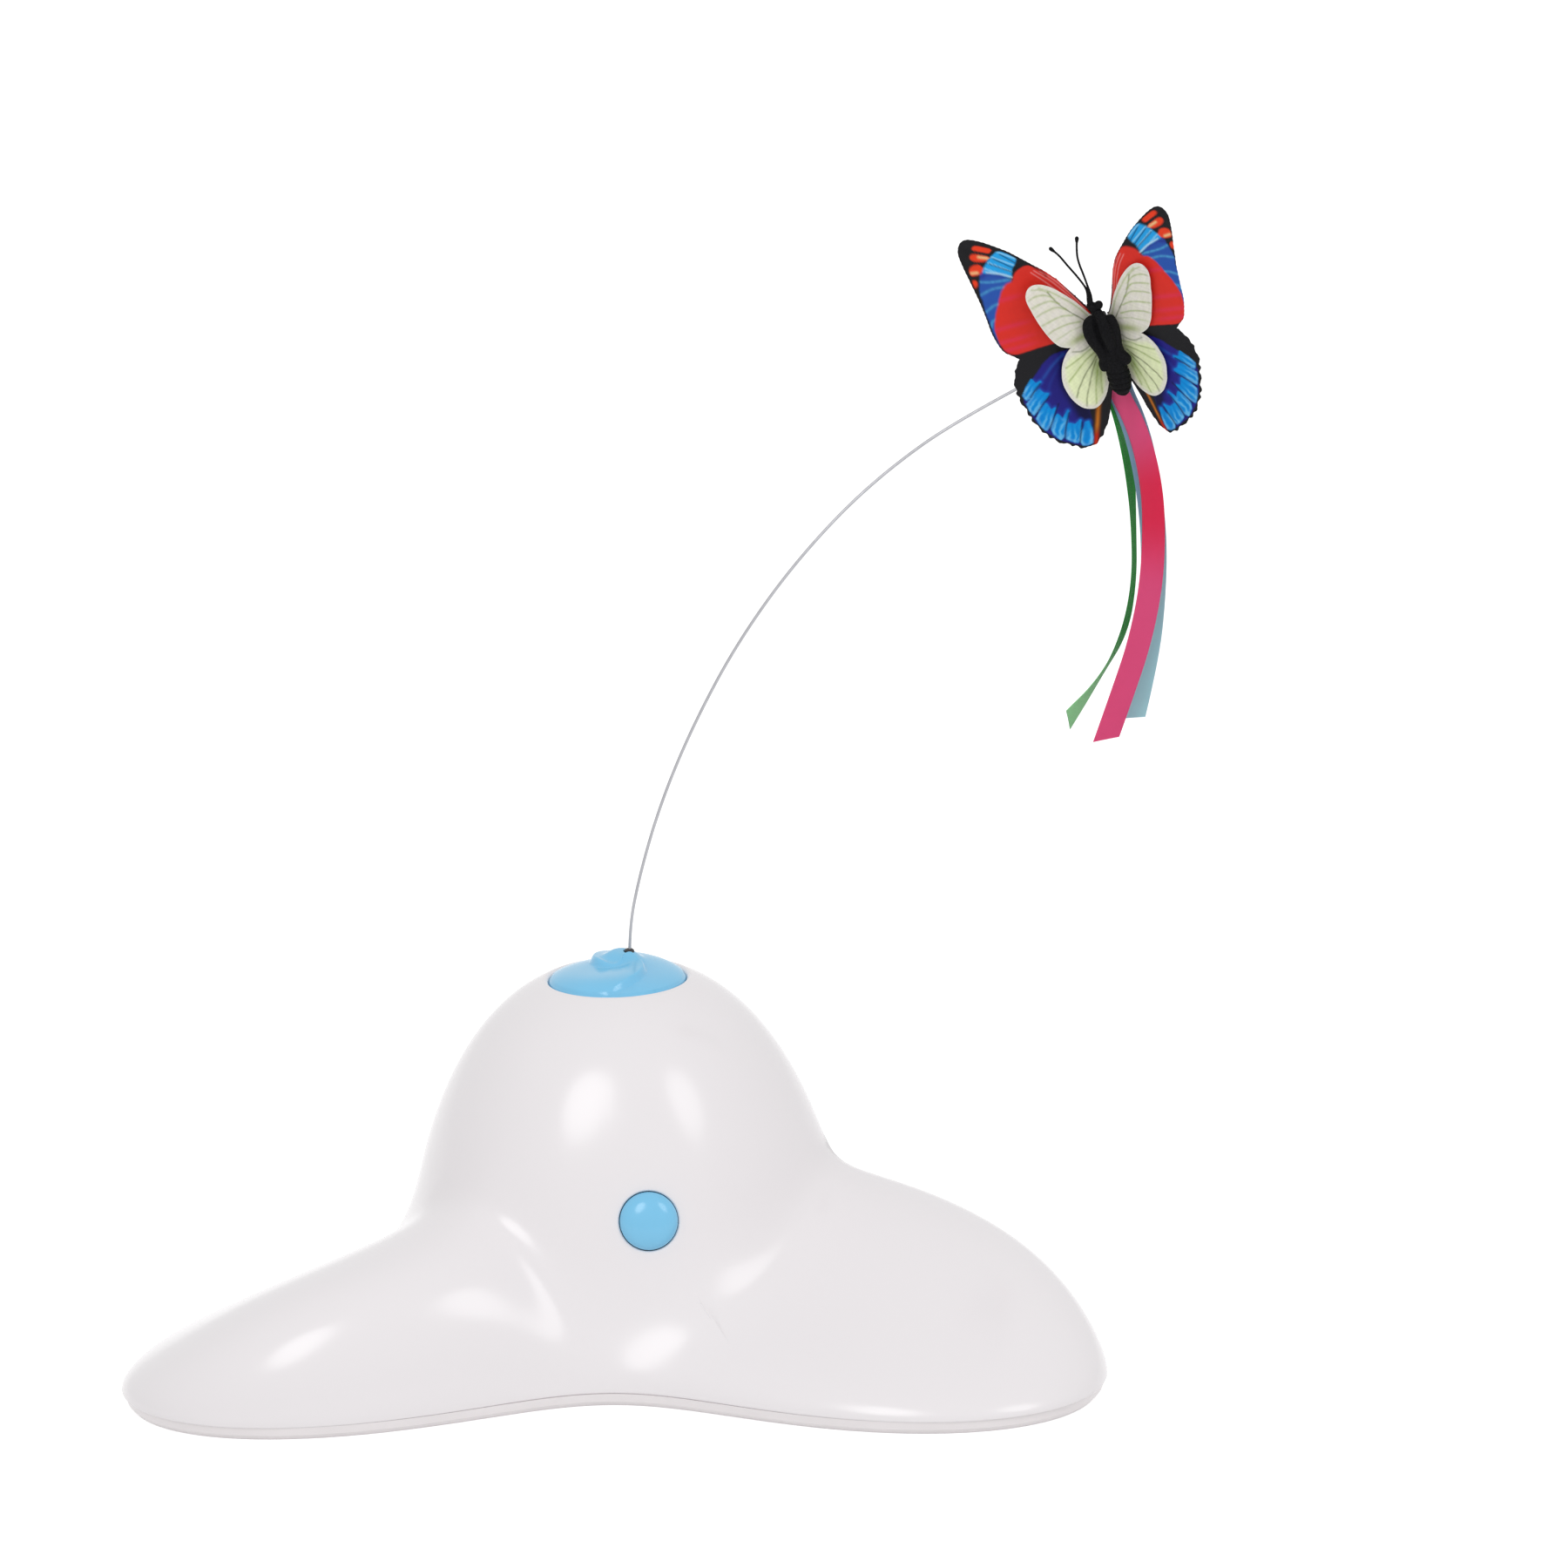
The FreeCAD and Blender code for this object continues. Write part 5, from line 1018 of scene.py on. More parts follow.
@dataclass
class Turntable:
    """The sky blue disc with its swirl, boss, hub and bore."""

    radius: float = 15.0
    edge_depth: float = 2.2
    drop: float = 0.3
    crown: float = 2.5
    hub_radius: float = 4.0
    hub_length: float = 7.0
    bore_radius: float = 1.5
    swirl_height: float = 1.5
    crease: float = 2.2
    swirl_angle: float = 255.0
    swirl_twist: Pair = (72.0, 85.0)
    swirl_shift: float = 1.5
    boss: Pair = (1.5, 2.7)
    boss_height: float = 1.6
    boss_spread: float = 3.7
    apron_height: float = 1.0
    apron_spread: float = 6.5
    socket: Pair = (2.8, 2.5)
    socket_radius: float = 1.15
    socket_depth: float = 6.0
    edge_round: float = 0.55
    columns: int = 420
    stations: int = 100
    crown_power: float = 3.2
    rim_power: float = 9.0
    swell_reach: float = 0.3
    mouth: float = 0.2
    bore_depth: float = 1.4

    def __post_init__(self) -> None:
        """Set the disc just below the rim of the shell."""
        rim = float(FORM.level(np.array(RIM_RADIUS), np.array(0.0)))
        self.edge_level = rim - self.drop

    def level(self, x: Array, y: Array) -> Array:
        """Height of the top face: a full crown, two curling ridges and a boss.

        crown (1 - s^3.2) + swirl * ridge * swell + boss * exp(-(d / spread)^4) + apron *
        exp(-(d / apron_spread)^2), with s the radius share and d the distance to the boss. A
        ridge rises slowly over the half turn behind it and drops over the crease's width just
        past its crest, which winds as a (1 - s) + b (1 - s)^2 about a centre that shifts inwards.

        Args:
            x: Places along x.
            y: Places along y.

        Returns:
            The height at each place.
        """
        reach = np.hypot(x, y)
        share = np.minimum(reach / self.radius, 1)
        wind, curl = self.swirl_twist
        arm = self.swirl_angle + wind * (1 - share) + curl * (1 - share) ** 2
        azimuth = np.degrees(np.arctan2(y, x - self.swirl_shift * (1 - share)))
        turn = np.mod(azimuth - arm, 180) / 180
        past = math.pi * turn * reach
        ridge = np.maximum(turn ** 2, 1 - smooth(0.0, self.crease, past))
        calm = 1 - share ** self.rim_power
        swell = smooth(0.0, self.swell_reach, share) * calm
        away = np.hypot(x - self.boss[0], y - self.boss[1])
        boss = self.boss_height * np.exp(-(away / self.boss_spread) ** 4)
        apron = self.apron_height * np.exp(-(away / self.apron_spread) ** 2) * calm
        return (self.edge_level + self.crown * (1 - share ** self.crown_power)
                + self.swirl_height * ridge * swell + boss + apron)

    def build(self, wardrobe: Wardrobe) -> None:
        """Make the disc as one closed lattice from the socket's floor round to the bore."""
        ring = circle(1.0, self.columns)
        centre = np.array([*self.socket, 0.0])
        mouth = float(self.level(*map(np.array, self.socket)))
        rows = [ring * size + centre + np.array([0, 0, mouth + z])
                for size, z in ((PIN, -self.socket_depth), (self.socket_radius, -self.socket_depth),
                                (self.socket_radius, -1.0), (self.socket_radius, -0.25))]
        inner, outer = self.socket_radius + self.mouth, self.radius - self.edge_round
        share = np.linspace(0, 1, self.stations)[:, None, None]
        top = ring * (inner + (outer - inner) * share) + centre * (1 - share)
        top[..., 2] = self.level(top[..., 0], top[..., 1])
        rows += list(top)
        a = np.radians([20, 40, 60, 80, 90])
        rows += list(circle(outer + self.edge_round * np.sin(a), self.columns,
                            self.edge_level - self.edge_round * (1 - np.cos(a))))
        low = self.edge_level - self.edge_depth
        below = arc_profile([(self.radius, low + 0.6, 0), (self.radius, low, 0.3),
                             (self.hub_radius, low, 0.3),
                             (self.hub_radius, low - self.hub_length, 0.2),
                             (self.bore_radius, low - self.hub_length, 0.1),
                             (self.bore_radius, low + self.bore_depth, 0),
                             (PIN, low + self.bore_depth, 0)])
        rows += list(circle(below[:, 0], self.columns, below[:, 1]))
        build = Build("turntable_disc")
        build.lattice(np.array(rows))
        wardrobe.dress(build.object(sharp=50), "sky_blue", "turntable", "turntable")


@dataclass
class PushButton:
    """The round sky blue button, turned about its own axis."""

    proud: float = 2.55
    dome: float = 2.9
    dome_power: float = 2.2
    depth: float = 4.8
    flange: float = 1.2
    flange_height: float = 0.8
    columns: int = 128
    stations: int = 40
    pole: float = 0.004

    def build(self, wardrobe: Wardrobe) -> None:
        """Make the button: a turned profile whose face is a flattened dome."""
        wide, radius = BUTTON_RADIUS + self.flange, BUTTON_RADIUS
        side = arc_profile([(PIN, -self.depth, 0), (wide, -self.depth, 0.1),
                            (wide, self.flange_height - self.depth, 0.1),
                            (radius, self.flange_height - self.depth, 0.05),
                            (radius, self.proud - self.dome, 0)], steps=12)
        share = np.sin(np.linspace(math.pi / 2, self.pole, self.stations))[1:]
        sunk = self.dome * (1 - np.sqrt(1 - share ** self.dome_power))
        profile = np.vstack([side, np.c_[radius * share, self.proud - sunk]])
        build = Build("push_button_cap")
        build.lattice(BUTTON.place(circle(profile[:, 0], self.columns, profile[:, 1])))
        wardrobe.dress(build.object(sharp=50), "sky_blue", "button", "push_button")


# Butterfly

TABLE = Turntable()
SOCKET = np.array([2.8, 2.5, 84.293])
BUTTERFLY = Frame(SOCKET + np.array([106.2, -6.4, 132.1]),
                  turn_about(2, -17.3) @ turn_about(1, -11.1) @ turn_about(0, 18.8)
                  @ turn_about(0, 90.0))


@dataclass
class Wand:
    """The springy steel wire from the turntable's plug to the sleeve under the butterfly."""

    radius: float = 0.34
    sides: int = 18
    stations: int = 360
    route: tuple[Triple, ...] = (
        (0, 0, -4.4), (0, 0, 4.5), (3.0, 0, 17.7), (8.2, 0, 33.7), (15.8, -0.2, 50.7),
        (26.0, -0.3, 68.7), (39.6, -0.1, 86.6), (56.5, 2.0, 102.8), (78.0, 6.2, 116.3))
    seat: Triple = (0.0, -2.4, -5.9)
    bend_from: Triple = (0.0045, 0.0025, 0.090)
    bend_to: Triple = (0.0150, 0.0025, 0.130)

    def build(self, wardrobe: Wardrobe) -> None:
        """Carry a round section along the route's spline."""
        end = BUTTERFLY.place(np.array(self.seat))
        route = np.vstack([SOCKET + np.array(self.route), end])
        path = even(route_points("wand_route", route), self.stations)
        side, up = carried_axes(path, (0, 1, 0))
        section = circle(self.radius, self.sides)[:, :2]
        build = Build("wand_spring_wire")
        build.lattice(sweep(path, side, up, section))
        piece = build.object(sharp=60)
        wardrobe.dress(piece, "wire_steel", "", "wand_wire")
        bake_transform(piece)


@dataclass
class FoamBody:
    """The black foam body: head knob, ridged thorax, waist bulges and a segmented tail.

    Its form is a soft union of chains of balls. A chain runs through rows of x, y, z and radius.
    """

    flat: float = -0.8
    sides: int = 144
    stations: int = 200
    softness: float = 0.09
    strip_half_width: float = 0.9
    strip_length: float = 15.0
    strip_low: float = -4.1
    fold_back: float = 1.9
    furrow_depth: float = 0.3
    furrow_pitch: float = 1.3
    furrow_phase: float = 6.75
    tail_slant: float = 0.14
    tail_middle: float = 0.6
    tail_start: Pair = (-6.0, -6.9)
    tail_end: Pair = (-12.4, -11.4)
    ray_step: float = 0.22
    ray_steps: int = 26
    halvings: int = 11
    spine: Pair = (8.3, -13.0)
    spine_height: float = 0.15
    end_crowding: float = 0.35
    head_middle: Triple = (-0.1, 9.0, 0.2)
    head_rings: int = 60
    head_columns: int = 96
    block_power: float = 0.34
    block_columns: int = 64
    chains: tuple[tuple[Quad, ...], ...] = (
        ((-0.3, 8.4, 0.1, 0.85), (-0.25, 7.4, 0.0, 1.0), (-0.1, 6.2, -0.2, 1.3),
         (0.0, 4.4, -0.5, 1.6), (0.0, 2.4, -0.6, 1.7), (0.3, 0.0, -0.5, 1.7),
         (0.5, -2.4, -0.3, 1.7), (0.6, -4.6, -0.1, 2.0), (0.6, -6.0, 0.0, 2.1)),
        ((0.3, 8.0, 0.5, 0.8), (0.75, 6.6, 1.2, 1.1), (1.15, 4.9, 1.75, 1.3),
         (1.3, 3.0, 1.95, 1.35), (1.35, 1.2, 1.8, 1.2), (1.2, -0.5, 1.4, 0.95),
         (1.0, -1.8, 1.0, 0.7)),
        ((-1.7, 6.1, 0.4, 0.95), (-2.2, 5.0, 0.5, 1.55), (-2.35, 3.4, 0.6, 1.7),
         (-2.15, 1.6, 0.6, 1.65), (-1.75, 0.0, 0.5, 1.5), (-1.35, -1.6, 0.4, 1.35),
         (-1.1, -3.0, 0.3, 1.35)),
        ((2.6, 5.6, 0.4, 0.9), (2.75, 4.2, 0.5, 1.1), (2.7, 2.6, 0.5, 1.15),
         (2.45, 0.8, 0.4, 1.15), (2.15, -0.8, 0.3, 1.2), (2.0, -2.2, 0.2, 1.35)),
        ((-1.2, -3.8, 0.3, 1.2), (-1.55, -4.6, 0.3, 1.3), (-1.65, -5.5, 0.2, 1.2)),
        ((2.4, -3.4, 0.3, 1.3), (2.8, -4.2, 0.4, 1.45), (3.15, -4.5, 0.3, 1.25)),
        ((0.6, -2.6, 0.4, 1.3), (0.6, -4.2, 0.5, 1.5), (0.6, -5.4, 0.3, 1.5)),
        ((0.6, -6.4, 0.0, 2.2), (0.6, -7.6, 0.0, 2.5), (0.6, -9.0, 0.0, 2.5),
         (0.55, -10.2, 0.0, 2.25), (0.6, -11.1, 0.0, 1.8), (0.7, -11.9, 0.0, 1.15)))
    head: tuple[tuple[Quad, ...], ...] = (
        ((-0.85, 9.25, 0.2, 0.95), (-0.8, 9.35, 0.3, 0.95)),
        ((0.85, 9.2, 0.2, 0.9), (0.8, 9.1, 0.3, 0.9)),
        ((-0.2, 8.2, 0.1, 1.0), (-0.3, 8.8, 0.2, 1.05)),
        ((-0.6, 10.1, 0.4, 0.5), (-0.8, 9.6, 0.4, 0.6)))

    def depth(self, p: Points, chains: Sequence[Sequence[Sequence[float]]]) -> Array:
        """How deep places lie in the soft union of the chains; negative outside.

        Each chain gives the greatest of radius - distance over its balls, and the chains are
        joined by softness * log(sum(exp(depth / softness))).

        Args:
            p: Places in the butterfly's frame.
            chains: The chains of balls.

        Returns:
            The depth of each place.
        """
        total = np.zeros(p.shape[:-1])
        for chain in chains:
            balls = through(chain, 5 * len(chain))
            best = np.full(p.shape[:-1], -50.0)
            for ball in balls:
                away = p - ball[:3]
                best = np.maximum(best, ball[3] - np.sqrt((away * away).sum(axis=-1)))
            total += np.exp(np.clip(best, -6, 6) / self.softness)
        deep = self.softness * np.log(total + 1e-30)
        y = p[..., 1] + self.tail_slant * (p[..., 0] - self.tail_middle)
        tail = smooth(*self.tail_start, y) * smooth(*self.tail_end, y)
        wave = np.cos(2 * math.pi * (y + self.furrow_phase) / self.furrow_pitch)
        furrow = (0.5 + 0.5 * wave) ** 3
        return deep - self.furrow_depth * furrow * tail

    def cast(self, start: Points, way: Points,
             chains: Sequence[Sequence[Sequence[float]]]) -> Points:
        """Where rays from inside leave the form: steps inwards, then halvings.

        Args:
            start: Where each ray starts.
            way: Its unit direction.
            chains: The chains of balls.

        Returns:
            The points of the surface.
        """
        reach = np.full(start.shape[:-1], PIN)
        open_still = np.ones(start.shape[:-1], bool)
        for far in np.arange(self.ray_steps, 0, -1) * self.ray_step:
            inside_now = self.depth(start + way * far, chains) > 0
            reach = np.where(inside_now & open_still, far, reach)
            open_still &= ~inside_now
        low, high = reach, np.where(reach > PIN, reach + self.ray_step, PIN)
        for _ in range(self.halvings):
            middle = (low + high) / 2
            deep = self.depth(start + way * middle[..., None], chains) > 0
            low, high = np.where(deep, middle, low), np.where(deep, high, middle)
        points = start + way * low[..., None]
        z = points[..., 2]
        points[..., 2] = np.where(z < self.flat, self.flat + 0.1 * (z - self.flat), z)
        return points

    def torso(self) -> Rows:
        """Rings across the body: rays from the spine out to the form."""
        even_share = np.linspace(0, 1, self.stations)
        share = (1 - np.cos(math.pi * even_share)) / 2
        share = self.end_crowding * share + (1 - self.end_crowding) * even_share
        y = self.spine[0] - (self.spine[0] - self.spine[1]) * share
        angle = np.linspace(0, 2 * math.pi, self.sides, endpoint=False)
        start = np.zeros((self.stations, self.sides, 3))
        start[..., 0] = (0.62 * smooth(4.0, -5.0, y) - 0.2 * smooth(4.0, 7.0, y))[:, None]
        start[..., 1] = y[:, None]
        start[..., 2] = self.spine_height
        way = np.zeros_like(start)
        way[..., 0], way[..., 2] = np.cos(angle), np.sin(angle)
        return self.cast(start, way, self.chains)

    def knob(self) -> Rows:
        """The head: rays from its middle, as on a globe."""
        up = np.linspace(-1, 1, self.head_rings)[:, None] * math.radians(89.0)
        angle = np.linspace(0, 2 * math.pi, self.head_columns, endpoint=False)[None]
        way = np.stack([np.cos(up) * np.cos(angle), np.sin(up) + 0 * angle,
                        np.cos(up) * np.sin(angle)], axis=-1)
        return self.cast(np.broadcast_to(self.head_middle, way.shape), way, self.head)

    def slab(self, centre: Triple, size: Triple) -> Rows:
        """A rounded block of stacked superellipses, whose columns follow cos^p and sin^p.

        Args:
            centre: Its middle in the butterfly's frame.
            size: Its width, length and height.

        Returns:
            Rings by columns by 3.
        """
        ring = circle(1.0, self.block_columns)[:, :2]
        ring = np.sign(ring) * np.abs(ring) ** self.block_power
        share = np.array([0.02, 0.9, 0.97, 1.0, 1.0, 0.97, 0.9, 0.02])[:, None, None]
        level = np.array([-1, -1, -0.97, -0.9, 0.9, 0.97, 1, 1]) * size[2] / 2
        rows = np.zeros((len(level), self.block_columns, 3))
        rows[..., :2] = ring * share * np.array(size[:2]) / 2
        rows[..., 2] = level[:, None]
        return rows + np.array(centre)

    def build(self, wardrobe: Wardrobe) -> None:
        """Make the torso with the strip that holds the wings and the saddle for the wire."""
        build = Build("foam_body")
        build.lattice(BUTTERFLY.place(self.torso()))
        build.lattice(BUTTERFLY.place(self.knob()))
        wardrobe.dress(build.object(), "body_black", "butterfly", "butterfly_body")
        high = self.flat + 0.5
        for name, centre, size in (
                ("wing_strip", (0, -self.fold_back, (high + self.strip_low) / 2),
                 (2 * self.strip_half_width, self.strip_length, high - self.strip_low)),
                ("wire_saddle", (0, -2.4, self.strip_low - 1.7), (3.4, 4.2, 3.8))):
            block = Build(name)
            block.lattice(BUTTERFLY.place(self.slab(centre, size)))
            wardrobe.dress(block.object(sharp=50), "body_black", "butterfly")


@dataclass
class Antennae:
    """Two bent stalks that leave the head together and end in small clubs."""

    stalks: tuple[tuple[Triple, ...], ...] = (
        ((-0.85, 9.4, 0.4), (-0.8, 10.6, 0.8), (-0.45, 12.4, 1.2), (-0.5, 14.3, 1.5),
         (-1.4, 17.2, 1.8), (-2.7, 20.3, 2.0), (-3.9, 23.1, 2.1), (-5.4, 25.4, 2.2)),
        ((-0.55, 9.4, 0.5), (-0.45, 10.6, 0.9), (-0.05, 12.6, 1.4), (0.1, 15.1, 1.8),
         (0.0, 18.2, 2.1), (-0.1, 20.1, 2.3), (0.0, 22.2, 2.5), (0.5, 24.4, 2.8),
         (1.3, 27.1, 3.0)))
    thick: float = 0.5
    thin: float = 0.23
    club: float = 0.42
    tip: float = 0.02
    sides: int = 20
    stations: int = 140

    def build(self, wardrobe: Wardrobe) -> None:
        """Carry a circle along each stalk, thick at the root, with a long club at the tip."""
        build = Build("antenna_stalks")
        ring = circle(1.0, self.sides)[:, :2]
        for stalk in self.stalks:
            path = through(stalk, self.stations)
            side, up = carried_axes(path, (1, 0, 0))
            s = np.linspace(0, 1, self.stations)
            size = self.thin + (self.thick - self.thin) * smooth(0.34, 0.08, s)
            size = size + (self.club - self.thin) * smooth(0.9, 0.965, s)
            size = size * np.sqrt(np.clip((1.0 - s) / self.tip, self.tip ** 2, 1))
            build.lattice(BUTTERFLY.place(sweep(path, side, up, ring * size[:, None, None])))
        wardrobe.dress(build.object(), "body_black", "butterfly", "antennae")


class Side(Enum):
    """Which side of the fold a wing is on, seen from the front."""

    LEFT = -1
    RIGHT = 1


@dataclass
class WingFilm:
    """One printed film wing: a thin sheet from its fold to its outline."""

    side: Side
    fore: tuple[Pair, ...]
    hind: tuple[Pair, ...]
    name: str
    slot: str
    fold_depth: float
    dihedral: float
    shift: Pair
    root: Pair
    camber: float = 0.5
    crinkle: float = 0.05
    bends: bool = False
    scallop: float = 0.0
    fore_scale: float = 1.0
    thickness: float = 0.22
    fold_offset: float = 1.2
    bend_reach: Pair = (3.0, 12.0)
    scallop_pitch: float = 2.6
    fray: float = 0.035
    fray_pitch: float = 1.1
    edge_crowding: float = 1.15
    crinkle_scale: float = 5.2
    along: int = 384
    out: int = 100

    def sheet(self) -> tuple[Array, Array]:
        """The flat wing as a grid: point(s, t) = fold(t) + s (outline(t) - fold(t)).

        Returns:
            x and y of the grid, out by along.
        """
        share = len(self.fore) / (len(self.fore) + len(self.hind))
        first = int(self.along * share)
        fore = np.array(self.fore) * self.fore_scale
        edge = np.vstack([through(fore, first)[:-1],
                          through(self.hind, self.along - first + 1)])
        if self.scallop:
            far, step = walked(edge), np.arange(self.along)
            way = unit(np.gradient(edge, axis=0))
            out = np.stack([-way[:, 1], way[:, 0]], axis=-1)
            bite = self.scallop * (0.5 - 0.5 * np.cos(
                2 * math.pi * far / self.scallop_pitch + np.sin(far)))
            reach = smooth(first - 12, first + 30, step)
            reach = reach * smooth(self.along - 30, self.along - 70, step)
            edge = edge - out * ((bite - 0.6 * self.scallop) * reach)[:, None]
            fine = self.fray * np.sin(2 * math.pi * far / self.fray_pitch + 2 * np.sin(far / 3))
            edge = edge + out * (fine * smooth(0, 60, step))[:, None]
        fold = np.stack([np.zeros(self.along), np.linspace(*self.root, self.along)], axis=-1)
        s = (1 - (1 - np.linspace(0, 1, self.out)) ** self.edge_crowding)[:, None, None]
        grid = fold + s * (edge - fold)
        return grid[..., 0], grid[..., 1]

    def lift(self, x: Array, y: Array) -> Array:
        """Height of the film over its flat plane: a camber, a curl and small crinkles."""
        reach = smooth(0.5, 6, x)
        bow = self.camber * (np.sin(math.pi * np.clip(x / 24, 0, 1)) + 0.35 * np.sin(y / 7.0))
        return reach * (bow + self.crinkle * ripple(x, y, self.crinkle_scale, 1.1))

    def build(self, wardrobe: Wardrobe, paint: Array) -> None:
        """Make the film: two skins a thickness apart, joined round the edge.

        Args:
            wardrobe: Hands out the finishes.
            paint: A linear colour for each point of the grid.
        """
        x, y = self.sheet()
        slip = smooth(1.0, 9.0, x)
        flat = np.stack([x, y, self.lift(x, y)], axis=-1)
        normal = unit(np.cross(np.gradient(flat, axis=0), np.gradient(flat, axis=1)))
        normal = normal * np.sign(normal[..., 2:])
        normal[~np.isfinite(normal)] = 0.0
        lean = math.radians(self.dihedral)
        skins = []
        for level in (self.thickness, 0.0):
            p = flat + normal * level
            across = self.fold_offset + p[..., 0] * math.cos(lean) - p[..., 2] * math.sin(lean)
            up = p[..., 0] * math.sin(lean) + p[..., 2] * math.cos(lean) - self.fold_depth
            local = np.stack([self.side.value * across + self.shift[0] * slip,
                              p[..., 1] + self.shift[1], up], axis=-1)
            skins.append(BUTTERFLY.place(local))
        build = Build(self.name + "_film")
        index = build.table(np.concatenate([skins[0], skins[1][::-1]]))
        index = np.vstack([index, index[:1]])
        build.quads(index, wrap=False)
        for column, flip in ((0, False), (-1, True)):
            top, under = index[:self.out, column], index[2 * self.out - 1:self.out - 1:-1, column]
            pair = np.stack([under, top] if flip else [top, under])
            build.quads(pair, wrap=False)
        colours = np.concatenate([paint, paint[::-1]]).reshape(-1, 3)
        piece = build.object(sharp=70, colours=colours)
        body = "left_wings" if self.side is Side.LEFT else "right_wings"
        wardrobe.dress(piece, self.slot, "" if self.bends else body, self.name)
        if self.bends:
            start, end = (BUTTERFLY.place(np.array([self.side.value * reach, 0.0, -3.0])) * MM
                          for reach in self.bend_reach)
            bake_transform(piece)


@dataclass
class Canvas:
    """A painting in progress: a linear colour for each place of a flat wing."""

    x: Array
    y: Array
    paint: Array

    def lay(self, colour: Triple, cover: Array) -> None:
        """Lay a display colour over the painting by a cover from 0 to 1."""
        cover = np.clip(cover, 0, 1)[:, None]
        self.paint = self.paint * (1 - cover) + linear(*colour) * cover

    def draw(self, lines: Sequence[Sequence[Pair]], samples: int, width: float, colour: Triple,
             cover: Array) -> None:
        """Draw lines in one colour.

        Args:
            lines: The points of each line.
            samples: Points on its smooth curve; nought joins the points straight.
            width: Half the line's visible width.
            colour: Its display colour.
            cover: How strongly it shows at each place.
        """
        for line in lines:
            path = through(line, samples) if samples else np.array(line)
            self.lay(colour, cover * near_line(self.x, self.y, path, width))

    def field(self, outline: Sequence[Pair], samples: int, soft: Pair, wobble: Array) -> Array:
        """The cover of a field.

        Args:
            outline: Points of its smooth outline.
            samples: Points on the outline's curve.
            soft: Depths between which the cover rises.
            wobble: An uneven depth that is added.

        Returns:
            The cover at each place.
        """
        depth = inside(self.x, self.y, through(outline, samples))
        return smooth(*soft, depth + wobble)


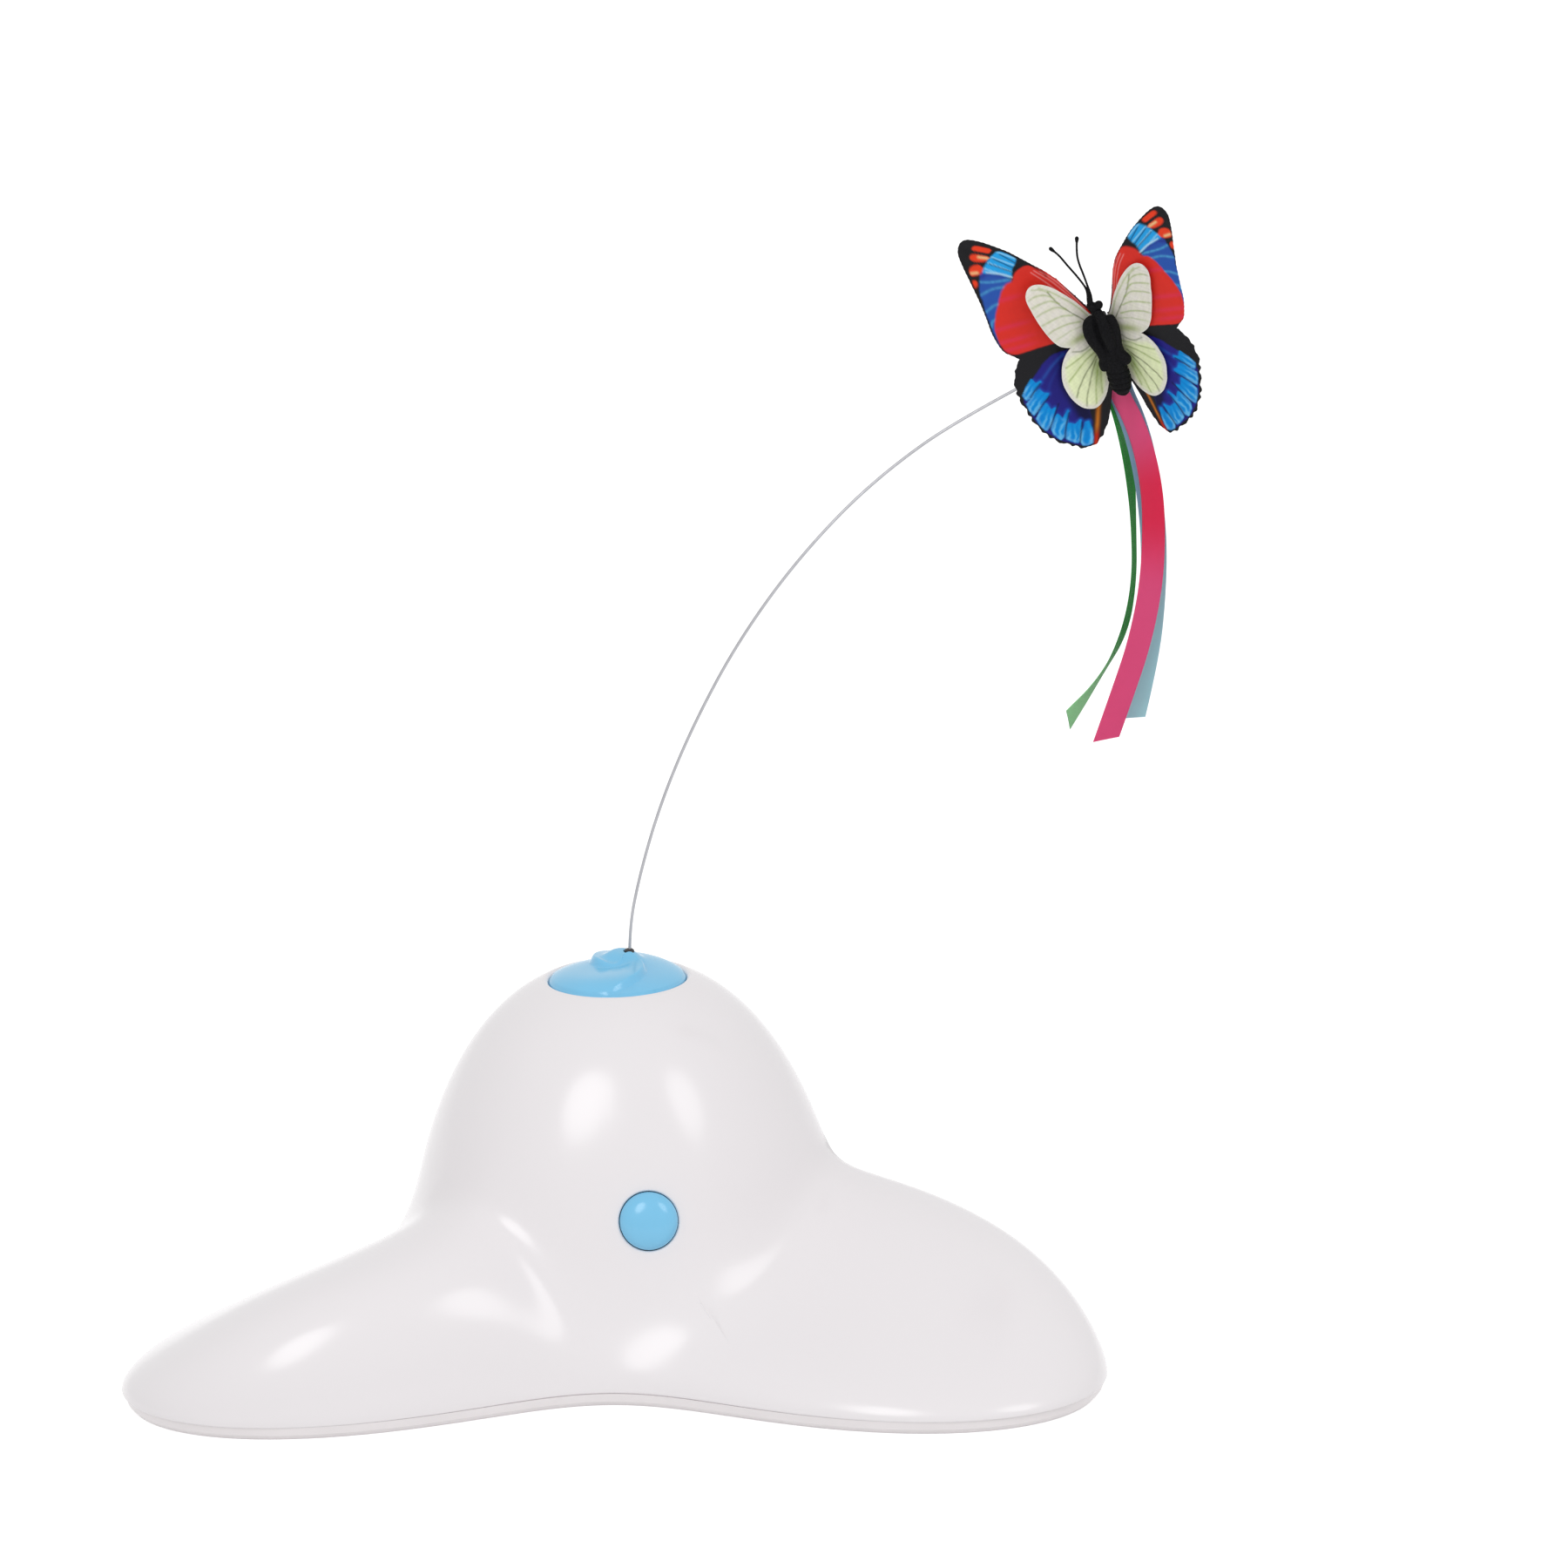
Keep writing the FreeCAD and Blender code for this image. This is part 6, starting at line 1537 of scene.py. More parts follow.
@dataclass
class WingPainter:
    """Draws the wing prints by formula, in millimetres of the flat wing."""

    black: Triple = (27, 27, 30)
    red: Triple = (224, 52, 42)
    rose: Triple = (226, 52, 92)
    sky: Triple = (40, 166, 236)
    pale: Triple = (140, 208, 246)
    royal: Triple = (44, 88, 176)
    orange: Triple = (238, 66, 36)
    cream: Triple = (244, 206, 146)
    amber: Triple = (206, 120, 34)
    vein_hub: Pair = (4.0, 4.0)
    cell_growth: float = 0.3
    hind_field: tuple[Pair, ...] = (
        (7.0, 1.7), (9.3, 2.0), (11.9, 1.2), (13.8, -0.3), (16.3, -2.4), (17.9, -4.2),
        (18.9, -6.2), (18.8, -9.4), (17.7, -13.2), (15.9, -16.6), (13.6, -18.8), (11.1, -20.3),
        (8.9, -21.3), (7.4, -21.2), (6.8, -18.0), (6.4, -14.5), (6.3, -8.0), (6.5, -2.0),
        (7.0, 1.7))
    hind_cells: tuple[tuple[Pair, ...], ...] = (
        ((16.2, -2.3), (15.6, -3.6), (14.5, -3.4), (16.2, -5.0), (17.4, -6.1), (18.3, -6.4),
         (18.7, -5.3), (17.6, -3.7)),
        ((15.2, -5.2), (14.6, -6.3), (13.6, -6.7), (15.1, -8.3), (16.7, -9.7), (17.7, -10.3),
         (18.4, -8.9), (18.4, -7.6), (16.9, -6.4)),
        ((14.7, -8.9), (14.1, -10.7), (13.1, -10.5), (14.0, -12.1), (15.2, -13.8),
         (16.3, -14.6), (17.1, -13.0), (17.3, -11.5), (16.2, -10.2)),
        ((13.0, -12.2), (12.2, -13.7), (10.6, -12.1), (11.3, -14.1), (12.7, -17.2),
         (13.8, -17.8), (14.8, -16.2), (15.0, -14.9), (14.1, -13.2)),
        ((11.3, -15.1), (9.9, -15.9), (8.7, -15.3), (9.1, -17.5), (9.6, -19.0), (10.5, -19.8),
         (11.8, -18.9), (12.5, -18.0), (12.1, -16.4)),
        ((7.7, -16.1), (7.3, -16.1), (7.2, -17.9), (7.4, -20.0), (7.8, -21.1), (8.7, -21.3),
         (9.4, -20.9), (9.7, -20.1), (9.6, -19.4), (8.5, -17.6)))
    hind_veins: tuple[tuple[Pair, ...], ...] = (
        ((17.4, -6.2), (16.0, -4.9), (14.6, -3.8)), ((17.7, -10.9), (15.6, -8.9), (13.6, -7.4)),
        ((15.5, -14.9), (13.9, -12.5), (12.1, -9.8)), ((13.0, -18.3), (12.1, -15.8), (10.5, -12.6)),
        ((10.1, -20.2), (9.1, -17.5), (8.4, -15.8)))
    # Line, half width, strength, and whether it is a dark one.
    inner_veins: tuple[tuple[tuple[Pair, ...], float, float, bool], ...] = (
        (((1.6, 5.6), (3.6, 8.2), (5.8, 11.0), (7.6, 13.8), (9.0, 17.0)), 0.15, 0.75, True),
        (((1.2, 6.6), (3.2, 10.2), (5.6, 13.6), (8.4, 16.8), (10.6, 18.6)), 0.2, 0.5, False),
        (((3.8, 7.4), (6.8, 8.2), (9.8, 8.2), (11.6, 7.8)), 0.2, 0.6, False),
        (((5.0, 9.6), (7.6, 10.5), (10.4, 10.4), (12.4, 10.2)), 0.2, 0.6, False),
        (((6.2, 11.6), (8.2, 12.9), (10.8, 13.0), (12.9, 12.6)), 0.2, 0.6, False),
        (((7.2, 13.4), (9.0, 14.8), (11.4, 15.1), (13.4, 14.8)), 0.2, 0.6, False),
        (((7.9, 15.0), (9.8, 16.6), (11.8, 17.1), (13.5, 16.8)), 0.2, 0.55, False),
        (((8.8, 16.8), (10.4, 18.1), (12.2, 18.9)), 0.18, 0.5, False),
        (((3.0, 6.2), (6.0, 6.4), (9.0, 6.0), (10.9, 5.4)), 0.18, 0.4, False),
        (((2.0, 2.2), (3.6, 1.2), (5.4, 0.9), (7.4, 1.6)), 0.2, 0.55, True),
        (((2.0, 0.6), (4.4, 0.2), (7.0, -0.6), (9.8, -1.2)), 0.22, 0.6, False),
        (((2.6, -0.6), (5.0, -1.4), (7.6, -3.0), (10.0, -4.6)), 0.24, 0.65, False),
        (((2.6, -1.6), (4.4, -3.2), (6.2, -4.6), (8.2, -6.8), (9.4, -8.8)), 0.2, 0.75, True),
        (((2.8, -2.4), (4.4, -4.6), (5.8, -7.0), (7.2, -9.8), (7.8, -11.6)), 0.2, 0.65, True),
        (((2.6, -3.4), (3.8, -6.2), (4.8, -9.0), (5.6, -12.0)), 0.22, 0.6, False),
        (((2.2, -4.0), (3.0, -7.0), (3.6, -10.2)), 0.24, 0.6, False))

    def outer(self, x: Array, y: Array) -> Array:
        """The outer wing: black ground, red field, blue bands, tip spots and hind cells.

        Args:
            x: Places out from the fold.
            y: Places towards the head.

        Returns:
            A linear colour for each place, in the grid's shape.
        """
        shape, x, y = x.shape, x.ravel(), y.ravel()
        warp = 0.22 * ripple(x, y, 4.0, 0.7)
        ground = np.tile(linear(*self.black), (len(x), 1))
        board = Canvas(x, y, ground * (1 + 0.25 * ripple(x, y, 3.0, 2.2))[:, None])
        self.fore_bands(board, warp)
        self.red_field(board, warp)
        self.tip_spots(board, warp)
        board.lay(self.black, smooth(4.25, 3.85, y - 0.02 * x + 0.25 * warp))
        self.hind_wing(board, warp)
        edge = np.vstack([through(OUTER_FORE, 90), through(OUTER_HIND, 90)])
        rim = smooth(0.62, 0.28, inside(x, y, edge) + 0.4 * warp)
        share = np.clip(0.4 + smooth(2.5, 0.5, y) + smooth(21, 25, y), 0, 1)
        board.lay(self.black, rim * share * smooth(7.4, 9.4, x + 0.6 * (y > 18)))
        return board.paint.reshape(shape + (3,))

    def fore_bands(self, board: Canvas, warp: Array) -> None:
        """The royal and the sky blue band of the fore wing, with their streaks."""
        x, y = board.x, board.y
        cover = board.field((
            (13.8, 21.6), (16.0, 23.9), (18.6, 25.2), (20.2, 24.4), (20.9, 22.0), (21.2, 19.0),
            (21.2, 14.5), (20.9, 10.5), (20.5, 7.6), (20.1, 9.0), (17.0, 16.0), (14.5, 20.4),
            (13.8, 21.6)), 60, (-0.25, 0.3), warp)
        board.lay(self.royal, cover)
        board.draw((((14.0, 21.6), (16.2, 22.0), (18.8, 22.6), (20.8, 23.4)),
                    ((15.6, 20.4), (18.4, 20.8), (21.0, 20.3)),
                    ((17.4, 17.2), (19.4, 17.0), (21.0, 16.2)),
                    ((19.0, 14.2), (20.4, 13.6), (21.0, 12.4))), 14, 0.26, (92, 186, 228),
                   0.75 * cover * (0.75 + 0.25 * ripple(x, y, 1.3)))
        board.draw((((15.0, 22.9), (18.0, 24.4), (20.0, 24.2)),), 12, 0.5, (40, 44, 140),
                   0.7 * cover)
        cover = board.field((
            (13.2, 23.6), (11.9, 25.3), (12.6, 26.8), (14.2, 28.3), (15.8, 28.5), (17.2, 27.5),
            (18.6, 26.2), (19.4, 25.2), (18.0, 24.3), (15.8, 23.3), (14.0, 21.9), (13.2, 23.6)),
            60, (-0.2, 0.25), 0.6 * warp)
        board.lay(self.sky, cover)
        slant = (y - 0.86 * x) / 1.32
        streak = smooth(0.35, 1.0, np.sin(2 * math.pi * slant / 1.45 + 0.8))
        board.lay(self.pale, 0.8 * cover * streak)
        board.draw((((12.2, 24.9), (14.8, 27.9)), ((13.0, 24.0), (16.4, 27.4)),
                    ((13.4, 23.2), (17.6, 26.6))), 0, 0.16, (20, 50, 90), 0.75 * cover)
        board.draw((((13.7, 22.0), (15.6, 23.4), (18.6, 24.9)),), 14, 0.17, (200, 230, 244),
                   np.full(len(x), 0.85))

    def red_field(self, board: Canvas, warp: Array) -> None:
        """The red field with its rose bands and fine lines."""
        x, y = board.x, board.y
        cover = board.field((
            (0.5, 5.0), (1.5, 8.8), (3.3, 13.0), (5.1, 17.7), (6.9, 20.7), (8.7, 22.6),
            (10.4, 23.5), (12.3, 23.1), (13.6, 21.8), (13.9, 21.1), (15.3, 20.9), (16.6, 19.8),
            (17.4, 18.4), (18.6, 16.3), (19.6, 14.4), (20.3, 12.1), (20.5, 9.5), (20.0, 7.1),
            (19.3, 5.4), (17.7, 4.6), (13.0, 4.4), (8.0, 4.2), (3.0, 4.4), (0.5, 5.0)),
            110, (-0.18, 0.2), 0.35 * warp)
        board.lay(self.red, cover)
        for level in (17.6, 11.2, 8.0, 5.9):
            band = np.exp(-((y - level - 0.06 * (x - 15)) / 0.55) ** 2) * smooth(11, 16, x)
            board.lay(self.rose, 0.55 * band * cover)
        board.draw((((2.6, 10.0), (4.6, 14.6), (6.6, 18.6), (8.9, 21.8)),
                    ((3.4, 10.6), (5.6, 15.2), (7.6, 18.8), (9.6, 21.6)),
                    ((2.0, 9.4), (3.9, 14.2), (5.9, 18.4), (7.8, 21.2))), 24, 0.13,
                   (244, 150, 150), 0.7 * cover)
        board.draw((((8.6, 22.4), (7.4, 20.9), (6.9, 19.6)),), 12, 0.22, (110, 26, 26),
                   0.6 * cover)

    def tip_spots(self, board: Canvas, warp: Array) -> None:
        """The orange spots near the tip; two of them have a cream streak."""
        for spot, streak in (
                (((16.2, 29.3), (16.5, 29.9), (18.3, 31.0), (19.6, 31.5), (20.0, 30.8),
                  (18.6, 29.8), (17.0, 28.9), (16.2, 29.3)), ()),
                (((17.0, 27.8), (17.6, 28.5), (19.2, 29.4), (20.5, 29.8), (21.1, 29.0),
                  (20.2, 28.0), (18.4, 27.4), (17.0, 27.8)), (((17.5, 27.9), (19.2, 28.8)),)),
                (((18.9, 25.9), (19.6, 27.1), (21.0, 27.3), (21.9, 26.6), (21.9, 25.3),
                  (20.8, 24.9), (19.6, 25.1), (18.9, 25.9)), (((20.4, 25.4), (21.6, 25.7)),)),
                (((21.1, 22.6), (21.0, 23.6), (21.7, 24.0), (22.2, 23.2), (21.9, 22.1),
                  (21.1, 22.6)), ())):
            cover = board.field(spot, 36, (-0.16, 0.2), 0.3 * warp)
            board.lay(self.orange, cover)
            board.draw(streak, 0, 0.3, self.cream, 0.95 * cover)

    def hind_wing(self, board: Canvas, warp: Array) -> None:
        """The deep blue hind field with bright cells, dark veins and an orange stripe, darkened
        beside the inner wing by a painted shadow.
        """
        x, y = board.x, board.y
        ground = board.field(self.hind_field, 120, (-0.2, 0.3), 0.7 * warp)
        board.lay((38, 35, 132), ground)
        board.draw((((8.1, 1.1), (11.2, -0.8), (13.5, -2.7)),), 16, 0.42, (44, 84, 178),
                   0.75 * ground)
        board.draw((((9.6, -1.2), (12.0, -3.8), (13.4, -6.0)),), 16, 0.4, (40, 60, 160),
                   0.5 * ground)
        # Painted shadow: the field beside the inner hind wing is darkened to near black navy, where
        # the inner wing's shadow falls.
        shade = smooth(11.4, 9.4, x + 0.18 * np.abs(y + 6.0)) * smooth(0.8, -1.2, y)
        board.lay((12, 12, 48), 0.9 * ground * shade)
        reach = np.hypot(x - self.vein_hub[0], y - self.vein_hub[1])
        angle = np.arctan2(y - self.vein_hub[1], x - self.vein_hub[0])
        grain = np.sin(angle * 92 + 2.0 * ripple(x, y, 5.0))
        for cell in self.hind_cells:
            corners = np.array(cell)
            start = np.hypot(*(corners - self.vein_hub).T).min()
            depth = inside(x, y, corners) + self.cell_growth + 0.3 * warp
            halo = smooth(-0.75, 0.05, depth) * smooth(start + 1.6, start - 0.4, reach)
            body = smooth(-0.12, 0.16, depth)
            far = body * smooth(start + 1.2, start + 3.6, reach)
            rim = np.exp(-((depth - 0.34) / 0.24) ** 2)
            for colour, cover in (((36, 88, 196), 0.7 * halo * ground), ((8, 148, 226), body),
                                  ((150, 214, 247), 0.42 * far * rim),
                                  ((120, 204, 245), 0.62 * far * smooth(0.1, 1.0, grain)),
                                  ((10, 110, 200), 0.4 * body * smooth(0.0, -0.9, grain))):
                board.lay(colour, cover)
        board.draw(self.hind_veins, 20, 0.2, (14, 18, 66), 0.85 * ground)
        stripe = (((4.4, -12.4), (5.0, -14.3), (5.6, -16.5), (6.2, -18.6), (6.7, -20.4),
                   (7.1, -21.8)),)
        warm = smooth(-20.2, -17.2, y)
        board.draw(stripe, 30, 0.36, (206, 44, 16), 0.95 * (1 - warm))
        board.draw(stripe, 30, 0.36, self.amber, 0.92 * warm)

    def inner(self, x: Array, y: Array) -> Array:
        """The inner wing: cream film with fine green veins and a greener hind part.

        Args:
            x: Places out from the fold.
            y: Places towards the head.

        Returns:
            A linear colour for each place, in the grid's shape.
        """
        shape, x, y = x.shape, x.ravel(), y.ravel()
        board = Canvas(x, y, np.tile(linear(238, 234, 226), (len(x), 1)))
        board.lay((226, 229, 200), 0.4 * (0.5 + 0.5 * ripple(x, y, 3.6, 0.3)))
        rim = inside(x, y, np.vstack([through(INNER_FORE, 70), through(INNER_HIND, 70)]))
        board.lay((238, 248, 198), 0.88 * smooth(1.6, -0.6, y) * smooth(0.2, 1.5, rim))
        near = np.exp(-(((x - 4.6) / 3.2) ** 2 + ((y - 3.9) / 0.9) ** 2))
        board.lay((160, 178, 88), 0.75 * near)
        near = np.exp(-(((x - 3.2 - 0.12 * (-3 - y)) / 0.9) ** 2 + ((y + 5.0) / 3.6) ** 2))
        board.lay((142, 172, 82), 0.6 * near)
        patchy = 0.8 + 0.2 * ripple(x, y, 2.0, 1.5)
        for line, width, strength, dark in self.inner_veins:
            board.draw((line,), 26, width, (106, 118, 70) if dark else (156, 178, 92),
                       min(1.3 * strength, 0.95) * patchy)
        board.lay((240, 240, 234), 0.5 * smooth(0.45, 0.1, rim) * smooth(2, 5, x))
        fibre = ripple(x + 0.8 * y, y - 0.6 * x, 1.7, 2.0) + ripple(x, y, 0.8, 0.9)
        return (board.paint * (1 + 0.05 * fibre)[:, None]).reshape(shape + (3,))


OUTER_FORE = ((0.0, 7.4), (1.4, 8.6), (2.5, 11.2), (4.1, 15.2), (5.3, 18.0), (7.0, 20.9),
              (8.8, 23.1), (10.8, 25.4), (13.0, 27.8), (15.0, 29.6), (17.2, 31.4), (19.3, 32.8),
              (20.9, 33.4), (22.2, 32.9), (23.1, 31.0), (23.0, 28.0), (22.4, 23.5), (21.8, 19.0),
              (21.5, 15.0), (21.3, 11.0), (20.7, 8.0), (19.9, 5.9), (18.6, 4.6), (17.3, 3.2))
OUTER_HIND = ((17.3, 3.2), (18.2, 2.0), (19.1, 0.3), (19.7, -1.8), (19.9, -4.0), (19.7, -6.0),
              (19.2, -8.2), (18.7, -10.4), (18.1, -12.6), (17.1, -14.6), (16.0, -16.5),
              (14.6, -18.1), (13.1, -19.3), (11.6, -20.3), (10.0, -21.4), (8.5, -21.9),
              (7.0, -21.5), (5.7, -20.4), (4.3, -18.3), (3.1, -15.6), (2.2, -12.8), (1.4, -10.3),
              (0.0, -7.4))
INNER_FORE = ((0.0, 6.8), (1.5, 8.2), (3.3, 11.6), (5.6, 14.9), (8.0, 17.7), (10.2, 19.3),
              (12.0, 19.7), (13.3, 18.9), (13.9, 17.2), (13.6, 14.6), (12.8, 11.0), (11.8, 7.8),
              (10.5, 5.0), (9.2, 3.6), (7.5, 2.7))
INNER_HIND = ((7.5, 2.7), (9.0, 1.6), (10.3, -0.1), (11.1, -2.3), (11.4, -4.6), (11.0, -7.2),
              (10.1, -9.6), (8.6, -11.7), (6.3, -12.9), (4.4, -12.4), (2.8, -10.9), (1.7, -8.9),
              (0.9, -7.0), (0.0, -5.0))


@dataclass
class Butterfly:
    """The film butterfly: body, antennae and wings."""

    def build(self, wardrobe: Wardrobe) -> None:
        """Make the body, the antennae and the four wings."""
        FoamBody().build(wardrobe)
        Antennae().build(wardrobe)
        painter = WingPainter()
        for side, name in ((Side.LEFT, "left"), (Side.RIGHT, "right")):
            left = side is Side.LEFT
            outer = WingFilm(side, OUTER_FORE, OUTER_HIND, name + "_outer_wing", "outer_film",
                             3.75, 20.0 if left else 17.5, (-1.37 if left else -1.1, -2.1),
                             (7.4, -7.4), scallop=0.42, fore_scale=1.0 if left else 0.968)
            outer.build(wardrobe, painter.outer(*outer.sheet()))
            inner = WingFilm(side, INNER_FORE, INNER_HIND, name + "_inner_wing", "inner_film",
                             2.95, 30.0 if left else 21.5, (0.0, -1.75), (6.8, -5.0),
                             crinkle=0.1, bends=True, along=300, out=70)
            inner.build(wardrobe, painter.inner(*inner.sheet()))


# Ribbons

@dataclass
class Ribbon:
    """A limp satin ribbon that hangs from the binding under the tail."""

    name: str
    layer: int
    slot: str
    route: tuple[Quad, ...]
    slant: float = 0.0
    width: float = 5.0
    thickness: float = 0.26
    spacing: float = 0.6
    binding_back: float = 7.2
    binding_half: float = 1.1
    binding_top: float = 4.6
    threads: float = 5.0
    thread_stretch: float = 0.6
    columns: int = 15
    stations: int = 300
    cup: float = 0.22
    cup_pace: float = 17.0
    lip: float = 0.45
    slant_reach: float = 9.0
    side_scale: float = 0.01

    def control(self) -> tuple[Points, Points]:
        """Control points of the route, and the direction across the ribbon at each."""
        depth = -self.binding_top - self.spacing / 2 - self.layer * self.spacing
        bound = [[0, -self.binding_back + step * self.binding_half, depth] for step in (1, -1, -2)]
        hanging = BUTTERFLY.origin + np.array(self.route)[:, :3]
        spots = np.vstack([BUTTERFLY.place(np.array(bound)), hanging])
        across = [BUTTERFLY.turn[:, 0]] * 3
        for i, row in enumerate(self.route, start=len(bound)):
            ahead = unit(spots[min(i + 1, len(spots) - 1)] - spots[i - 1])
            flat = turn_about(2, row[3])[:, 0]
            across.append(unit(flat - ahead * (flat @ ahead)))
        return spots, np.array(across)

    def build(self, wardrobe: Wardrobe) -> None:
        control, across = self.control()
        path = route_points(self.name + "_route", control)
        scale = self.side_scale / MM
        side = route_points(self.name + "_side", across * scale) / scale
        known, count = walked(path), self.stations
        length = float(known[-1])
        places = np.linspace(0, length, count)
        path, side = read_at(path, known, places), unit(read_at(side, known, places))
        ahead = unit(np.gradient(path, axis=0))
        side = unit(side - ahead * (side * ahead).sum(axis=1, keepdims=True))
        up = np.cross(ahead, side)
        s = np.linspace(-1, 1, self.columns)
        cup = smooth(0, 12, places) * self.cup * np.sin(places / self.cup_pace + self.layer)
        cup = cup[:, None]
        lip = 1 - self.lip * smooth(0.86, 1.0, np.abs(s))
        top = cup * (1 - s ** 2) + self.thickness / 2 * lip
        under = (cup * (1 - s ** 2) - self.thickness / 2 * lip)[:, ::-1]
        x = np.r_[s, s[::-1]] * self.width / 2
        section = np.stack([np.broadcast_to(x, (count, len(x))), np.hstack([top, under])], axis=-1)
        pull = smooth(length - self.slant_reach, length, places)[:, None] * self.slant
        pull = pull * (x / (self.width / 2))
        build = Build(self.name + "_satin")
        build.lattice(sweep(path, side, up, section) + ahead[:, None] * pull[..., None])
        thread_x = np.broadcast_to(x * self.threads, (count, len(x)))
        thread_y = np.broadcast_to(places[:, None] * self.threads * self.thread_stretch,
                                   (count, len(x)))
        uv = np.stack([thread_x, thread_y], axis=-1).reshape(-1, 2)
        uv = np.vstack([uv, np.zeros((build.count - len(uv), 2))])
        share = np.broadcast_to(self.shade(places / length)[:, None], (count, len(x))).ravel()
        share = np.r_[share, np.zeros(build.count - len(share))]
        piece = build.object(sharp=75, colours=np.repeat(share[:, None], 3, axis=1), uv=uv)
        wardrobe.dress(piece, self.slot, "butterfly", self.name + "_ribbon")

    def shade(self, share: Array) -> Array:
        """How far the second colour shows at each share of the length."""
        if self.slot == "pink_satin":
            return 0.9 * smooth(0.2, 0.36, share) * smooth(0.62, 0.42, share)
        if self.slot == "green_satin":
            return 0.85 * smooth(0.72, 0.97, share)
        return 0.8 * smooth(0.62, 0.4, share)


RIBBONS = (
    Ribbon("pink", 0, "pink_satin", (
        (2.4, 8.7, -10.6, -38), (7.4, 7.6, -20.3, -34), (10.0, 5.0, -32.8, -27),
        (9.9, 3.0, -45.0, -14), (8.8, 1.8, -55.2, -6), (6.2, 1.4, -66.4, -8),
        (2.8, 1.0, -76.0, -8), (-1.3, 0.6, -87.0, -6)), slant=-1.5),
    Ribbon("blue", 1, "blue_satin", (
        (2.9, 9.7, -10.4, -14), (7.0, 9.4, -20.0, -10), (9.4, 8.0, -32.0, -12),
        (10.4, 6.8, -45.0, -14), (9.8, 5.8, -57.0, -12), (8.2, 5.2, -70.0, -6),
        (4.8, 4.8, -83.4, 0)), slant=-0.8, width=5.6),
    Ribbon("green", 2, "green_satin", (
        (2.4, 11.6, -10.2, 30), (3.4, 12.4, -19.6, 75), (5.9, 11.8, -30.0, 60),
        (6.4, 10.8, -42.0, 74), (6.3, 9.8, -54.0, 73), (3.9, 8.9, -65.6, 63),
        (-1.9, 8.0, -75.4, 78), (-8.9, 7.4, -84.0, 34)), slant=1.5),
)


# Studio

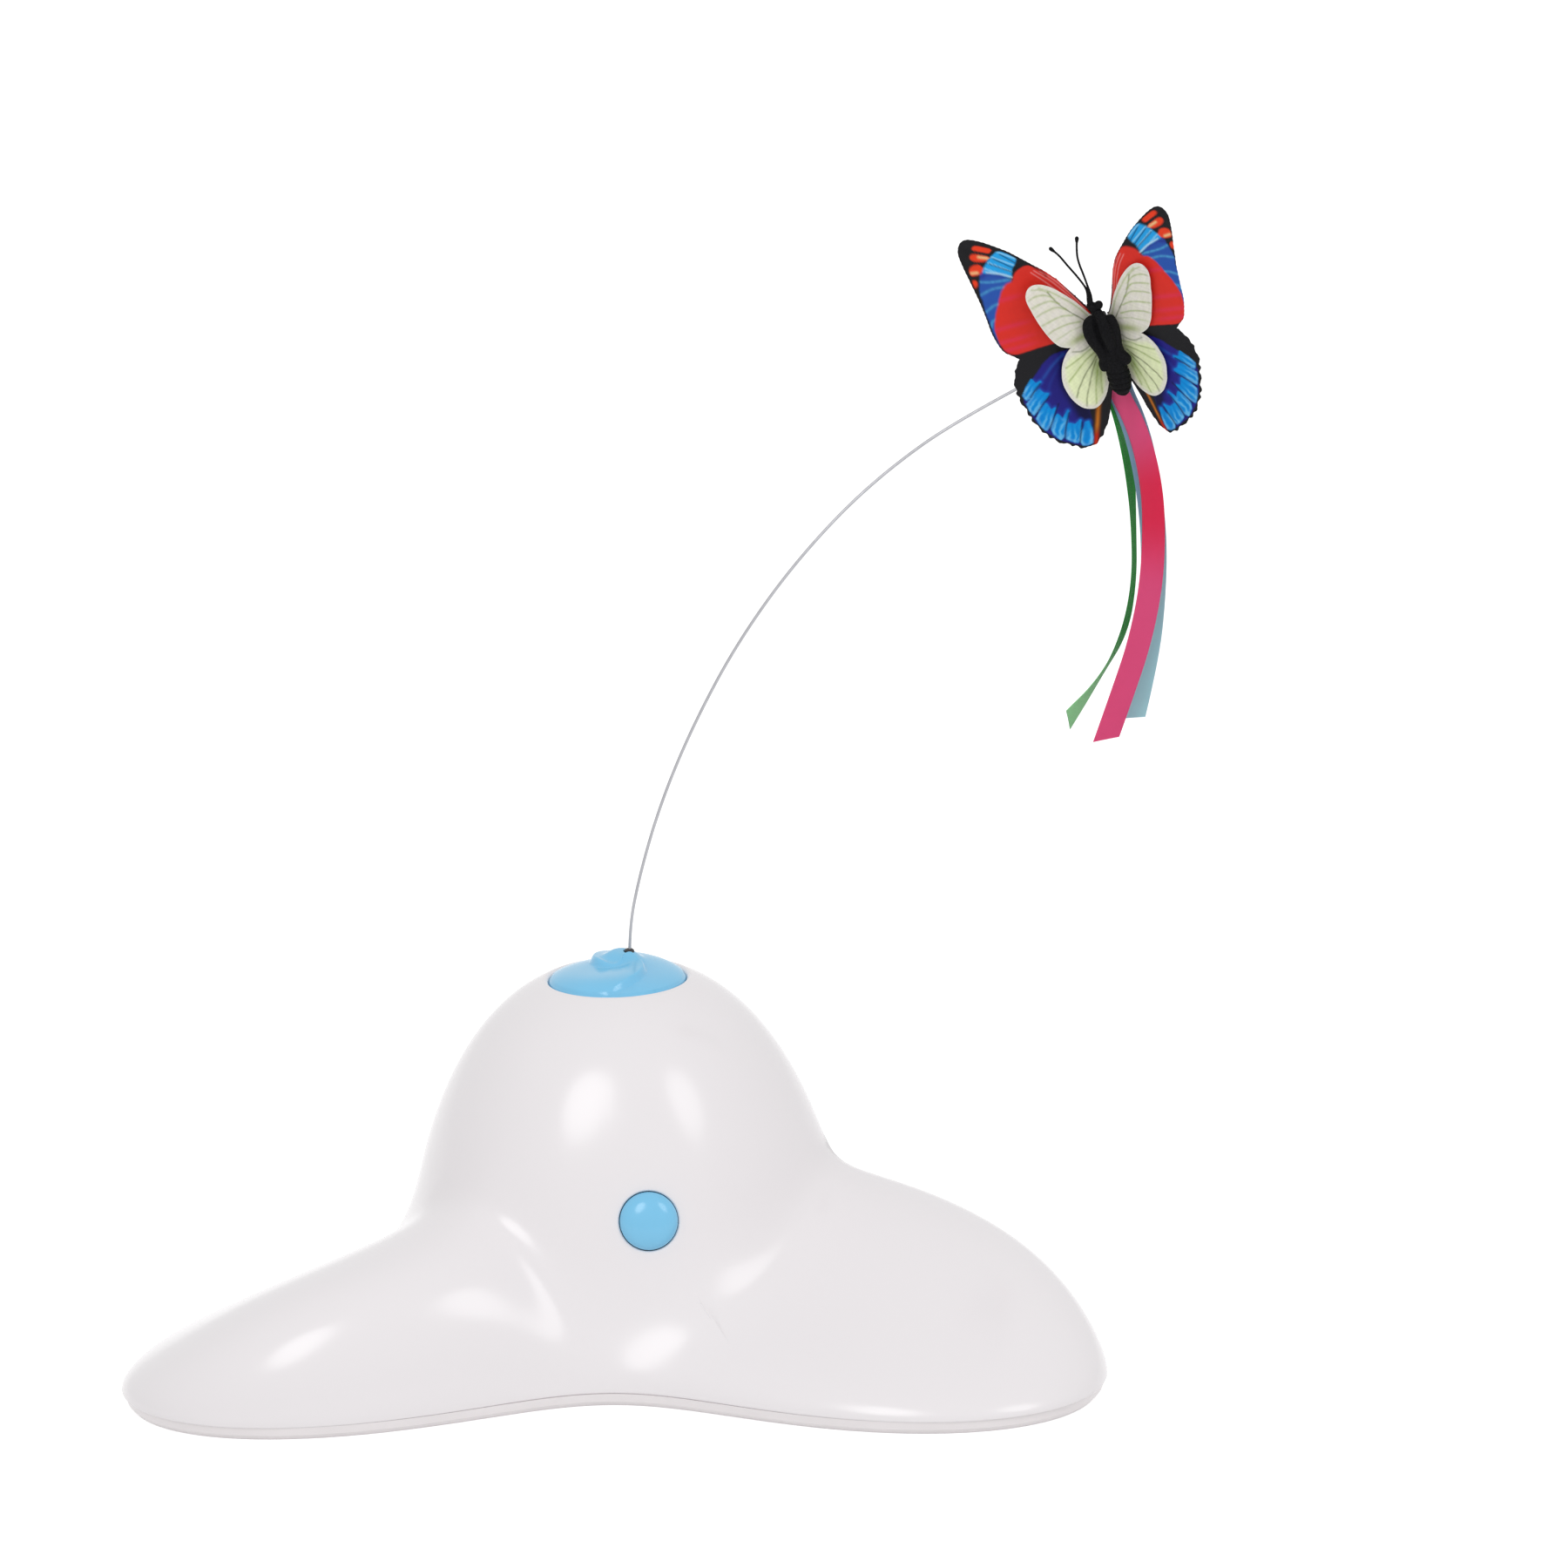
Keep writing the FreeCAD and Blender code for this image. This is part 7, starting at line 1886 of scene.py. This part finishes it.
@dataclass
class Studio:
    """Camera, floor and soft lamps."""

    place: Triple = (0.0, -1.17722, 0.41619)
    right: Triple = (0.99879, -0.03936, -0.02935)
    up: Triple = (0.03801, 0.24162, 0.96963)
    ahead: Triple = (0.03107, 0.96957, -0.24282)
    lens: float = 128.36
    sensor: float = 36.0
    far_clip: float = 60.0
    lamp_aim: Triple = (0.0, 0.0, 0.06)
    floor_half: float = 9.0
    floor_grey: float = 0.86
    floor_glow: float = 0.5
    world_grey: float = 0.7

    def camera(self) -> None:
        """Set the camera at the photograph's place."""
        data = bpy.data.cameras.new("camera")
        data.lens = self.lens
        data.sensor_width = self.sensor
        data.clip_end = self.far_clip
        camera = linked("camera", data)
        axes = Matrix((self.right, self.up, -Vector(self.ahead))).transposed()
        camera.matrix_world = Matrix.Translation(self.place) @ axes.to_4x4()
        bpy.context.scene.camera = camera

    def lamp(self, name: str, azimuth: float, height: float, away: float,
             size: Pair, watts: float) -> None:
        """Add one soft lamp with an oval face that looks at the dome.

        Args:
            name: Its name.
            azimuth: Degrees to the right of straight in front.
            height: Degrees above the table.
            away: Its distance in metres.
            size: Its width and height.
            watts: Its power.
        """
        data = bpy.data.lights.new(name, "AREA")
        data.shape = "ELLIPSE"
        data.size, data.size_y = size
        data.energy = watts
        a, h = math.radians(azimuth), math.radians(height)
        aim = Vector(self.lamp_aim)
        way = Vector((math.sin(a) * math.cos(h), -math.cos(a) * math.cos(h), math.sin(h)))
        lamp = linked(name, data)
        lamp.location = aim + way * away
        lamp.rotation_euler = (-way).to_track_quat("-Z", "Y").to_euler()

    def seen_white(self, kit: NodeKit) -> Socket:
        """One where a camera, glossy or transmission ray looks, nought elsewhere."""
        rays = kit.node("ShaderNodeLightPath")
        total = kit.add(rays.outputs["Is Camera Ray"], rays.outputs["Is Glossy Ray"])
        total = kit.add(total, rays.outputs["Is Transmission Ray"])
        total.node.use_clamp = True
        return total

    def floor(self) -> None:
        """Lay a plain pale floor that keeps the shadow."""
        h = self.floor_half
        mesh = bpy.data.meshes.new("floor")
        mesh.from_pydata([(-h, -h, 0), (h, -h, 0), (h, h, 0), (-h, h, 0)], [], [(0, 1, 2, 3)])
        floor = linked("floor", mesh)
        material = bpy.data.materials.new("pale_floor")
        material.use_nodes = True
        kit = NodeKit(material.node_tree)
        kit.shader.inputs["Base Color"].default_value = (*[self.floor_grey] * 3, 1)
        kit.shader.inputs["Roughness"].default_value = 0.9
        kit.shader.inputs["Specular IOR Level"].default_value = 0.1
        glow = kit.node("ShaderNodeEmission")
        glow.inputs["Strength"].default_value = self.floor_glow
        both = kit.node("ShaderNodeAddShader")
        kit.link(kit.shader.outputs["BSDF"], both.inputs[0])
        kit.link(glow.outputs["Emission"], both.inputs[1])
        mix = kit.node("ShaderNodeMixShader")
        kit.link(self.seen_white(kit), mix.inputs["Fac"])
        kit.link(kit.shader.outputs["BSDF"], mix.inputs[1])
        kit.link(both.outputs["Shader"], mix.inputs[2])
        kit.link(mix.outputs["Shader"], kit.output.inputs["Surface"])
        mesh.materials.append(material)

    def world(self) -> None:
        """Surround the toy with soft grey light that looks white."""
        world = bpy.data.worlds.new("studio")
        world.use_nodes = True
        tree = world.node_tree
        kit = NodeKit.__new__(NodeKit)
        kit.tree = tree
        back = tree.nodes["Background"]
        back.inputs["Color"].default_value = (1, 1, 1, 1)
        level = kit.spread(self.seen_white(kit), self.world_grey, 1.0)
        kit.link(level, back.inputs["Strength"])
        bpy.context.scene.world = world

    def build(self) -> None:
        """Set up the whole studio."""
        self.camera()
        self.floor()
        self.world()
        self.lamp("left_softbox", -22.0, 40.0, 1.25, (0.44, 0.62), 2.9)
        self.lamp("right_softbox", 45.0, 38.0, 1.3, (0.46, 0.6), 2.1)
        bpy.context.scene.view_settings.view_transform = "Standard"
        log.info("studio set")


def main() -> None:
    """Build every piece in order and dress the carried over solids."""
    logging.basicConfig(level=logging.INFO, format="%(name)s: %(message)s")
    Studio().build()
    wardrobe = Wardrobe()
    wardrobe.dress_solids()
    for ribbon in RIBBONS:
        ribbon.build(wardrobe)
    Wand().build(wardrobe)
    TopShell().build(wardrobe)
    TABLE.build(wardrobe)
    PushButton().build(wardrobe)
    Butterfly().build(wardrobe)


if __name__ == "__main__":
    main()
